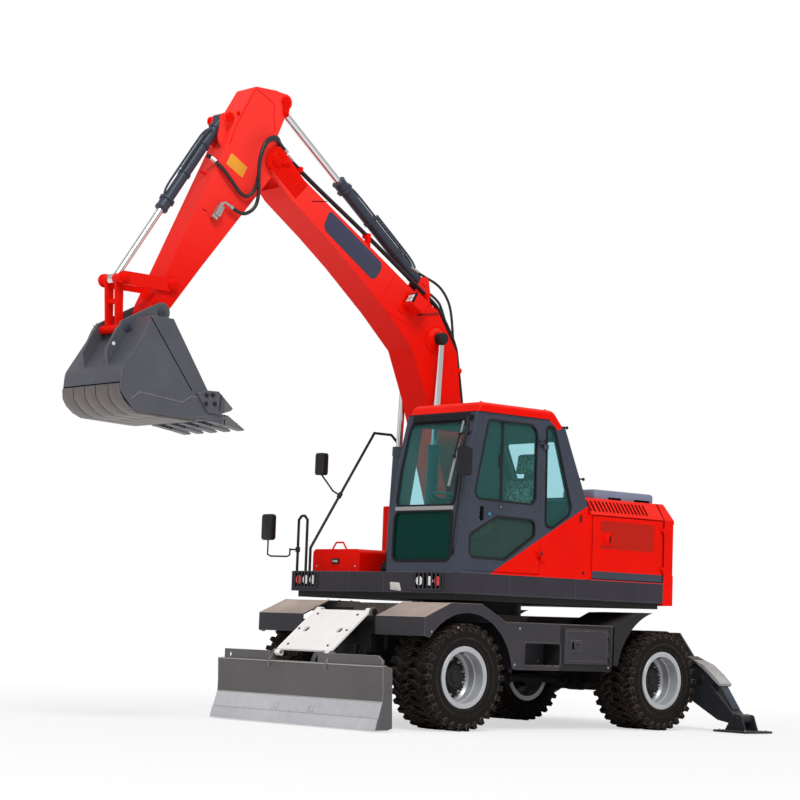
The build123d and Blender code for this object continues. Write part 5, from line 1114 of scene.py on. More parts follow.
# ---------------------------------------------------------------- blade and outriggers
@dataclass
class Blade:
    """The dozing blade, its links and its cylinder."""

    half: float = 1.25
    edge: tuple[Corner, ...] = ((2.284, 0.016), (2.256, 0.122), (2.249, 0.12), (2.276, 0.014))
    arm_y: float = 0.27

    def reflection_mask(self, graph: Graph) -> Sock:
        """1 on the lower face, which carries the painted sky reflection."""
        front = (graph.axis("X") + (graph.axis("Z") * 0.33)) > 2.262
        return front * (graph.axis("Z") < 0.2745) * (abs(graph.axis("Y")) < self.half - 0.001)

    def trim(self) -> None:
        """The bolted cutting edge in the grey of the painted sky reflection, bright lines along the blade's bends as
        painted highlights, the arms' pins and the lashing plates' bolts.
        """
        form = Form()
        form.plate(self.edge, Way.Y, -self.half + 0.002, self.half - 0.002, soft=0.0015)
        # Bright lines along the blade's bends: painted highlights.
        form.wear(1)
        for x, z, r in ((2.2002, 0.2745, 0.005), (2.206, 0.597, 0.006), (2.247, 0.123, 0.0035)):
            form.bar((x, -self.half + 0.004, z), (x, self.half - 0.004, z), r, sides=8)
        form.wear(2)
        for i in range(10):
            y = -self.half + 0.12 + i * (2 * self.half - 0.24) / 9
            form.bolt((2.2445, y, 0.066), (-1, 0, 0.2), 0.014, 0.016)
        turn = pivot("blade_turn")
        for s in SIDES:
            for off in (-0.06, 0.06):
                form.pinned((turn.x, s * (self.arm_y + 0.052), turn.z), s, 0.026)
                form.bolt((2.178, s * 0.95 + off, 0.64), (1, 0, 0), 0.01)
        form.piece("blade_edge_and_highlight_lines", "blade", [BLADE_PAINTED_REFLECTION, ZINC, DARK_STEEL], Slot.BLADE)

    def link_trim(self) -> None:
        """Seams, bolts and pins of the pale upper link."""
        start = pivot("blade_upper_turn")
        end = start + Vector((0.5, 0.0, -0.42))
        along = (end - start).normalized()
        up = facing(along.cross(LEFT).normalized())
        form = Form()
        for s in SIDES:
            a, b = start + along * 0.03 + up * 0.032, end - along * 0.03 + up * 0.032
            form.bar((a.x, s * 0.4, a.z), (b.x, s * 0.4, b.z), 0.005, sides=8)
        form.wear(1)
        for s in SIDES:
            for share, y in ((0.14, 0.3), (0.86, 0.3), (0.5, 0.36)):
                spot = start.lerp(end, share) + up * 0.032
                form.bolt((spot.x, s * y, spot.z), up, 0.01)
            form.pinned((start.x, s * 0.44, start.z), s, 0.022)
        form.piece("blade_link_trim", "blade_upper_link", [PALE, BLACK], Slot.PALE)

    def lines(self) -> None:
        """The lift cylinder's hoses, held on the chassis."""
        form = Form()
        for s in SIDES:
            form.hose([(1.605, s * 0.11, 0.99), (1.66, s * 0.12, 1.0), (1.715, s * 0.105, 0.93),
                       (1.73, s * 0.085, 0.83), (1.72, s * 0.07, 0.78)], 0.01)
            form.wear(1).bar((1.6, s * 0.11, 0.99), (1.618, s * 0.11, 0.992), 0.015, sides=6).wear(0)
        form.piece("blade_hoses", "undercarriage", [HOSE, ZINC], Slot.PLASTIC)

    def build(self) -> None:
        """Dress the solids and build the trim."""
        # The lower face takes the painted sky reflection.
        dress(Divided("blade_with_painted_reflection", BLADE_GREY, BLADE_PAINTED_REFLECTION, self.reflection_mask), "blade")
        dress(FRAME_GREY, "blade_arms")
        dress(PALE, "blade_upper_link")
        dress(SLATE, "blade_cylinder_barrel")
        dress(CHROME, "blade_cylinder_rod")
        self.trim()
        self.link_trim()
        self.lines()


@dataclass
class Outriggers:
    """The rear stabilisers."""

    leg_x: tuple[float, float] = (-2.46, -2.29)
    foot: tuple[float, float] = (1.7, 0.14)
    strip: tuple[tuple[float, float], ...] = ((1.385, 0.53), (1.64, 0.19))

    def guard_mask(self, graph: Graph) -> Sock:
        """1 on the weathered guard over the leg's knee."""
        y = abs(graph.axis("Y"))
        return (graph.axis("Z") + y * 0.72 > 1.517) * (y < 1.47)

    def leg_trim(self, side: str) -> None:
        """The leg's top strip, its pins and the foot's bolts."""
        lo, hi = self.leg_x
        form = Form()
        (y0, z0), (y1, z1) = self.strip
        form.plate([(y0 + 0.05, z0 - 0.062), (y1 - 0.03, z1 + 0.044), (y1 - 0.024, z1 + 0.05),
                    (y0 + 0.056, z0 - 0.056)], Way.X, lo + 0.028, hi - 0.028, soft=0.002)
        form.wear(1)
        for x, way in ((lo, -1), (hi, 1)):
            form.stub((x, 1.02, 0.735), (way * 0.003, 0, 0), 0.012, sides=12)
            for y, z in ((0.96, 0.44), (1.204, 0.529)):
                form.stub((x, y, z), (way * 0.012, 0, 0), 0.06 if y < 1 else 0.04, sides=32, soft=0.003)
            form.bolt((x + way * 0.001, 1.36, 0.395), (way, 0, 0), 0.012)
            form.bar((x + way * 0.018, self.foot[0], self.foot[1]), (x + way * 0.03, self.foot[0], self.foot[1]), 0.03,
                     sides=28, soft=0.003)
        form.wear(2).bolts([((lo + hi) / 2 + x, self.foot[0] + y, 0.028) for y in (-0.17, 0.17)
                            for x in (-0.17, 0.17)], UP, 0.01)
        form.on(side).piece(f"outrigger_trim_{side}", f"outrigger_{side}", [SLATE, DARK_STEEL, ZINC], Slot.WEATHERED)

    def frame_trim(self) -> None:
        """Bolts, pins, lines and rear lamps of the outriggers' cross frame."""
        form = Form()
        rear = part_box("outrigger_frame")[0].x
        for s in SIDES:
            for y, z in ((0.3, 0.93), (0.3, 0.42), (0.55, 0.93), (0.72, 0.42)):
                form.bolt((rear + 0.006, s * y, z), (-1, 0, 0), 0.014)
            form.stub((rear, s * 0.96, 0.44), (-0.01, 0, 0), 0.052, sides=32, soft=0.003)
            form.stub((rear + 0.006, s * 0.15, 0.9), (-0.012, 0, 0), 0.044, sides=28, soft=0.003)
        form.plate(rect(-0.3, 0.3, 0.62, 0.74, 0.02), Way.X, rear + 0.002, rear + 0.006, soft=0.001)
        form.wear(1)
        for s in SIDES:
            form.plate(rect(s * 0.62, s * 0.76, 0.66, 0.72, 0.012), Way.X, rear - 0.02, rear + 0.006, soft=0.003)
        form.wear(2)
        for s in SIDES:
            form.hose([(-2.3, s * 0.1, 0.985), (-2.4, s * 0.12, 0.96), (-2.5, s * 0.2, 0.965),
                       (-2.53, s * 0.32, 0.925)], 0.009)
        form.piece("outrigger_frame_trim", "undercarriage", [FRAME_GREY, RED_LENS, HOSE], Slot.FRAME)

    def build(self) -> None:
        """Dress the solids and build the trim."""
        dress(FRAME_GREY, "outrigger_frame")
        for side in HANDS:
            dress(Divided("leg_and_guard", LEG_SLATE, GUARD_GREY, self.guard_mask), f"outrigger_leg_{side}")
            dress(SLATE, f"outrigger_cylinder_{side}_barrel")
            dress(CHROME, f"outrigger_cylinder_{side}_rod")
            self.leg_trim(side)
        self.frame_trim()


# ---------------------------------------------------------------- house
@dataclass
class House:
    """The revolving deck, the engine's covers, the tanks and the counterweight."""

    deck_top: float = 1.5
    deck_step: float = 1.3
    deck_front: float = 1.335
    edge_z: float = 2.16
    top: float = 2.33
    tail_r: float = 2.15
    arc_steps: int = 40
    bead: float = 0.006
    seam_x: float = -1.594
    stripe: tuple[float, float] = (1.506, 1.591)

    def lamps(self) -> None:
        """The two lamp grilles in the deck's front, with their bulbs and a near-black plate behind each as painted
        shade, and the blank plate.
        """
        form = Form()
        x, z0, z1 = self.deck_front, 1.335, 1.49
        for y0, y1 in ((0.655, 1.075), (-1.18, -0.8)):
            frame_at = rect(y0, y1, z0, z1, 0.022)
            # A near-black plate behind each grille: painted shade.
            form.wear(3).plate(frame_at, Way.X, x - LAP, x + 0.002)
            form.wear(0).plate(grown(frame_at, 0.012), Way.X, x - 0.002, x + 0.012, soft=0.003, rim=0.016)
            for i in range(7):
                y = y0 + 0.03 + i * (y1 - y0 - 0.06) / 6
                form.plate(rect(*near(y, 0.008), z0, z1, 0.007), Way.X, x, x + 0.016, soft=0.003)
            outer = y1 - 0.075 if y1 > 0 else y0 + 0.085
            for y in (y1 - 0.075, y1 - 0.185, y0 + 0.085):
                bulb = (x, y, (z0 + z1) / 2)
                form.wear(2 if y == outer else 1).stub(bulb, (0.006, 0, 0), 0.048, 0.042, sides=32, soft=0.002)
        form.wear(4).plate([(0.325, 1.325, 0.01), (0.485, 1.312, 0.01), (0.455, 1.392, 0.01), (0.318, 1.4, 0.01)],
                           Way.X, x - 0.002, x + 0.004, soft=0.001)
        form.piece("deck_lamps", "house", [DECK_GREY, LENS, RED_LENS, VOID, PLATE_PALE], Slot.PLASTIC)

    def deck_trim(self) -> None:
        """The deck's edge beads, joints, pins, treads and bolts, and the hoses that rise to the boom."""
        form = Form()
        x = self.deck_front
        for z in (self.deck_step + self.bead, self.deck_top - self.bead):
            form.stub((x - 0.004, -1.19, z), (0, 2.38, 0), self.bead, sides=8)
        for s in SIDES:
            low = self.deck_step + self.bead
            form.seam([(x - 0.062, low), (-1.59, low)], s * (BODY_HALF - 0.004), self.bead)
            for at in (-0.3, 0.62):
                form.plate(rect(*near(at, 0.003), 1.304, 1.498), Way.Y, *near(s * BODY_HALF, 0.002))
        for y in (-0.3, 0.22):
            form.plate(rect(*near(y, 0.003), 1.304, 1.498), Way.X, x - 0.002, x + 0.002)
        for s in SIDES:
            for px, pz in ((0.09, 1.74), (0.742, 1.56)):
                off = 0.197 if px < 0.5 else 0.34
                form.pinned((px, BOOM_Y + s * off, pz), s, 0.034)
        form.wear(1)
        for row in range(4):
            px = 1.135 + row * 0.045
            for y in (-1.06 + k * 0.085 for k in range(9)):
                form.plate([(px, y - 0.026), (px + 0.014, y - 0.012), (px + 0.014, y + 0.026), (px, y + 0.012)], Way.Z,
                           self.deck_top - LAP, self.deck_top + 0.003)
        form.bolts([(0.46, -1.15 + k * 0.19, self.deck_top) for k in range(4)], UP, 0.009)
        form.wear(2)
        for i in range(6):
            y = BOOM_Y - 0.11 + i * 0.044
            form.hose([(-0.1 - 0.015 * i, y, 1.505), (-0.12 - 0.015 * i, y, 1.8), (0.0, y, 2.05), (0.09, y, 2.12),
                       (0.13, y, 2.2)], 0.012)
        form.piece("deck_trim", "house", [DECK_GREY, ZINC, HOSE], Slot.SLATE)

    def hood_mask(self, graph: Graph) -> Sock:
        """1 on the dark stripe along the foot of the engine's covers."""
        z = graph.axis("Z")
        side = (abs(graph.axis("Y")) > BODY_HALF - 0.03)
        return (z > self.stripe[0]) * (z < self.stripe[1]) * side * (graph.axis("X") < -0.532)

    def slots(self) -> None:
        """The louvres cut along the hood's shoulders, each with a near-black plate in it as painted shade."""
        form = Form()
        run, drop = 0.12, self.top - self.edge_z
        out = Vector((0.0, drop, run)).normalized()
        slope = basis(Vector((1, 0, 0)), Vector((0, -run, drop)).normalized(), out)
        slot = rect(-0.011, 0.011, -0.068, 0.068, 0.0105)
        for start, pitch, count in ((-0.514, 0.06, 2), (-0.646, 0.0548, 14)):
            for x in (start - i * pitch for i in range(count)):
                spot = Vector((x, BODY_HALF - run / 2, self.edge_z + drop / 2)) + out * 0.0012
                place = Matrix.Translation(spot) @ slope
                form.wear(0).plate(grown(slot, 0.005), Way.Z, -0.002, 0.002, soft=0.001, rim=0.005, place=place)
                # A near-black plate in each louvre: painted shade inside it.
                form.wear(1).plate(slot, Way.Z, -0.001, 0.0006, place=place)
        form.both_sides()
        form.piece("hood_louvres", "house", [RED, VOID], Slot.RED)

    def mesh_panel(self, side: str) -> None:
        """The L-shaped perforated grille of an engine door, with its latch."""
        form = Form()
        y = BODY_HALF
        ell = [(-1.445, 1.82, 0.02), (-0.64, 1.82, 0.02), (-0.64, 1.85, 0.01), (-0.815, 1.85, 0.02),
               (-0.815, 1.985, 0.02), (-0.64, 1.985, 0.01), (-0.64, 2.1, 0.02), (-1.445, 2.1, 0.02)]
        form.wear(2).plate(ell, Way.Y, y - LAP, y + 0.0015)
        form.wear(0).plate(grown(ell, 0.006), Way.Y, y - LAP, y + 0.003, soft=0.001, rim=0.006)
        latch = rect(-0.79, -0.668, 1.862, 1.972, 0.016)
        form.plate(latch, Way.Y, y - LAP, y + 0.004, soft=0.001)
        form.plate(grown(latch, -0.016), Way.Y, y, y + 0.012, soft=0.004)
        # Near black in the latch's slot: painted shade. The thin lines after it are dark joints.
        form.wear(1).plate(rect(-0.782, -0.764, 1.88, 1.955, 0.004), Way.Y, y, y + 0.0125)
        form.plate(rect(-0.8, -0.64, 1.848, 1.853), Way.Y, y, y + 0.0025)
        for x0, x1, z0, z1 in ((-1.574, -0.524, 2.143, 2.146), (-1.574, -0.524, 1.514, 1.517),
                               (-0.527, -0.523, 1.518, 2.143), (-1.576, -1.572, 1.518, 2.143)):
            form.plate(rect(x0, x1, z0, z1), Way.Y, y - LAP, y + 0.0008)
        form.on(side).piece(f"engine_door_grille_{side}", f"hood_door_{side}", [RED, VOID, RED_MESH], Slot.RED)

    def hood_trim(self) -> None:
        """The hood's lid seams, vent, hinges and bolts, and the air box's lid with its slots."""
        form = Form()
        for x in (-0.62, -1.02):
            form.wear(1).plate(rect(x, x + 0.005, -1.12, 1.12), Way.Z, self.top - LAP, self.top + 0.001)
        form.plate(rect(-1.58, -0.52, -0.3, -0.295), Way.Z, self.top - LAP, self.top + 0.001)
        for s in SIDES:
            form.wear(0).block((-0.503, -0.448), sorted((s * 1.246, s * 0.3)), (1.506, 2.15))
            for z in (1.64, 2.04):
                form.stub((-1.582, s * (BODY_HALF + 0.014), z - 0.032), (0, 0, 0.064), 0.0095)
        form.wear(3)
        for i in range(7):
            y = -0.62 + i * 0.075
            form.block((-1.2, -0.66), (y, y + 0.035), (self.top - 0.001, self.top + 0.006), 0.002)
        form.wear(2).bolts([(x, y, self.top) for x in (-1.36, -0.56) for y in (-1.02, 1.02)], UP, 0.008)
        form.piece("hood_trim", "house", [RED, VOID, BLACK, DARK_STEEL], Slot.RED)
        form = Form()
        lo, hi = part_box("air_box")
        form.block((lo.x - 0.27, hi.x + 0.003), (lo.y + 0.001, hi.y + 0.003), (self.top - 0.01, hi.z + 0.003), 0.03)
        for x0, x1 in ((lo.x - 0.2, lo.x + 0.03), (lo.x + 0.23, lo.x + 0.42)):
            form.wear(1).plate(rect(x0, x1, self.top + 0.006, self.top + 0.026, 0.006), Way.Y, hi.y, hi.y + 0.0045)
        corners = [(x, y, hi.z) for x in (lo.x + 0.1, hi.x - 0.1) for y in (lo.y + 0.1, hi.y - 0.1)]
        form.wear(2).bolts(corners, UP, 0.007)
        form.piece("air_box_lid", "house", [AIR_BLUE, VOID, ZINC], Slot.SLATE)

    def bow(self, r: float, turn: float) -> list[tuple[float, float]]:
        """Points of an arc behind the slewing axis, as far as a turn to either side."""
        around = ((math.pi - turn) + 2 * turn * i / self.arc_steps for i in range(self.arc_steps + 1))
        return [(math.cos(t) * r, math.sin(t) * r) for t in around]

    def tail(self) -> None:
        """The counterweight's seams, rear lamps and lifting sockets, and its sloping crown."""
        form = Form()
        for z in (1.592, 2.118):
            turn = math.asin((BODY_HALF - 0.02) / self.tail_r)
            form.wear(1).hose([(*p, z) for p in self.bow(self.tail_r - 0.006, turn)], 0.004, sides=2)
        for s in SIDES:
            x = -math.sqrt((self.tail_r - 0.008) ** 2 - 0.8 ** 2)
            form.wear(0).block((x - 0.012, x + 0.02), (s * 0.72, s * 0.9), (1.7, 1.8), 0.008)
            form.wear(2).block((x - 0.016, x + 0.02), (s * 0.735, s * 0.885), (1.712, 1.788), 0.006)
            form.wear(0).stub((-1.78, s * 0.48, self.top - 0.032), (0, 0, 0.014), 0.05, sides=28, soft=0.004)
            form.wear(1).stub((-2.147, s * 0.32, 1.4), (0.029, 0, 0), 0.03, sides=20)
            corners = ((BODY_HALF - 0.001, 1.51), (BODY_HALF - 0.001, 2.16), (1.129, self.top - 0.003))
            form.hose([(self.seam_x, s * y, z) for y, z in corners], 0.005, straight=True, sides=2)
        form.hose([(self.seam_x, y, self.top - 0.003) for y in (-1.129, 1.129)], 0.006, straight=True, sides=2)
        crown = bmesh.new()
        rings = []
        for inset, z in ((0.0, self.edge_z - 0.001), (0.108, self.top + 0.001)):
            r, half = self.tail_r - inset, BODY_HALF - inset
            ring = [(-1.602, half), *self.bow(r, math.asin(half / r)), (-1.602, -half)]
            rings.append([crown.verts.new((x, y, z)) for x, y in ring])
            crown.faces.new(rings[-1])
        low, high = rings
        for corners in zip(low, low[1:] + low[:1], high[1:] + high[:1], high):
            crown.faces.new(corners)
        bmesh.ops.recalc_face_normals(crown, faces=crown.faces)
        form.wear(0).keep(crown)
        form.piece("counterweight_trim", "house", [RED, VOID, RED_LENS], Slot.RED)

    def tank_and_chest(self) -> None:
        """The filler cap, the sight glass, seams and handles of the side tank and the tool chest."""
        form = Form()
        lo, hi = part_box("side_tank")
        for z in (lo.z + 0.006, hi.z - 0.012, 1.92):
            form.plate(rect(lo.x + 0.002, hi.x - 0.062, z, z + 0.006), Way.Y, lo.y - 0.002, lo.y + 0.001)
        form.wear(1).stub((-0.28, -0.92, hi.z - 0.002), (0, 0, 0.032), 0.062, sides=36, soft=0.006)
        form.stub((-0.28, -0.92, hi.z + 0.028), (0, 0, 0.016), 0.045, sides=12, soft=0.004)
        form.plate(rect(-0.4, -0.36, 1.6, 2.1, 0.02), Way.Y, lo.y - 0.004, lo.y, soft=0.001)
        for y in (-1.1, -0.8, -0.5):
            form.stub((hi.x - 0.001, y, 1.62), (0.007, 0, 0), 0.016, sides=18)
        form.wear(2)
        for k in range(6):
            form.plate(rect(-0.42, 0.04, -1.18 + k * 0.13, -1.14 + k * 0.13), Way.Z, hi.z - LAP, hi.z + 0.003)
        form.piece("side_tank_trim", "house", [RED, BLACK, DARK_STEEL], Slot.RED)
        form = Form()
        lo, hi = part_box("tool_chest")
        form.block((hi.x - 0.002, hi.x + 0.01), (-0.86, -0.74), (1.585, 1.64), 0.004)
        form.wear(1).block((hi.x + 0.008, hi.x + 0.014), (-0.84, -0.76), (1.598, 1.622), 0.003)
        for y in (-1.1, -0.49):
            form.stub((hi.x - 0.001, y, 1.56), (0.005, 0, 0), 0.009, sides=12)
        form.piece("tool_chest_latch", "house", [BLACK, ZINC], Slot.PLASTIC)

    def build(self) -> None:
        """Dress the solids and build the trim."""
        # Below z = 1.298 the deck takes the darkest steel: painted shade under the deck.
        dress(Divided("deck_with_painted_shade_below", DECK_GREY, DARK_STEEL, lambda g: g.axis("Z") < 1.298), "deck")
        dress(Divided("engine_cover_red", RED, SLATE, self.hood_mask), "hood", "hood_door_left", "hood_door_right")
        dress(RED, "counterweight", "side_tank", "tool_chest", "tool_chest_lid")
        dress(AIR_BLUE, "air_box")
        dress(DARK_STEEL, "engine")
        self.lamps()
        self.deck_trim()
        self.slots()
        for side in HANDS:
            self.mesh_panel(side)
        self.hood_trim()
        self.tail()
        self.tank_and_chest()


# ---------------------------------------------------------------- cab
@dataclass
class Cab:
    """The driver's cab, its door, seals, inner fittings, rails and mirrors."""

    right_y: float = 0.255
    front: tuple[Corner, ...] = ((1.335, 1.5), (1.318, 2.0), (1.245, 2.5), (1.11, 3.05))
    door_window: tuple[Corner, ...] = ((0.29, 2.195, 0.08), (1.135, 2.208, 0.08), (0.965, 2.985, 0.06),
                                       (0.29, 2.985, 0.11))
    door_light: tuple[Corner, ...] = ((0.29, 2.052, 0.07), (0.81, 2.062, 0.06), (1.172, 1.872, 0.06),
                                      (1.172, 1.645, 0.08), (0.69, 1.64, 0.06), (0.29, 1.888, 0.06))
    quarter: tuple[Corner, ...] = ((0.165, 2.985, 0.045), (0.06, 2.985, 0.045), (-0.205, 2.215, 0.05),
                                   (-0.18, 2.13, 0.04), (0.06, 1.985, 0.045), (0.15, 2.0, 0.045))
    right: tuple[Corner, ...] = ((0.25, 2.05, 0.08), (1.12, 2.05, 0.08), (0.96, 2.96, 0.08), (0.25, 2.96, 0.08))
    screens: tuple[tuple[float, float], ...] = ((1.605, 2.09), (2.135, 2.965))
    screen_y: tuple[float, float] = (0.33, 1.155)
    split: tuple[Corner, Corner] = ((0.842, 1.525), (-0.438, 2.229))
    seat: Point = (0.33, 0.7525, 1.865)
    hub: Point = (0.96, 0.7525, 2.23)

    def front_x(self, z: float) -> float:
        """The x of the cab's front face at a height."""
        for (x0, z0), (x1, z1) in zip(self.front, self.front[1:]):
            if z <= z1:
                return x0 + (x1 - x0) * (z - z0) / (z1 - z0)
        return self.front[-1][0]

    def red_side(self, graph: Graph) -> Sock:
        """1 below the sloping colour line of the cab's side."""
        (x0, z0), (x1, z1) = self.split
        slope = (z1 - z0) / (x1 - x0)
        line = graph.axis("Z") - graph.axis("X") * slope
        return line < z0 - x0 * slope

    def inner(self, graph: Graph) -> Sock:
        """1 on the shell's inner faces."""
        y = graph.axis("Y")
        room = (y > self.right_y + 0.02) * (y < BODY_HALF - 0.022)
        z = graph.axis("Z")
        front = graph.axis("X") + (z - 2.0).most(0.0) * 0.146 + (z - 2.5).most(0.0) * 0.1
        rear = (graph.axis("X") > -0.425 + (z - 2.25).most(0.0) * 0.47)
        return room * (front < 1.29) * rear * (z > 1.52) * (z < 3.03)

    def shell(self) -> None:
        """Dress the shell, door, roof and panes."""
        outside = Divided("cab_outside", SLATE, RED, self.red_side)
        dress(Divided("cab_shell", outside, TRIM, self.inner), "cab_frame")
        dress(outside, "cab_door")
        dress(RED, "cab_roof")
        dress(Divided("screen_glass", GLASS, DARK_GLASS, lambda g: (g.axis("Z") < 2.11) * (g.axis("X") > 0.9)),
              "cab_glass")
        dress(Divided("door_glass", GLASS, LOW_GLASS, lambda g: g.axis("Z") < 2.1), "cab_door_glass")
        dress(TRIM, "cab_inside")
        dress(CLOTH, "seat_pads")
        dress(BLACK, "hand_rails", "mirrors")

    def seals(self) -> None:
        """The windows' rubber seals, the screen's bar and wiper, the catches and the body's seams."""
        form = Form()
        for shape, y, out in ((self.quarter, BODY_HALF, 0.004), (self.right, self.right_y, -0.004)):
            form.plate(grown(shape, 0.012), Way.Y, *sorted((y, y + out)), soft=0.0015, rim=0.026)
        y0, y1 = self.screen_y
        for z0, z1 in self.screens:
            corners = rect(y0, y1, z0, z1, 0.07)
            part = Form()
            part.plate(grown(corners, 0.013), Way.X, -0.004, 0.004, rim=0.028)
            for z in (2.0, 2.5):
                bmesh.ops.bisect_plane(part.whole, geom=part.all(), plane_co=(0, 0, z), plane_no=UP)
            for vert in part.whole.verts:
                vert.co.x += self.front_x(vert.co.z)
            form.take(part.mesh())
        x = self.front_x(2.112)
        form.wear(2).block((x - 0.002, x + 0.012), (y0 - 0.002, y1 + 0.002), (2.094, 2.132), 0.004)
        header = ((2.955, -0.002), (2.955, 0.004), (3.04, 0.004), (3.04, -0.002))
        form.wear(0).plate([(self.front_x(z) + off, z) for z, off in header], Way.Y, y0 + 0.01, y1 - 0.005)
        foot, head = Vector((-0.446, 0.0, 2.229)), Vector((-0.088, 0.0, 2.996))
        along = (head - foot).normalized()
        rear = rect(0.365, 1.14, 0.09, (head - foot).length - 0.13, 0.06)
        form.plate(grown(rear, 0.014), Way.Z, -0.004, 0.004, soft=0.0015, rim=0.028,
                   place=Matrix.Translation(foot) @ basis(LEFT, along, LEFT.cross(along)))
        z0, z1 = 3.046, 3.054
        form.plate(rect(0.13, 1.108, z0, z1), Way.Y, BODY_HALF - LAP, BODY_HALF + 0.002)
        form.block((1.1, 1.114), (self.right_y + 0.01, BODY_HALF - 0.03), (z0, z1))
        spots = ((1.068, 2.32, 0.022), (1.1, 2.96, 0.022), (1.19, 2.845, 0.014), (1.105, 2.83, 0.036),
                 (1.092, 2.61, 0.04))
        wiper = [Vector((self.front_x(z) + off, y, z)) for y, z, off in spots]
        # The wiper blade in light grey: painted highlight along it.
        form.wear(2).bar(wiper[0], wiper[1], 0.015, 0.01, sides=10)
        form.wear(1).bar(wiper[2], wiper[3], 0.009, sides=8)
        form.bar(wiper[3], wiper[4], 0.01, sides=8)
        for spot, r in zip(wiper[2:], (0.022, 0.016, 0.02)):
            form.ball(spot, r)
        for x, z in ((-0.111, 2.993), (-0.366, 2.497)):
            form.ball((x, BODY_HALF + 0.004, z), 0.017, (1.0, 0.9, 1.0))
            form.bar((x, BODY_HALF - 0.004, z), (x + 0.055, BODY_HALF - 0.004, z + 0.004), 0.008, sides=8)
        form.stub((-0.402, BODY_HALF - 0.004, 1.564), (0, 0.016, 0), 0.014, sides=20, soft=0.004)
        form.stub((-0.452, 0.46, 1.7), (-0.02, 0, 0), 0.026, sides=24, soft=0.004)
        slot = [(-0.362, 2.06, 0.01), (-0.338, 2.066, 0.01), (-0.338, 2.142, 0.01), (-0.362, 2.136, 0.01)]
        form.plate(slot, Way.Y, BODY_HALF - LAP, BODY_HALF + 0.0042)
        form.wear(3).plate(grown(slot, 0.024), Way.Y, BODY_HALF - LAP, BODY_HALF + 0.006, soft=0.002, rim=0.016)
        form.wear(1).bolts([(self.front_x(z) + 0.012, 1.185, z + off) for z in (1.69, 2.99) for off in (0.012, -0.014)],
                           (1, 0, 0.1), 0.008)
        form.piece("cab_seals_and_wiper", "house", [SEAL, BLACK, BAR_GREY, RED], Slot.PLASTIC)

    def roof_trim(self) -> None:
        """The roof's bolts and hatch seam."""
        form = Form()
        form.bolts([(x, y, 3.148) for x in (0.1, 0.98) for y in (0.36, 1.15)], UP, 0.014, 0.012)
        form.wear(1).plate(rect(0.25, 0.86, 0.42, 1.09, 0.06), Way.Z, 3.1495, 3.1515, rim=0.01)
        form.wear(0).plate(rect(0.27, 0.84, 0.44, 1.07, 0.05), Way.Z, 3.149, 3.154, soft=0.002)
        form.piece("cab_roof_trim", "house", [RED, BLACK], Slot.RED)

    def door_trim(self) -> None:
        """The door's seals, sliding pane, handle, latch, caps and hinges."""
        form = Form()
        y = BODY_HALF
        for shape in (self.door_window, self.door_light):
            form.plate(grown(shape, 0.006), Way.Y, y - LAP, y + 0.003, soft=0.001, rim=0.02)
            form.plate(grown(shape, -0.001), Way.Y, y - 0.03, y - 0.01, rim=0.01)
        form.plate(rect(0.742, 0.772, 2.2, 2.984), Way.Y, y - 0.026, y - 0.008, soft=0.002)
        form.plate(rect(0.776, 0.8, 2.52, 2.66, 0.01), Way.Y, y - 0.014, y - 0.002, soft=0.003)
        # Three near-black lobes: painted shade in the handle's recess.
        for k in range(3):
            z = 2.036 + k * 0.042
            form.wear(1).stub((1.02, y - 0.001, z), (0, 0.004, 0), 0.03 - 0.003 * k, sides=28)
        form.wear(0).plate(rect(1.002, 1.022, 2.024, 2.134, 0.01), Way.Y, y, y + 0.018, soft=0.005)
        form.wear(3).stub((0.916, y, 2.075), (0, 0.004, 0), 0.014, sides=24)
        form.wear(1).stub((0.769, y, 2.15), (0, 0.003, 0), 0.017, sides=24)
        form.wear(2).stub((0.769, y, 2.15), (0, 0.005, 0), 0.01, sides=20, soft=0.001)
        form.wear(0)
        for z in (1.7, 2.8):
            form.stub((0.214, 1.272, z + 0.002), (0, 0, 0.045), 0.0115, sides=20)
            form.bolts([(0.214 + dx, 1.276, z + 0.023) for dx in (0.03, 0.052)], LEFT, 0.006)
        inner_edge = [(0.234, 1.532), (1.236, 1.532), (1.216, 2.0), (1.147, 2.5), (1.01, 3.024, 0.05), (0.234, 3.024)]
        form.plate(inner_edge, Way.Y, y - 0.047, y - 0.041, rim=0.012)
        form.hose([(1.1, y - 0.058, 2.16), (1.05, y - 0.075, 2.155), (0.7, y - 0.075, 2.155),
                   (0.64, y - 0.058, 2.16)], 0.01)
        form.piece("cab_door_trim", "cab_door", [BLACK, VOID, ZINC, BLUE_SPOT], Slot.PLASTIC)

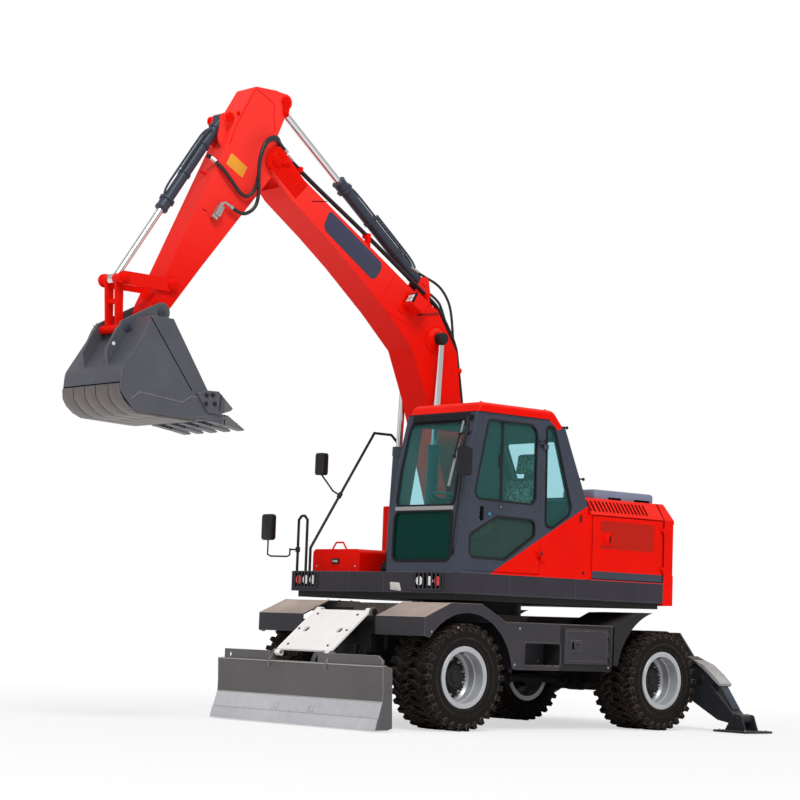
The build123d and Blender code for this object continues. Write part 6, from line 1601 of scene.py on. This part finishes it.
    def cockpit(self) -> None:
        """Levers, pedals, monitor, consoles' pads, the wheel's spokes and the driver's label."""
        x, y, z = self.seat
        form = Form()
        for s in SIDES:
            side = y + s * 0.32
            form.wear(0).block((x - 0.14, x + 0.31), near(side, 0.055), (z + 0.208, z + 0.236), 0.012)
            form.ball((x + 0.26, side, z + 0.395), 0.036, (0.85, 0.85, 1.5))
            form.wear(1).stub((x + 0.26, side, z + 0.43), (0, 0, 0.022), 0.014, 0.01, sides=16)
            form.wear(0).turned([(z + 0.21, 0.055), (z + 0.235, 0.05), (z + 0.25, 0.038), (z + 0.275, 0.036),
                                 (z + 0.29, 0.022)], (x + 0.26, side, 0), Way.Z, 24, closed=False)
            form.bar((x + 0.82, y + s * 0.09, 1.6), (x + 0.72, y + s * 0.09, 1.82), 0.011, sides=12)
            form.wear(2).block((x + 0.7, x + 0.74), near(y + s * 0.09, 0.04), (1.8, 1.92), 0.008)
            lever = side + s * 0.02
            form.wear(1).bar((x - 0.04, lever, z + 0.236), (x - 0.06, lever, z + 0.33), 0.009, sides=10)
            form.ball((x - 0.062, lever, z + 0.34), 0.018)
        form.wear(0).block((x + 0.5, x + 0.54), (self.right_y + 0.075, self.right_y + 0.275), (2.1, 2.25), 0.012)
        form.wear(3).block((x + 0.498, x + 0.501), (self.right_y + 0.09, self.right_y + 0.26), (2.115, 2.235), 0.001)
        form.wear(0).bar((x + 0.52, self.right_y + 0.06, 2.0), (x + 0.52, self.right_y + 0.12, 2.12), 0.014, sides=12)
        hub = Vector(self.hub)
        tilt = Vector((-0.17, 0.0, 0.695)).normalized()
        form.bar(hub - tilt * 0.03, hub + tilt * 0.035, 0.06, 0.05, sides=28, soft=0.006)
        form.bar(hub - tilt * 0.12, hub - tilt * 0.02, 0.042, sides=24, soft=0.004)
        for s in SIDES:
            form.bar(hub - tilt * 0.07, hub - tilt * 0.06 + LEFT * s * 0.17, 0.008, 0.011, sides=10)
        form.wear(4).block((x - 0.02, x + 0.1), (y + 0.262, y + 0.264), (z + 0.02, z + 0.15), 0.0)
        form.piece("cab_controls", "house", [BLACK, RED, DARK_STEEL, DARK_GLASS, PLATE_PALE], Slot.PLASTIC)

    def mirrors(self) -> None:
        """The mirrors' glasses and the clamps on their rails."""
        form = Form()
        for x, y, z, tall, wide in ((1.4, -1.545, 1.95, 0.27, 0.175), (1.045, -1.15, 2.62, 0.23, 0.14),
                                    (1.38, 1.37, 2.545, 0.27, 0.15)):
            w, h = wide / 2 - 0.012, tall / 2 - 0.012
            glass = rect(y - w, y + w, z - h, z + h, 0.022)
            form.wear(0).plate(glass, Way.X, x - 0.0325, x - 0.03)
            form.wear(1).plate(grown(glass, 0.006), Way.X, x - 0.032, x - 0.0285, soft=0.001, rim=0.01)
            form.ball((x + 0.002, y, z - tall / 2 + 0.012), 0.016)
            if y < -1.4:
                form.plate(grown(glass, 0.012), Way.X, *near(x, 0.03), soft=0.01)
                form.hose([(1.289, -1.316, 1.735), (1.289, -1.316, 1.665), (1.302, -1.345, 1.65), (1.383, -1.512, 1.65),
                           (1.4, -1.545, 1.668), (1.4, -1.545, 1.83)], 0.009, straight=True)
        form.piece("mirror_glasses", "house", [MIRROR_GLASS, BLACK], Slot.PLASTIC)

    def build(self) -> None:
        """Build all of the cab but its seat."""
        self.shell()
        self.seals()
        self.roof_trim()
        self.door_trim()
        self.cockpit()
        self.mirrors()


# ---------------------------------------------------------------- boom, arm and bucket
@dataclass
class Boom:
    """The boom with its plate, lamp, pipes, welds and cylinders' fittings."""

    half: float = 0.185
    tip: Corner = (2.776, 5.376)
    cylinder_eye: Corner = (0.639, 3.881)
    cylinder_y: float = 0.265
    weld: float = 0.0045
    pipe_r: float = 0.0125
    hose_r: float = 0.0135
    plate: tuple[Corner, ...] = ((2.098, 4.992, 0.035), (2.18, 4.8, 0.075), (1.5, 4.362, 0.07), (1.374, 4.545, 0.07))
    pipe_run: tuple[Corner, ...] = ((2.6, 5.42), (2.356, 5.262), (1.577, 4.822), (0.962, 4.446), (0.75, 4.318),
                                    (0.59, 4.215), (0.47, 4.06), (0.33, 3.85), (0.3, 3.69), (0.262, 3.5),
                                    (0.2, 3.13), (0.06, 2.44), (-0.01, 2.06))

    @property
    def left(self) -> float:
        """The y of the boom's left face."""
        return BOOM_Y + self.half

    def plates(self) -> None:
        """The blank name plates and the doubling plates on both sides."""
        form = Form()
        y = self.left
        form.wear(1).plate(self.plate, Way.Y, y - LAP, y + 0.003, soft=0.001)
        around = [(self.tip[0] + 0.128 * math.cos(t), self.tip[1] + 0.128 * math.sin(t))
                  for t in (math.radians(a) for a in range(-70, 131, 20))]
        form.wear(0).plate([*around, (2.392, 5.19, 0.03), (2.535, 5.04, 0.03)], Way.Y, y - 0.002, y + 0.006, soft=0.002)
        for weld in (((2.392, 5.19), (2.535, 5.04)), ((1.229, 4.461), (1.429, 4.173)),
                     ((1.314, 4.088), (0.969, 3.974), (0.82, 4.041), (0.779, 4.204)),
                     ((0.56, 3.7), (0.433, 3.639), (0.302, 3.349), (0.29, 3.0))):
            form.seam(weld, y, self.weld, ball=True)
        form.both_sides(BOOM_Y)
        form.wear(2).plate([(2.331, 5.036), (2.137, 5.066), (2.137, 5.074), (2.331, 5.044)], Way.Y, *near(y, 0.001))
        form.piece("boom_plates_and_welds", "boom", [RED, PLATE_BLUE, VOID], Slot.RED)

    def pins(self) -> None:
        """The pins' faces, their lock plates and the collars of the cylinder's bosses."""
        form = Form()
        for s in SIDES:
            face = BOOM_Y + s * (self.half + 0.016)
            x, z = self.tip
            form.wear(0).pinned((x, face - s * 0.012, z), s, 0.05)
            form.turned([(0.0, 0.06), (s * 0.012, 0.06), (s * 0.012, 0.07), (0.0, 0.072)],
                        (x, BOOM_Y + s * (self.half + 0.006), z), Way.Y, 40)
            lock = [(x - 0.09, z - 0.055, 0.01), (x - 0.05, z - 0.018, 0.01), (x - 0.128, z + 0.02, 0.01),
                    (x - 0.168, z - 0.02, 0.01)]
            form.plate(lock, Way.Y, *sorted((face - s * 0.01, face + s * 0.004)), soft=0.002)
            form.bolt((x - 0.108, face + s * 0.004, z - 0.018), (0, s, 0), 0.014)
            x, z = self.cylinder_eye
            base = BOOM_Y + s * self.half
            form.bar((x, base - s * 0.002, z), (x, base + s * 0.01, z), 0.15, sides=56, soft=0.004)
            form.bar((x, base + s * 0.008, z), (x, base + s * 0.038, z), 0.118, 0.08, sides=48)
            form.wear(1).pinned((x, BOOM_Y + s * (self.cylinder_y + 0.038), z), s, 0.04)
        form.piece("boom_pins", "boom", [RED, DARK_STEEL], Slot.RED)

    def lamp(self) -> None:
        """The work lamp in its cage on the left side, and its lead."""
        form = Form()
        y0 = self.left
        turn = spun((1.01, y0, 4.2), -30)
        form.plate([(1.17, 4.13, 0.02), (1.11, 4.08, 0.02), (0.9, 4.17, 0.02), (0.92, 4.3, 0.02), (1.06, 4.33, 0.02)],
                   Way.Y, y0 - LAP, y0 + 0.008, soft=0.002)
        form.wear(1).block((-0.058, 0.076), (0.012, 0.138), (-0.06, 0.072), 0.014, turn)
        form.wear(2).block((0.074, 0.08), (0.034, 0.118), (-0.038, 0.05), 0.006, turn)
        form.wear(1)
        for k in (0.062, 0.09):
            form.block((0.079, 0.082), near(k, 0.002), (-0.038, 0.05), 0.0, turn)
        form.block((0.079, 0.082), (0.034, 0.118), (0.004, 0.008), 0.0, turn)
        form.hose([(0.93, y0 + 0.1, 4.155), (0.925, y0 + 0.1, 4.105), (0.9, y0 + 0.06, 4.09), (0.86, y0 + 0.02, 4.108)],
                  0.006)
        form.bar((0.905, y0 + 0.014, 4.104), (0.846, y0 + 0.014, 4.114), 0.012, sides=12)
        form.hose([(0.85, y0 + 0.014, 4.114), (0.76, y0 + 0.012, 4.12), (0.62, y0 + 0.01, 4.15)], 0.005)
        form.wear(3).bolt((0.875, y0 + 0.012, 4.135), LEFT, 0.01)
        form.piece("boom_work_lamp", "boom", [RED, BLACK, LENS, ZINC], Slot.RED)

    def pipes(self) -> None:
        """The steel pipes along the boom's back, in their red clamps."""
        form = Form()
        for k, y in enumerate((self.left - 0.026, self.left - 0.062, BOOM_Y - 0.123, BOOM_Y - 0.159)):
            run = self.pipe_run if k < 2 else self.pipe_run[2:]
            form.hose([(x, y, z) for x, z in run], self.pipe_r)
        last = self.pipe_run[0]
        for y in (self.left - 0.026, self.left - 0.062):
            form.wear(2).bar((last[0] - 0.03, y, last[1] - 0.02), (last[0] + 0.03, y, last[1] + 0.022), 0.02, sides=6)
        for x, z in ((2.472, 5.338), (1.577, 4.816), (0.76, 4.318), (0.285, 3.6), (0.1, 2.64)):
            for y in (self.left - 0.044, BOOM_Y - 0.141):
                form.wear(1).block(near(x, 0.024), near(y, 0.042), (z - 0.026, z + 0.022), 0.006)
                form.bolt((x, y, z + 0.022), UP, 0.008)
        for x, z in ((1.577, 4.8), (0.76, 4.3)):
            form.wear(1).block(near(x, 0.016), (self.left - 0.06, self.left + 0.004), (z - 0.1, z + 0.002), 0.004)
        form.piece("boom_pipes", "boom", [HOSE, RED, ZINC], Slot.PLASTIC)

    def cylinder_hoses(self) -> None:
        """Two hoses from the arm cylinder's base down the boom's back, with the valve."""
        form = Form()
        y = BOOM_Y
        for off, run in ((0.055, ((0.88, 4.59), (0.743, 4.535), (0.506, 4.47), (0.373, 4.338), (0.317, 4.199),
                                  (0.285, 3.96), (0.25, 3.7))),
                         (0.02, ((0.64, 4.385), (0.48, 4.325), (0.4, 4.19), (0.335, 4.02), (0.27, 3.72)))):
            form.hose([(x, y + off, z) for x, z in run], self.hose_r, sides=4)
        form.wear(1).bar((0.9, y + 0.055, 4.6), (0.8, y + 0.055, 4.56), 0.02, sides=6)
        form.wear(2).block((0.62, 0.74), near(y, 0.05), (4.35, 4.415), 0.01,
                           spun((0.68, 0, 4.38), -34) @ Matrix.Translation((-0.68, 0, -4.38)))
        form.piece("arm_cylinder_hoses", "boom", [HOSE, ZINC, RED], Slot.PLASTIC)

    def build(self) -> None:
        """Dress the solids and build the fittings."""
        dress(BOOM_RED, "boom")
        dress(SLATE, "boom_cylinder_barrel", "arm_cylinder_barrel")
        dress(Divided("boom_rod", CHROME, DARK_STEEL, lambda g: g.axis("Z") > 3.812), "boom_cylinder_rod")
        dress(CHROME, "arm_cylinder_rod")
        self.plates()
        self.pins()
        self.lamp()
        self.pipes()
        self.cylinder_hoses()


@dataclass
class Arm:
    """The arm with its label, edge lips, valve, hoses and cylinder fittings."""

    half: float = 0.14
    label: tuple[Corner, ...] = ((3.291, 5.362, 0.006), (3.098, 5.254, 0.006), (3.153, 5.146, 0.006),
                                 (3.35, 5.248, 0.006))
    eye: Corner = (2.665, 5.969)
    base: Corner = (3.332, 5.697)
    weld: float = 0.004
    hose_r: float = 0.0175
    pipe_r: float = 0.011

    @property
    def left(self) -> float:
        """The y of the arm's left face."""
        return BOOM_Y + self.half

    def plates(self) -> None:
        """The blank label, doubling plates, weld seams and pins' faces."""
        form = Form()
        y = self.left
        for weld in (((3.028, 6.034), (2.805, 5.926), (2.806, 5.807), (2.783, 5.661)),
                     ((3.043, 6.02), (3.252, 5.627), (3.32, 5.44)), ((3.094, 4.953), (3.42, 5.17)),
                     ((3.94, 4.1), (3.8, 4.02), (3.735, 4.075))):
            form.seam(weld, y, self.weld, ball=True)
        for (x, z), r in ((self.eye, 0.056), (self.base, 0.05)):
            form.bar((x, y, z), (x, y + 0.012, z), r, sides=36, soft=0.003)
        x, z = self.eye
        form.plate([(x - 0.05, z + 0.01, 0.03), (x - 0.035, z - 0.15, 0.03), (x + 0.03, z - 0.15, 0.03),
                    (x + 0.05, z + 0.01, 0.03)], Way.Y, y - LAP, y + 0.01, soft=0.003)
        form.bolt((x - 0.003, y + 0.01, z - 0.112), LEFT, 0.018)
        x, z = self.base
        form.bolt((x - 0.1, y + 0.001, z + 0.06), LEFT, 0.016)
        form.both_sides(BOOM_Y)
        form.wear(1).plate(self.label, Way.Y, y - LAP, y + 0.0025, soft=0.0005)
        form.wear(2).plate([(3.6, 4.772), (3.548, 4.758), (3.548, 4.764), (3.6, 4.78)], Way.Y, *near(y, 0.001))
        form.piece("arm_plates_and_welds", "arm", [RED, PLATE_ORANGE, VOID], Slot.RED)

    def pins(self) -> None:
        """The guide links' pin in the arm's nose, with its collars."""
        form = Form()
        x, z = NOSE_PIN
        for s in SIDES:
            form.pinned((x, BOOM_Y + s * (self.half + 0.036), z), s, 0.036)
            form.turned([(0.0, 0.052), (s * 0.012, 0.05), (s * 0.012, 0.038), (0.0, 0.038)],
                        (x, BOOM_Y + s * (self.half + 0.03), z), Way.Y, 36)
        form.piece("arm_pins", "arm", [RED], Slot.RED)

    def valve(self) -> None:
        """The silver valve block on the arm's side, and its elbow."""
        form = Form()
        y = self.left
        turn = spun((3.445, y, 4.78), -28)
        form.block((-0.03, 0.03), (0.0, 0.075), (-0.06, 0.055), 0.008, turn)
        form.block((-0.024, 0.04), (0.015, 0.06), (-0.095, -0.058), 0.008, turn)
        form.bolts([turn @ Vector((0.0, 0.075, z)) for z in (-0.03, 0.02)], LEFT, 0.011)
        form.bar(turn @ Vector((0.0, 0.04, 0.05)), turn @ Vector((0.0, 0.04, 0.085)), 0.018, sides=6)
        run = ((3.41, 4.85), (3.385, 4.872), (3.345, 4.858), (3.31, 4.84))
        form.hose([(x, y + 0.045, z) for x, z in run], 0.013)
        form.piece("arm_valve", "arm", [ZINC], Slot.CHROME)

    def joint_hoses(self) -> None:
        """The two hoses that cross the joint between the boom and the arm in an S."""
        y = self.left
        runs = [
            [(2.64, 0.076, 5.47), (2.726, 0.085, 5.53), (2.81, 0.12, 5.572), (2.965, 0.165, 5.52), (3.045, 0.175, 5.33),
             (3.03, 0.15, 5.16), (3.05, y + 0.06, 5.01), (3.15, y + 0.035, 4.945), (3.29, y + 0.04, 5.07),
             (3.43, y + 0.045, 5.2), (3.51, 0.03, 5.285)],
            [(2.625, 0.04, 5.47), (2.72, 0.06, 5.545), (2.815, 0.135, 5.598), (2.99, 0.19, 5.53), (3.07, 0.2, 5.33),
             (3.045, 0.17, 5.16), (3.0, y + 0.07, 5.0), (3.02, y + 0.055, 4.87), (3.14, y + 0.05, 4.785),
             (3.25, y + 0.05, 4.806), (3.316, y + 0.045, 4.842)],
        ]
        for name, run in zip(("long", "short"), runs):
            form = Form().hose(run, self.hose_r, sides=4).wear(1)
            for a, b in ((run[0], run[1]), (run[-1], run[-2])):
                form.bar(a, between(a, b, 0.45), 0.021, sides=8)
            made = form.shown(f"joint_hose_{name}", [HOSE, ZINC])
            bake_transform(made)

    def cylinder_fittings(self) -> None:
        """Clamps, glands, pipes and bands on the arm's and the bucket's cylinders."""
        for barrel, base, end, r, gland in (
            ("arm_cylinder_barrel", (0.729, 4.457), self.eye, 0.06, 1.419),
            ("bucket_cylinder_barrel", self.base, GUIDE_PIN, 0.052, 1.144),
        ):
            form = Form()
            a, b = (Vector((x, BOOM_Y, z)) for x, z in (base, end))
            way = (b - a).normalized()
            up = facing(LEFT.cross(way))
            form.bar(a + way * (gland - 0.115), a + way * (gland - 0.088), r + 0.022, sides=36, soft=0.004)
            form.bar(a + way * (gland - 0.01), a + way * (gland + 0.012), r + 0.012, sides=36, soft=0.004)
            for k in range(6):
                out = up * math.cos(k * math.pi / 3) + LEFT * math.sin(k * math.pi / 3)
                form.bolt(a + way * (gland - 0.1) + out * (r + 0.02), out, 0.01)
            form.bar(a + way * 0.1, a + way * 0.13, r + 0.01, sides=36, soft=0.003)
            pipe = [a + way * along + up * (r + off) for along, off in (
                (gland - 0.13, 0.004), (gland - 0.16, 0.03), (gland * 0.62, 0.03), (gland * 0.34, 0.03),
                (0.22, 0.026), (0.17, -0.004))]
            for line in (pipe, [p + LEFT * 0.045 - up * 0.006 for p in pipe[2:]]):
                form.hose(line, self.pipe_r)
            for share in (0.3, 0.62):
                spot = a + way * gland * share
                form.bar(spot - way * 0.014, spot + way * 0.014, r + 0.009, sides=36, soft=0.002)
                for s in SIDES:
                    form.bolt(spot + LEFT * s * (r + 0.006) + up * 0.02, LEFT * s, 0.01, 0.02)
            form.piece(f"{barrel}_fittings", barrel, [SLATE], Slot.SLATE)

    def bucket_hoses(self) -> None:
        """The short hose's clamp by the bucket cylinder, and the red hook under it."""
        form = Form()
        form.wear(1).bar((3.508, 0.03, 5.285), (3.548, 0.016, 5.3), 0.021, sides=10)
        form.wear(0).bar((3.4, BOOM_Y + 0.04, 5.11), (3.56, BOOM_Y + 0.02, 5.16), 0.012, sides=12)
        form.piece("bucket_cylinder_hose_clamp", "arm", [RED, DARK_STEEL], Slot.PLASTIC)

    def build(self) -> None:
        """Dress the solids and build the fittings."""
        dress(BOOM_RED, "arm", "guide_links", "bucket_link")
        dress(SLATE, "bucket_cylinder_barrel")
        dress(CHROME, "bucket_cylinder_rod")
        self.plates()
        self.pins()
        self.valve()
        self.joint_hoses()
        self.cylinder_fittings()
        self.bucket_hoses()


@dataclass
class Bucket:
    """The bucket's wear parts, seams, teeth and pins."""

    half: float = 0.46
    arm_half: float = 0.14
    pin: Corner = (4.053, 3.744)
    teeth_x: float = 3.5
    back: tuple[Corner, ...] = ((4.648, 3.01), (4.64, 2.93), (4.6, 2.87), (4.53, 2.815), (4.44, 2.778), (4.24, 2.77),
                                (3.9, 2.757), (3.83, 2.758))

    def wear_strips(self) -> None:
        """Strips welded round the bucket's heel, the sides' seams and the rolled top edge."""
        form = Form()
        edges = (-0.541, -0.355, -0.172, 0.004, 0.2, 0.371)
        bands = [(0, y0 + 0.005, y1 - 0.005, 0.011, 0.002) for y0, y1 in zip(edges, edges[1:])]
        bands += [(2, *near(y, 0.006), 0.0095, 0.0) for y in edges[1:-1]]
        for skin, y0, y1, tall, soft in bands:
            half = (y1 - y0) / 2
            for (x0, z0), (x1, z1) in zip(self.back, self.back[1:]):
                a, b = Vector((x0, (y0 + y1) / 2, z0)), Vector((x1, (y0 + y1) / 2, z1))
                along = (b - a).normalized()
                out = -facing(along.cross(LEFT).normalized())
                form.wear(skin).block((-0.004, (b - a).length + 0.004), (-half, half), (-0.01, tall), soft,
                                      Matrix.Translation(a) @ basis(along, LEFT, out))
        seam = ((4.519, 2.893), (4.434, 2.96), (3.966, 2.913), (3.864, 2.977), (3.771, 2.975))
        for s in SIDES:
            y = BOOM_Y + s * self.half
            form.wear(1).seam(seam, y, 0.005)
            form.wear(2).seam(((4.346, 3.64), (3.866, 3.03)), y, 0.0045)
        form.bar((4.64, BOOM_Y - self.half + 0.01, 3.03), (4.64, BOOM_Y + self.half - 0.01, 3.03), 0.006, sides=8)
        form.piece("bucket_wear_strips", "bucket", [STRIP_STEEL, TOOTH_STEEL, VOID], Slot.BUCKET)

    def cutters(self) -> None:
        """The side cutters' bolts and the teeth's caps and locks."""
        form = Form()
        for s in SIDES:
            y = BOOM_Y + s * (self.half + 0.02)
            spots = ((3.711, 3.0), (3.64, 3.008), (3.714, 2.922), (3.615, 2.929))
            form.bolts([(x, y, z) for x, z in spots], (0, s, 0), 0.017, 0.016)
            form.plate([(3.552, 2.87), (3.566, 2.87), (3.548, 3.02), (3.534, 3.02)], Way.Y,
                       *sorted((y - s * 0.004, y + s * 0.002)))
        for i in range(5):
            y = BOOM_Y - self.half + 0.045 + i * (2 * self.half - 0.09) / 4
            for s in SIDES:
                form.wear(0).stub((3.54, y + s * 0.036, 2.805), (0, s * 0.012, 0), 0.014, sides=14, soft=0.002)
            form.block((3.47, 3.486), near(y, 0.045), (2.745, 2.842), 0.004)
            form.wear(1).block((3.3, 3.462), near(y, 0.01), (2.752, 2.806), 0.004,
                               spun((3.38, 0, 2.78), -18) @ Matrix.Translation((-3.38, 0, -2.78)))
        form.piece("bucket_cutters", "bucket", [DARK_STEEL, TOOTH_STEEL], Slot.BUCKET)

    def pins(self) -> None:
        """The pins' heads in the bucket's ears and the guide links, and the link's edge beads."""
        form, links, edges = Form(), Form(), Form()
        ear = self.arm_half + 0.066
        lo, hi = (Vector((x, BOOM_Y, z)) for x, z in (LINK_PIN, GUIDE_PIN))
        for s in SIDES:
            for x, z in (self.pin, LINK_PIN):
                form.wear(0).pinned((x, BOOM_Y + s * ear, z), s, 0.03)
            form.wear(1).stub((4.565, BOOM_Y + s * (ear - 0.001), 3.4), (0, s * 0.003, 0), 0.017, sides=20)
            links.pinned((hi.x, BOOM_Y + s * (self.arm_half + 0.042), hi.z), s, 0.032)
            off = LEFT * s * 0.096
            edges.bar(between(lo, hi, 0.1) + off, between(lo, hi, 0.9) + off, 0.005, sides=8)
        form.piece("bucket_pins", "bucket", [SLATE, PALE], Slot.BUCKET)
        links.piece("guide_link_pins", "guide_links", [RED], Slot.RED)
        edges.piece("bucket_link_edges", "bucket_link", [RED], Slot.RED)

    def build(self) -> None:
        """Dress the solids and build the fittings."""
        dress(Divided("bucket_and_teeth", BUCKET_STEEL, TOOTH_STEEL, lambda g: g.axis("X") < self.teeth_x), "bucket")
        self.wear_strips()
        self.cutters()
        self.pins()


# ---------------------------------------------------------------- the seat
@dataclass
class Seat:
    """The driver's seat cushions, inflated as cloth."""

    x: float = 0.33
    y: float = 0.7525
    z: float = 1.865
    lean: tuple[Corner, Corner] = ((-0.315, 0.02), (-0.1, 0.62))
    grain: float = 0.011
    pressure: float = 4.0
    stiffness: float = 15.0
    settling: int = 14

    def behind(self, up: float, off: float) -> Corner:
        """A point of the seat's rear line at a height, moved back."""
        (x0, z0), (run, rise) = self.lean
        return (self.x + x0 + run * (up - z0) / rise - off, self.z + up)

    def cushion(self, outline: Sequence[Corner], half: float) -> bpy.types.Object:
        """One padded block, remeshed and inflated in its sewn cover."""
        form = Form()
        form.plate(outline, Way.Y, self.y - half, self.y + half, soft=0.022)
        made = placed("cushion", form.mesh("cushion"))
        bpy.context.view_layer.objects.active = made
        remesh = made.modifiers.new("even", "REMESH")
        remesh.mode = "VOXEL"
        remesh.voxel_size = self.grain
        bpy.ops.object.modifier_apply(modifier=remesh.name)
        cloth = made.modifiers.new("inflated", "CLOTH")
        cloth.settings.use_pressure = True
        cloth.settings.uniform_pressure_force = self.pressure
        cloth.settings.effector_weights.gravity = 0.0
        cloth.settings.tension_stiffness = self.stiffness
        cloth.settings.compression_stiffness = self.stiffness
        cloth.settings.bending_stiffness = 2.0
        for step in range(1, self.settling + 1):
            bpy.context.scene.frame_set(step)
        bpy.ops.object.modifier_apply(modifier=cloth.name)
        bpy.context.scene.frame_set(1)
        return made

    def build(self) -> None:
        inner = 0.01
        x0, x1, z = self.x - 0.18, self.x + 0.288, self.z
        blocks = [
            ([(x0, z + inner), (x1, z + inner), (x1, z + 0.118, 0.03), (x0, z + 0.112)], 0.228),
            ([self.behind(0.03, -0.108), self.behind(0.03, -inner), self.behind(0.628, -inner),
              self.behind(0.628, -0.098)], 0.222),
            ([self.behind(0.678, -0.088), self.behind(0.678, -inner), self.behind(0.876, -inner),
              self.behind(0.876, -0.08)], 0.118),
        ]
        lo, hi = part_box("seat_pads")
        form = Form()
        for part in [self.cushion(shape, half) for shape, half in blocks]:
            form.whole.from_mesh(part.data)
            bpy.data.objects.remove(part)
        for vert in form.whole.verts:
            vert.co = Vector([min(max(c, a + 0.001), b - 0.001) for c, a, b in zip(vert.co, lo, hi)])
        mesh = form.mesh("seat_cushions")
        made = placed("seat_cushions", mesh, [CLOTH])
        mesh.shade_smooth()
        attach(made, "house")
        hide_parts("seat_pads")
        log.info("seat_cushions: %d faces on house", len(mesh.polygons))


# ---------------------------------------------------------------- stage
@dataclass
class Stage:
    """The pale floor, the white world, the lights and the camera."""

    eye: Point = (15.716, 16.611, 0.948)
    heading: float = 0.847021
    pitch: float = 0.10258
    roll: float = 0.035389
    lens: float = 99.875
    sensor: float = 36.0
    shift: float = 0.00256
    reach: float = 2000.0
    floor_half: float = 400.0
    world: float = 0.54
    sun: float = 1.85

    def floor(self) -> None:
        """A wide pale floor that fades into the white behind it."""
        ground = Form()
        bmesh.ops.create_grid(ground.whole, x_segments=1, y_segments=1, size=self.floor_half)
        made = placed("floor", ground.mesh("floor"))
        graph = Graph(bpy.data.materials.new("pale_floor"))
        x, y = graph.axis("X"), graph.axis("Y")
        far = ((x * x + y * y) ** 0.5).ramp(5.0, 12.0)
        seen = graph.out("ShaderNodeLightPath", result="Is Camera Ray")
        share = seen * (0.62 + 0.38 * far)
        diffuse = graph.out("ShaderNodeBsdfDiffuse", None, {"Color": _full((0.88, 0.88, 0.88))})
        white = graph.out("ShaderNodeEmission", None, {"Color": _full(WHITE), "Strength": 1.0})
        made.data.materials.append(graph.done(graph.mix(share, diffuse, white)))

    def sky(self) -> None:
        """White to the camera and through glass, softer as a source of light."""
        world = bpy.data.worlds.new("white_world")
        bpy.context.scene.world = world
        graph = Graph(world)
        path = graph.node("ShaderNodeLightPath")
        camera, glass = (Sock(graph, path.outputs[f"Is {kind} Ray"]) for kind in ("Camera", "Transmission"))
        levels = {"Value": camera.most(glass), "To Min": self.world, "To Max": 1.0}
        strength = graph.out("ShaderNodeMapRange", None, levels)
        graph.done(graph.out("ShaderNodeBackground", None, {"Color": _full(WHITE), "Strength": strength}), "World")

    def light(self, name: str, towards: Point, strength: float, angle: float) -> None:
        """Add one soft sun that shines towards a direction."""
        data = bpy.data.lights.new(name, "SUN")
        data.energy = strength
        data.angle = math.radians(angle)
        placed(name, data).rotation_euler = Vector(towards).to_track_quat("-Z", "Y").to_euler()

    def camera(self) -> None:
        """Set the camera from its place, heading, pitch and roll."""
        c, s = math.cos(self.roll), math.sin(self.roll)
        flat = math.cos(self.pitch)
        ahead = Vector((-math.cos(self.heading) * flat, -math.sin(self.heading) * flat, math.sin(self.pitch)))
        level = ahead.cross(UP).normalized()
        over = level.cross(ahead)
        across, above = c * level + s * over, c * over - s * level
        data = bpy.data.cameras.new("camera")
        data.lens = self.lens
        data.sensor_width = self.sensor
        data.shift_x = self.shift
        data.clip_end = self.reach
        made = placed("camera", data)
        made.matrix_world = Matrix.Translation(Vector(self.eye)) @ basis(across, above, -ahead)
        bpy.context.scene.camera = made

    def build(self) -> None:
        """Set the stage."""
        scene = bpy.context.scene
        scene.view_settings.view_transform = "Standard"
        self.floor()
        self.sky()
        self.light("high_sun", (-0.35, -0.62, -0.8), self.sun, 26.0)
        self.light("front_fill", (-0.8, 0.1, -0.3), 0.3, 60.0)
        self.camera()


def main() -> None:
    """Build the sub-assemblies in order."""
    logging.basicConfig(level=logging.INFO, format="%(message)s")
    for end in ("front", "rear"):
        for side in HANDS:
            Wheel(end, side).build()
    for assembly in (Undercarriage(), Blade(), Outriggers(), House(), Cab(), Seat(), Boom(), Arm(), Bucket(), Stage()):
        log.info("-- %s", type(assembly).__name__)
        assembly.build()


if __name__ == "__main__":
    main()
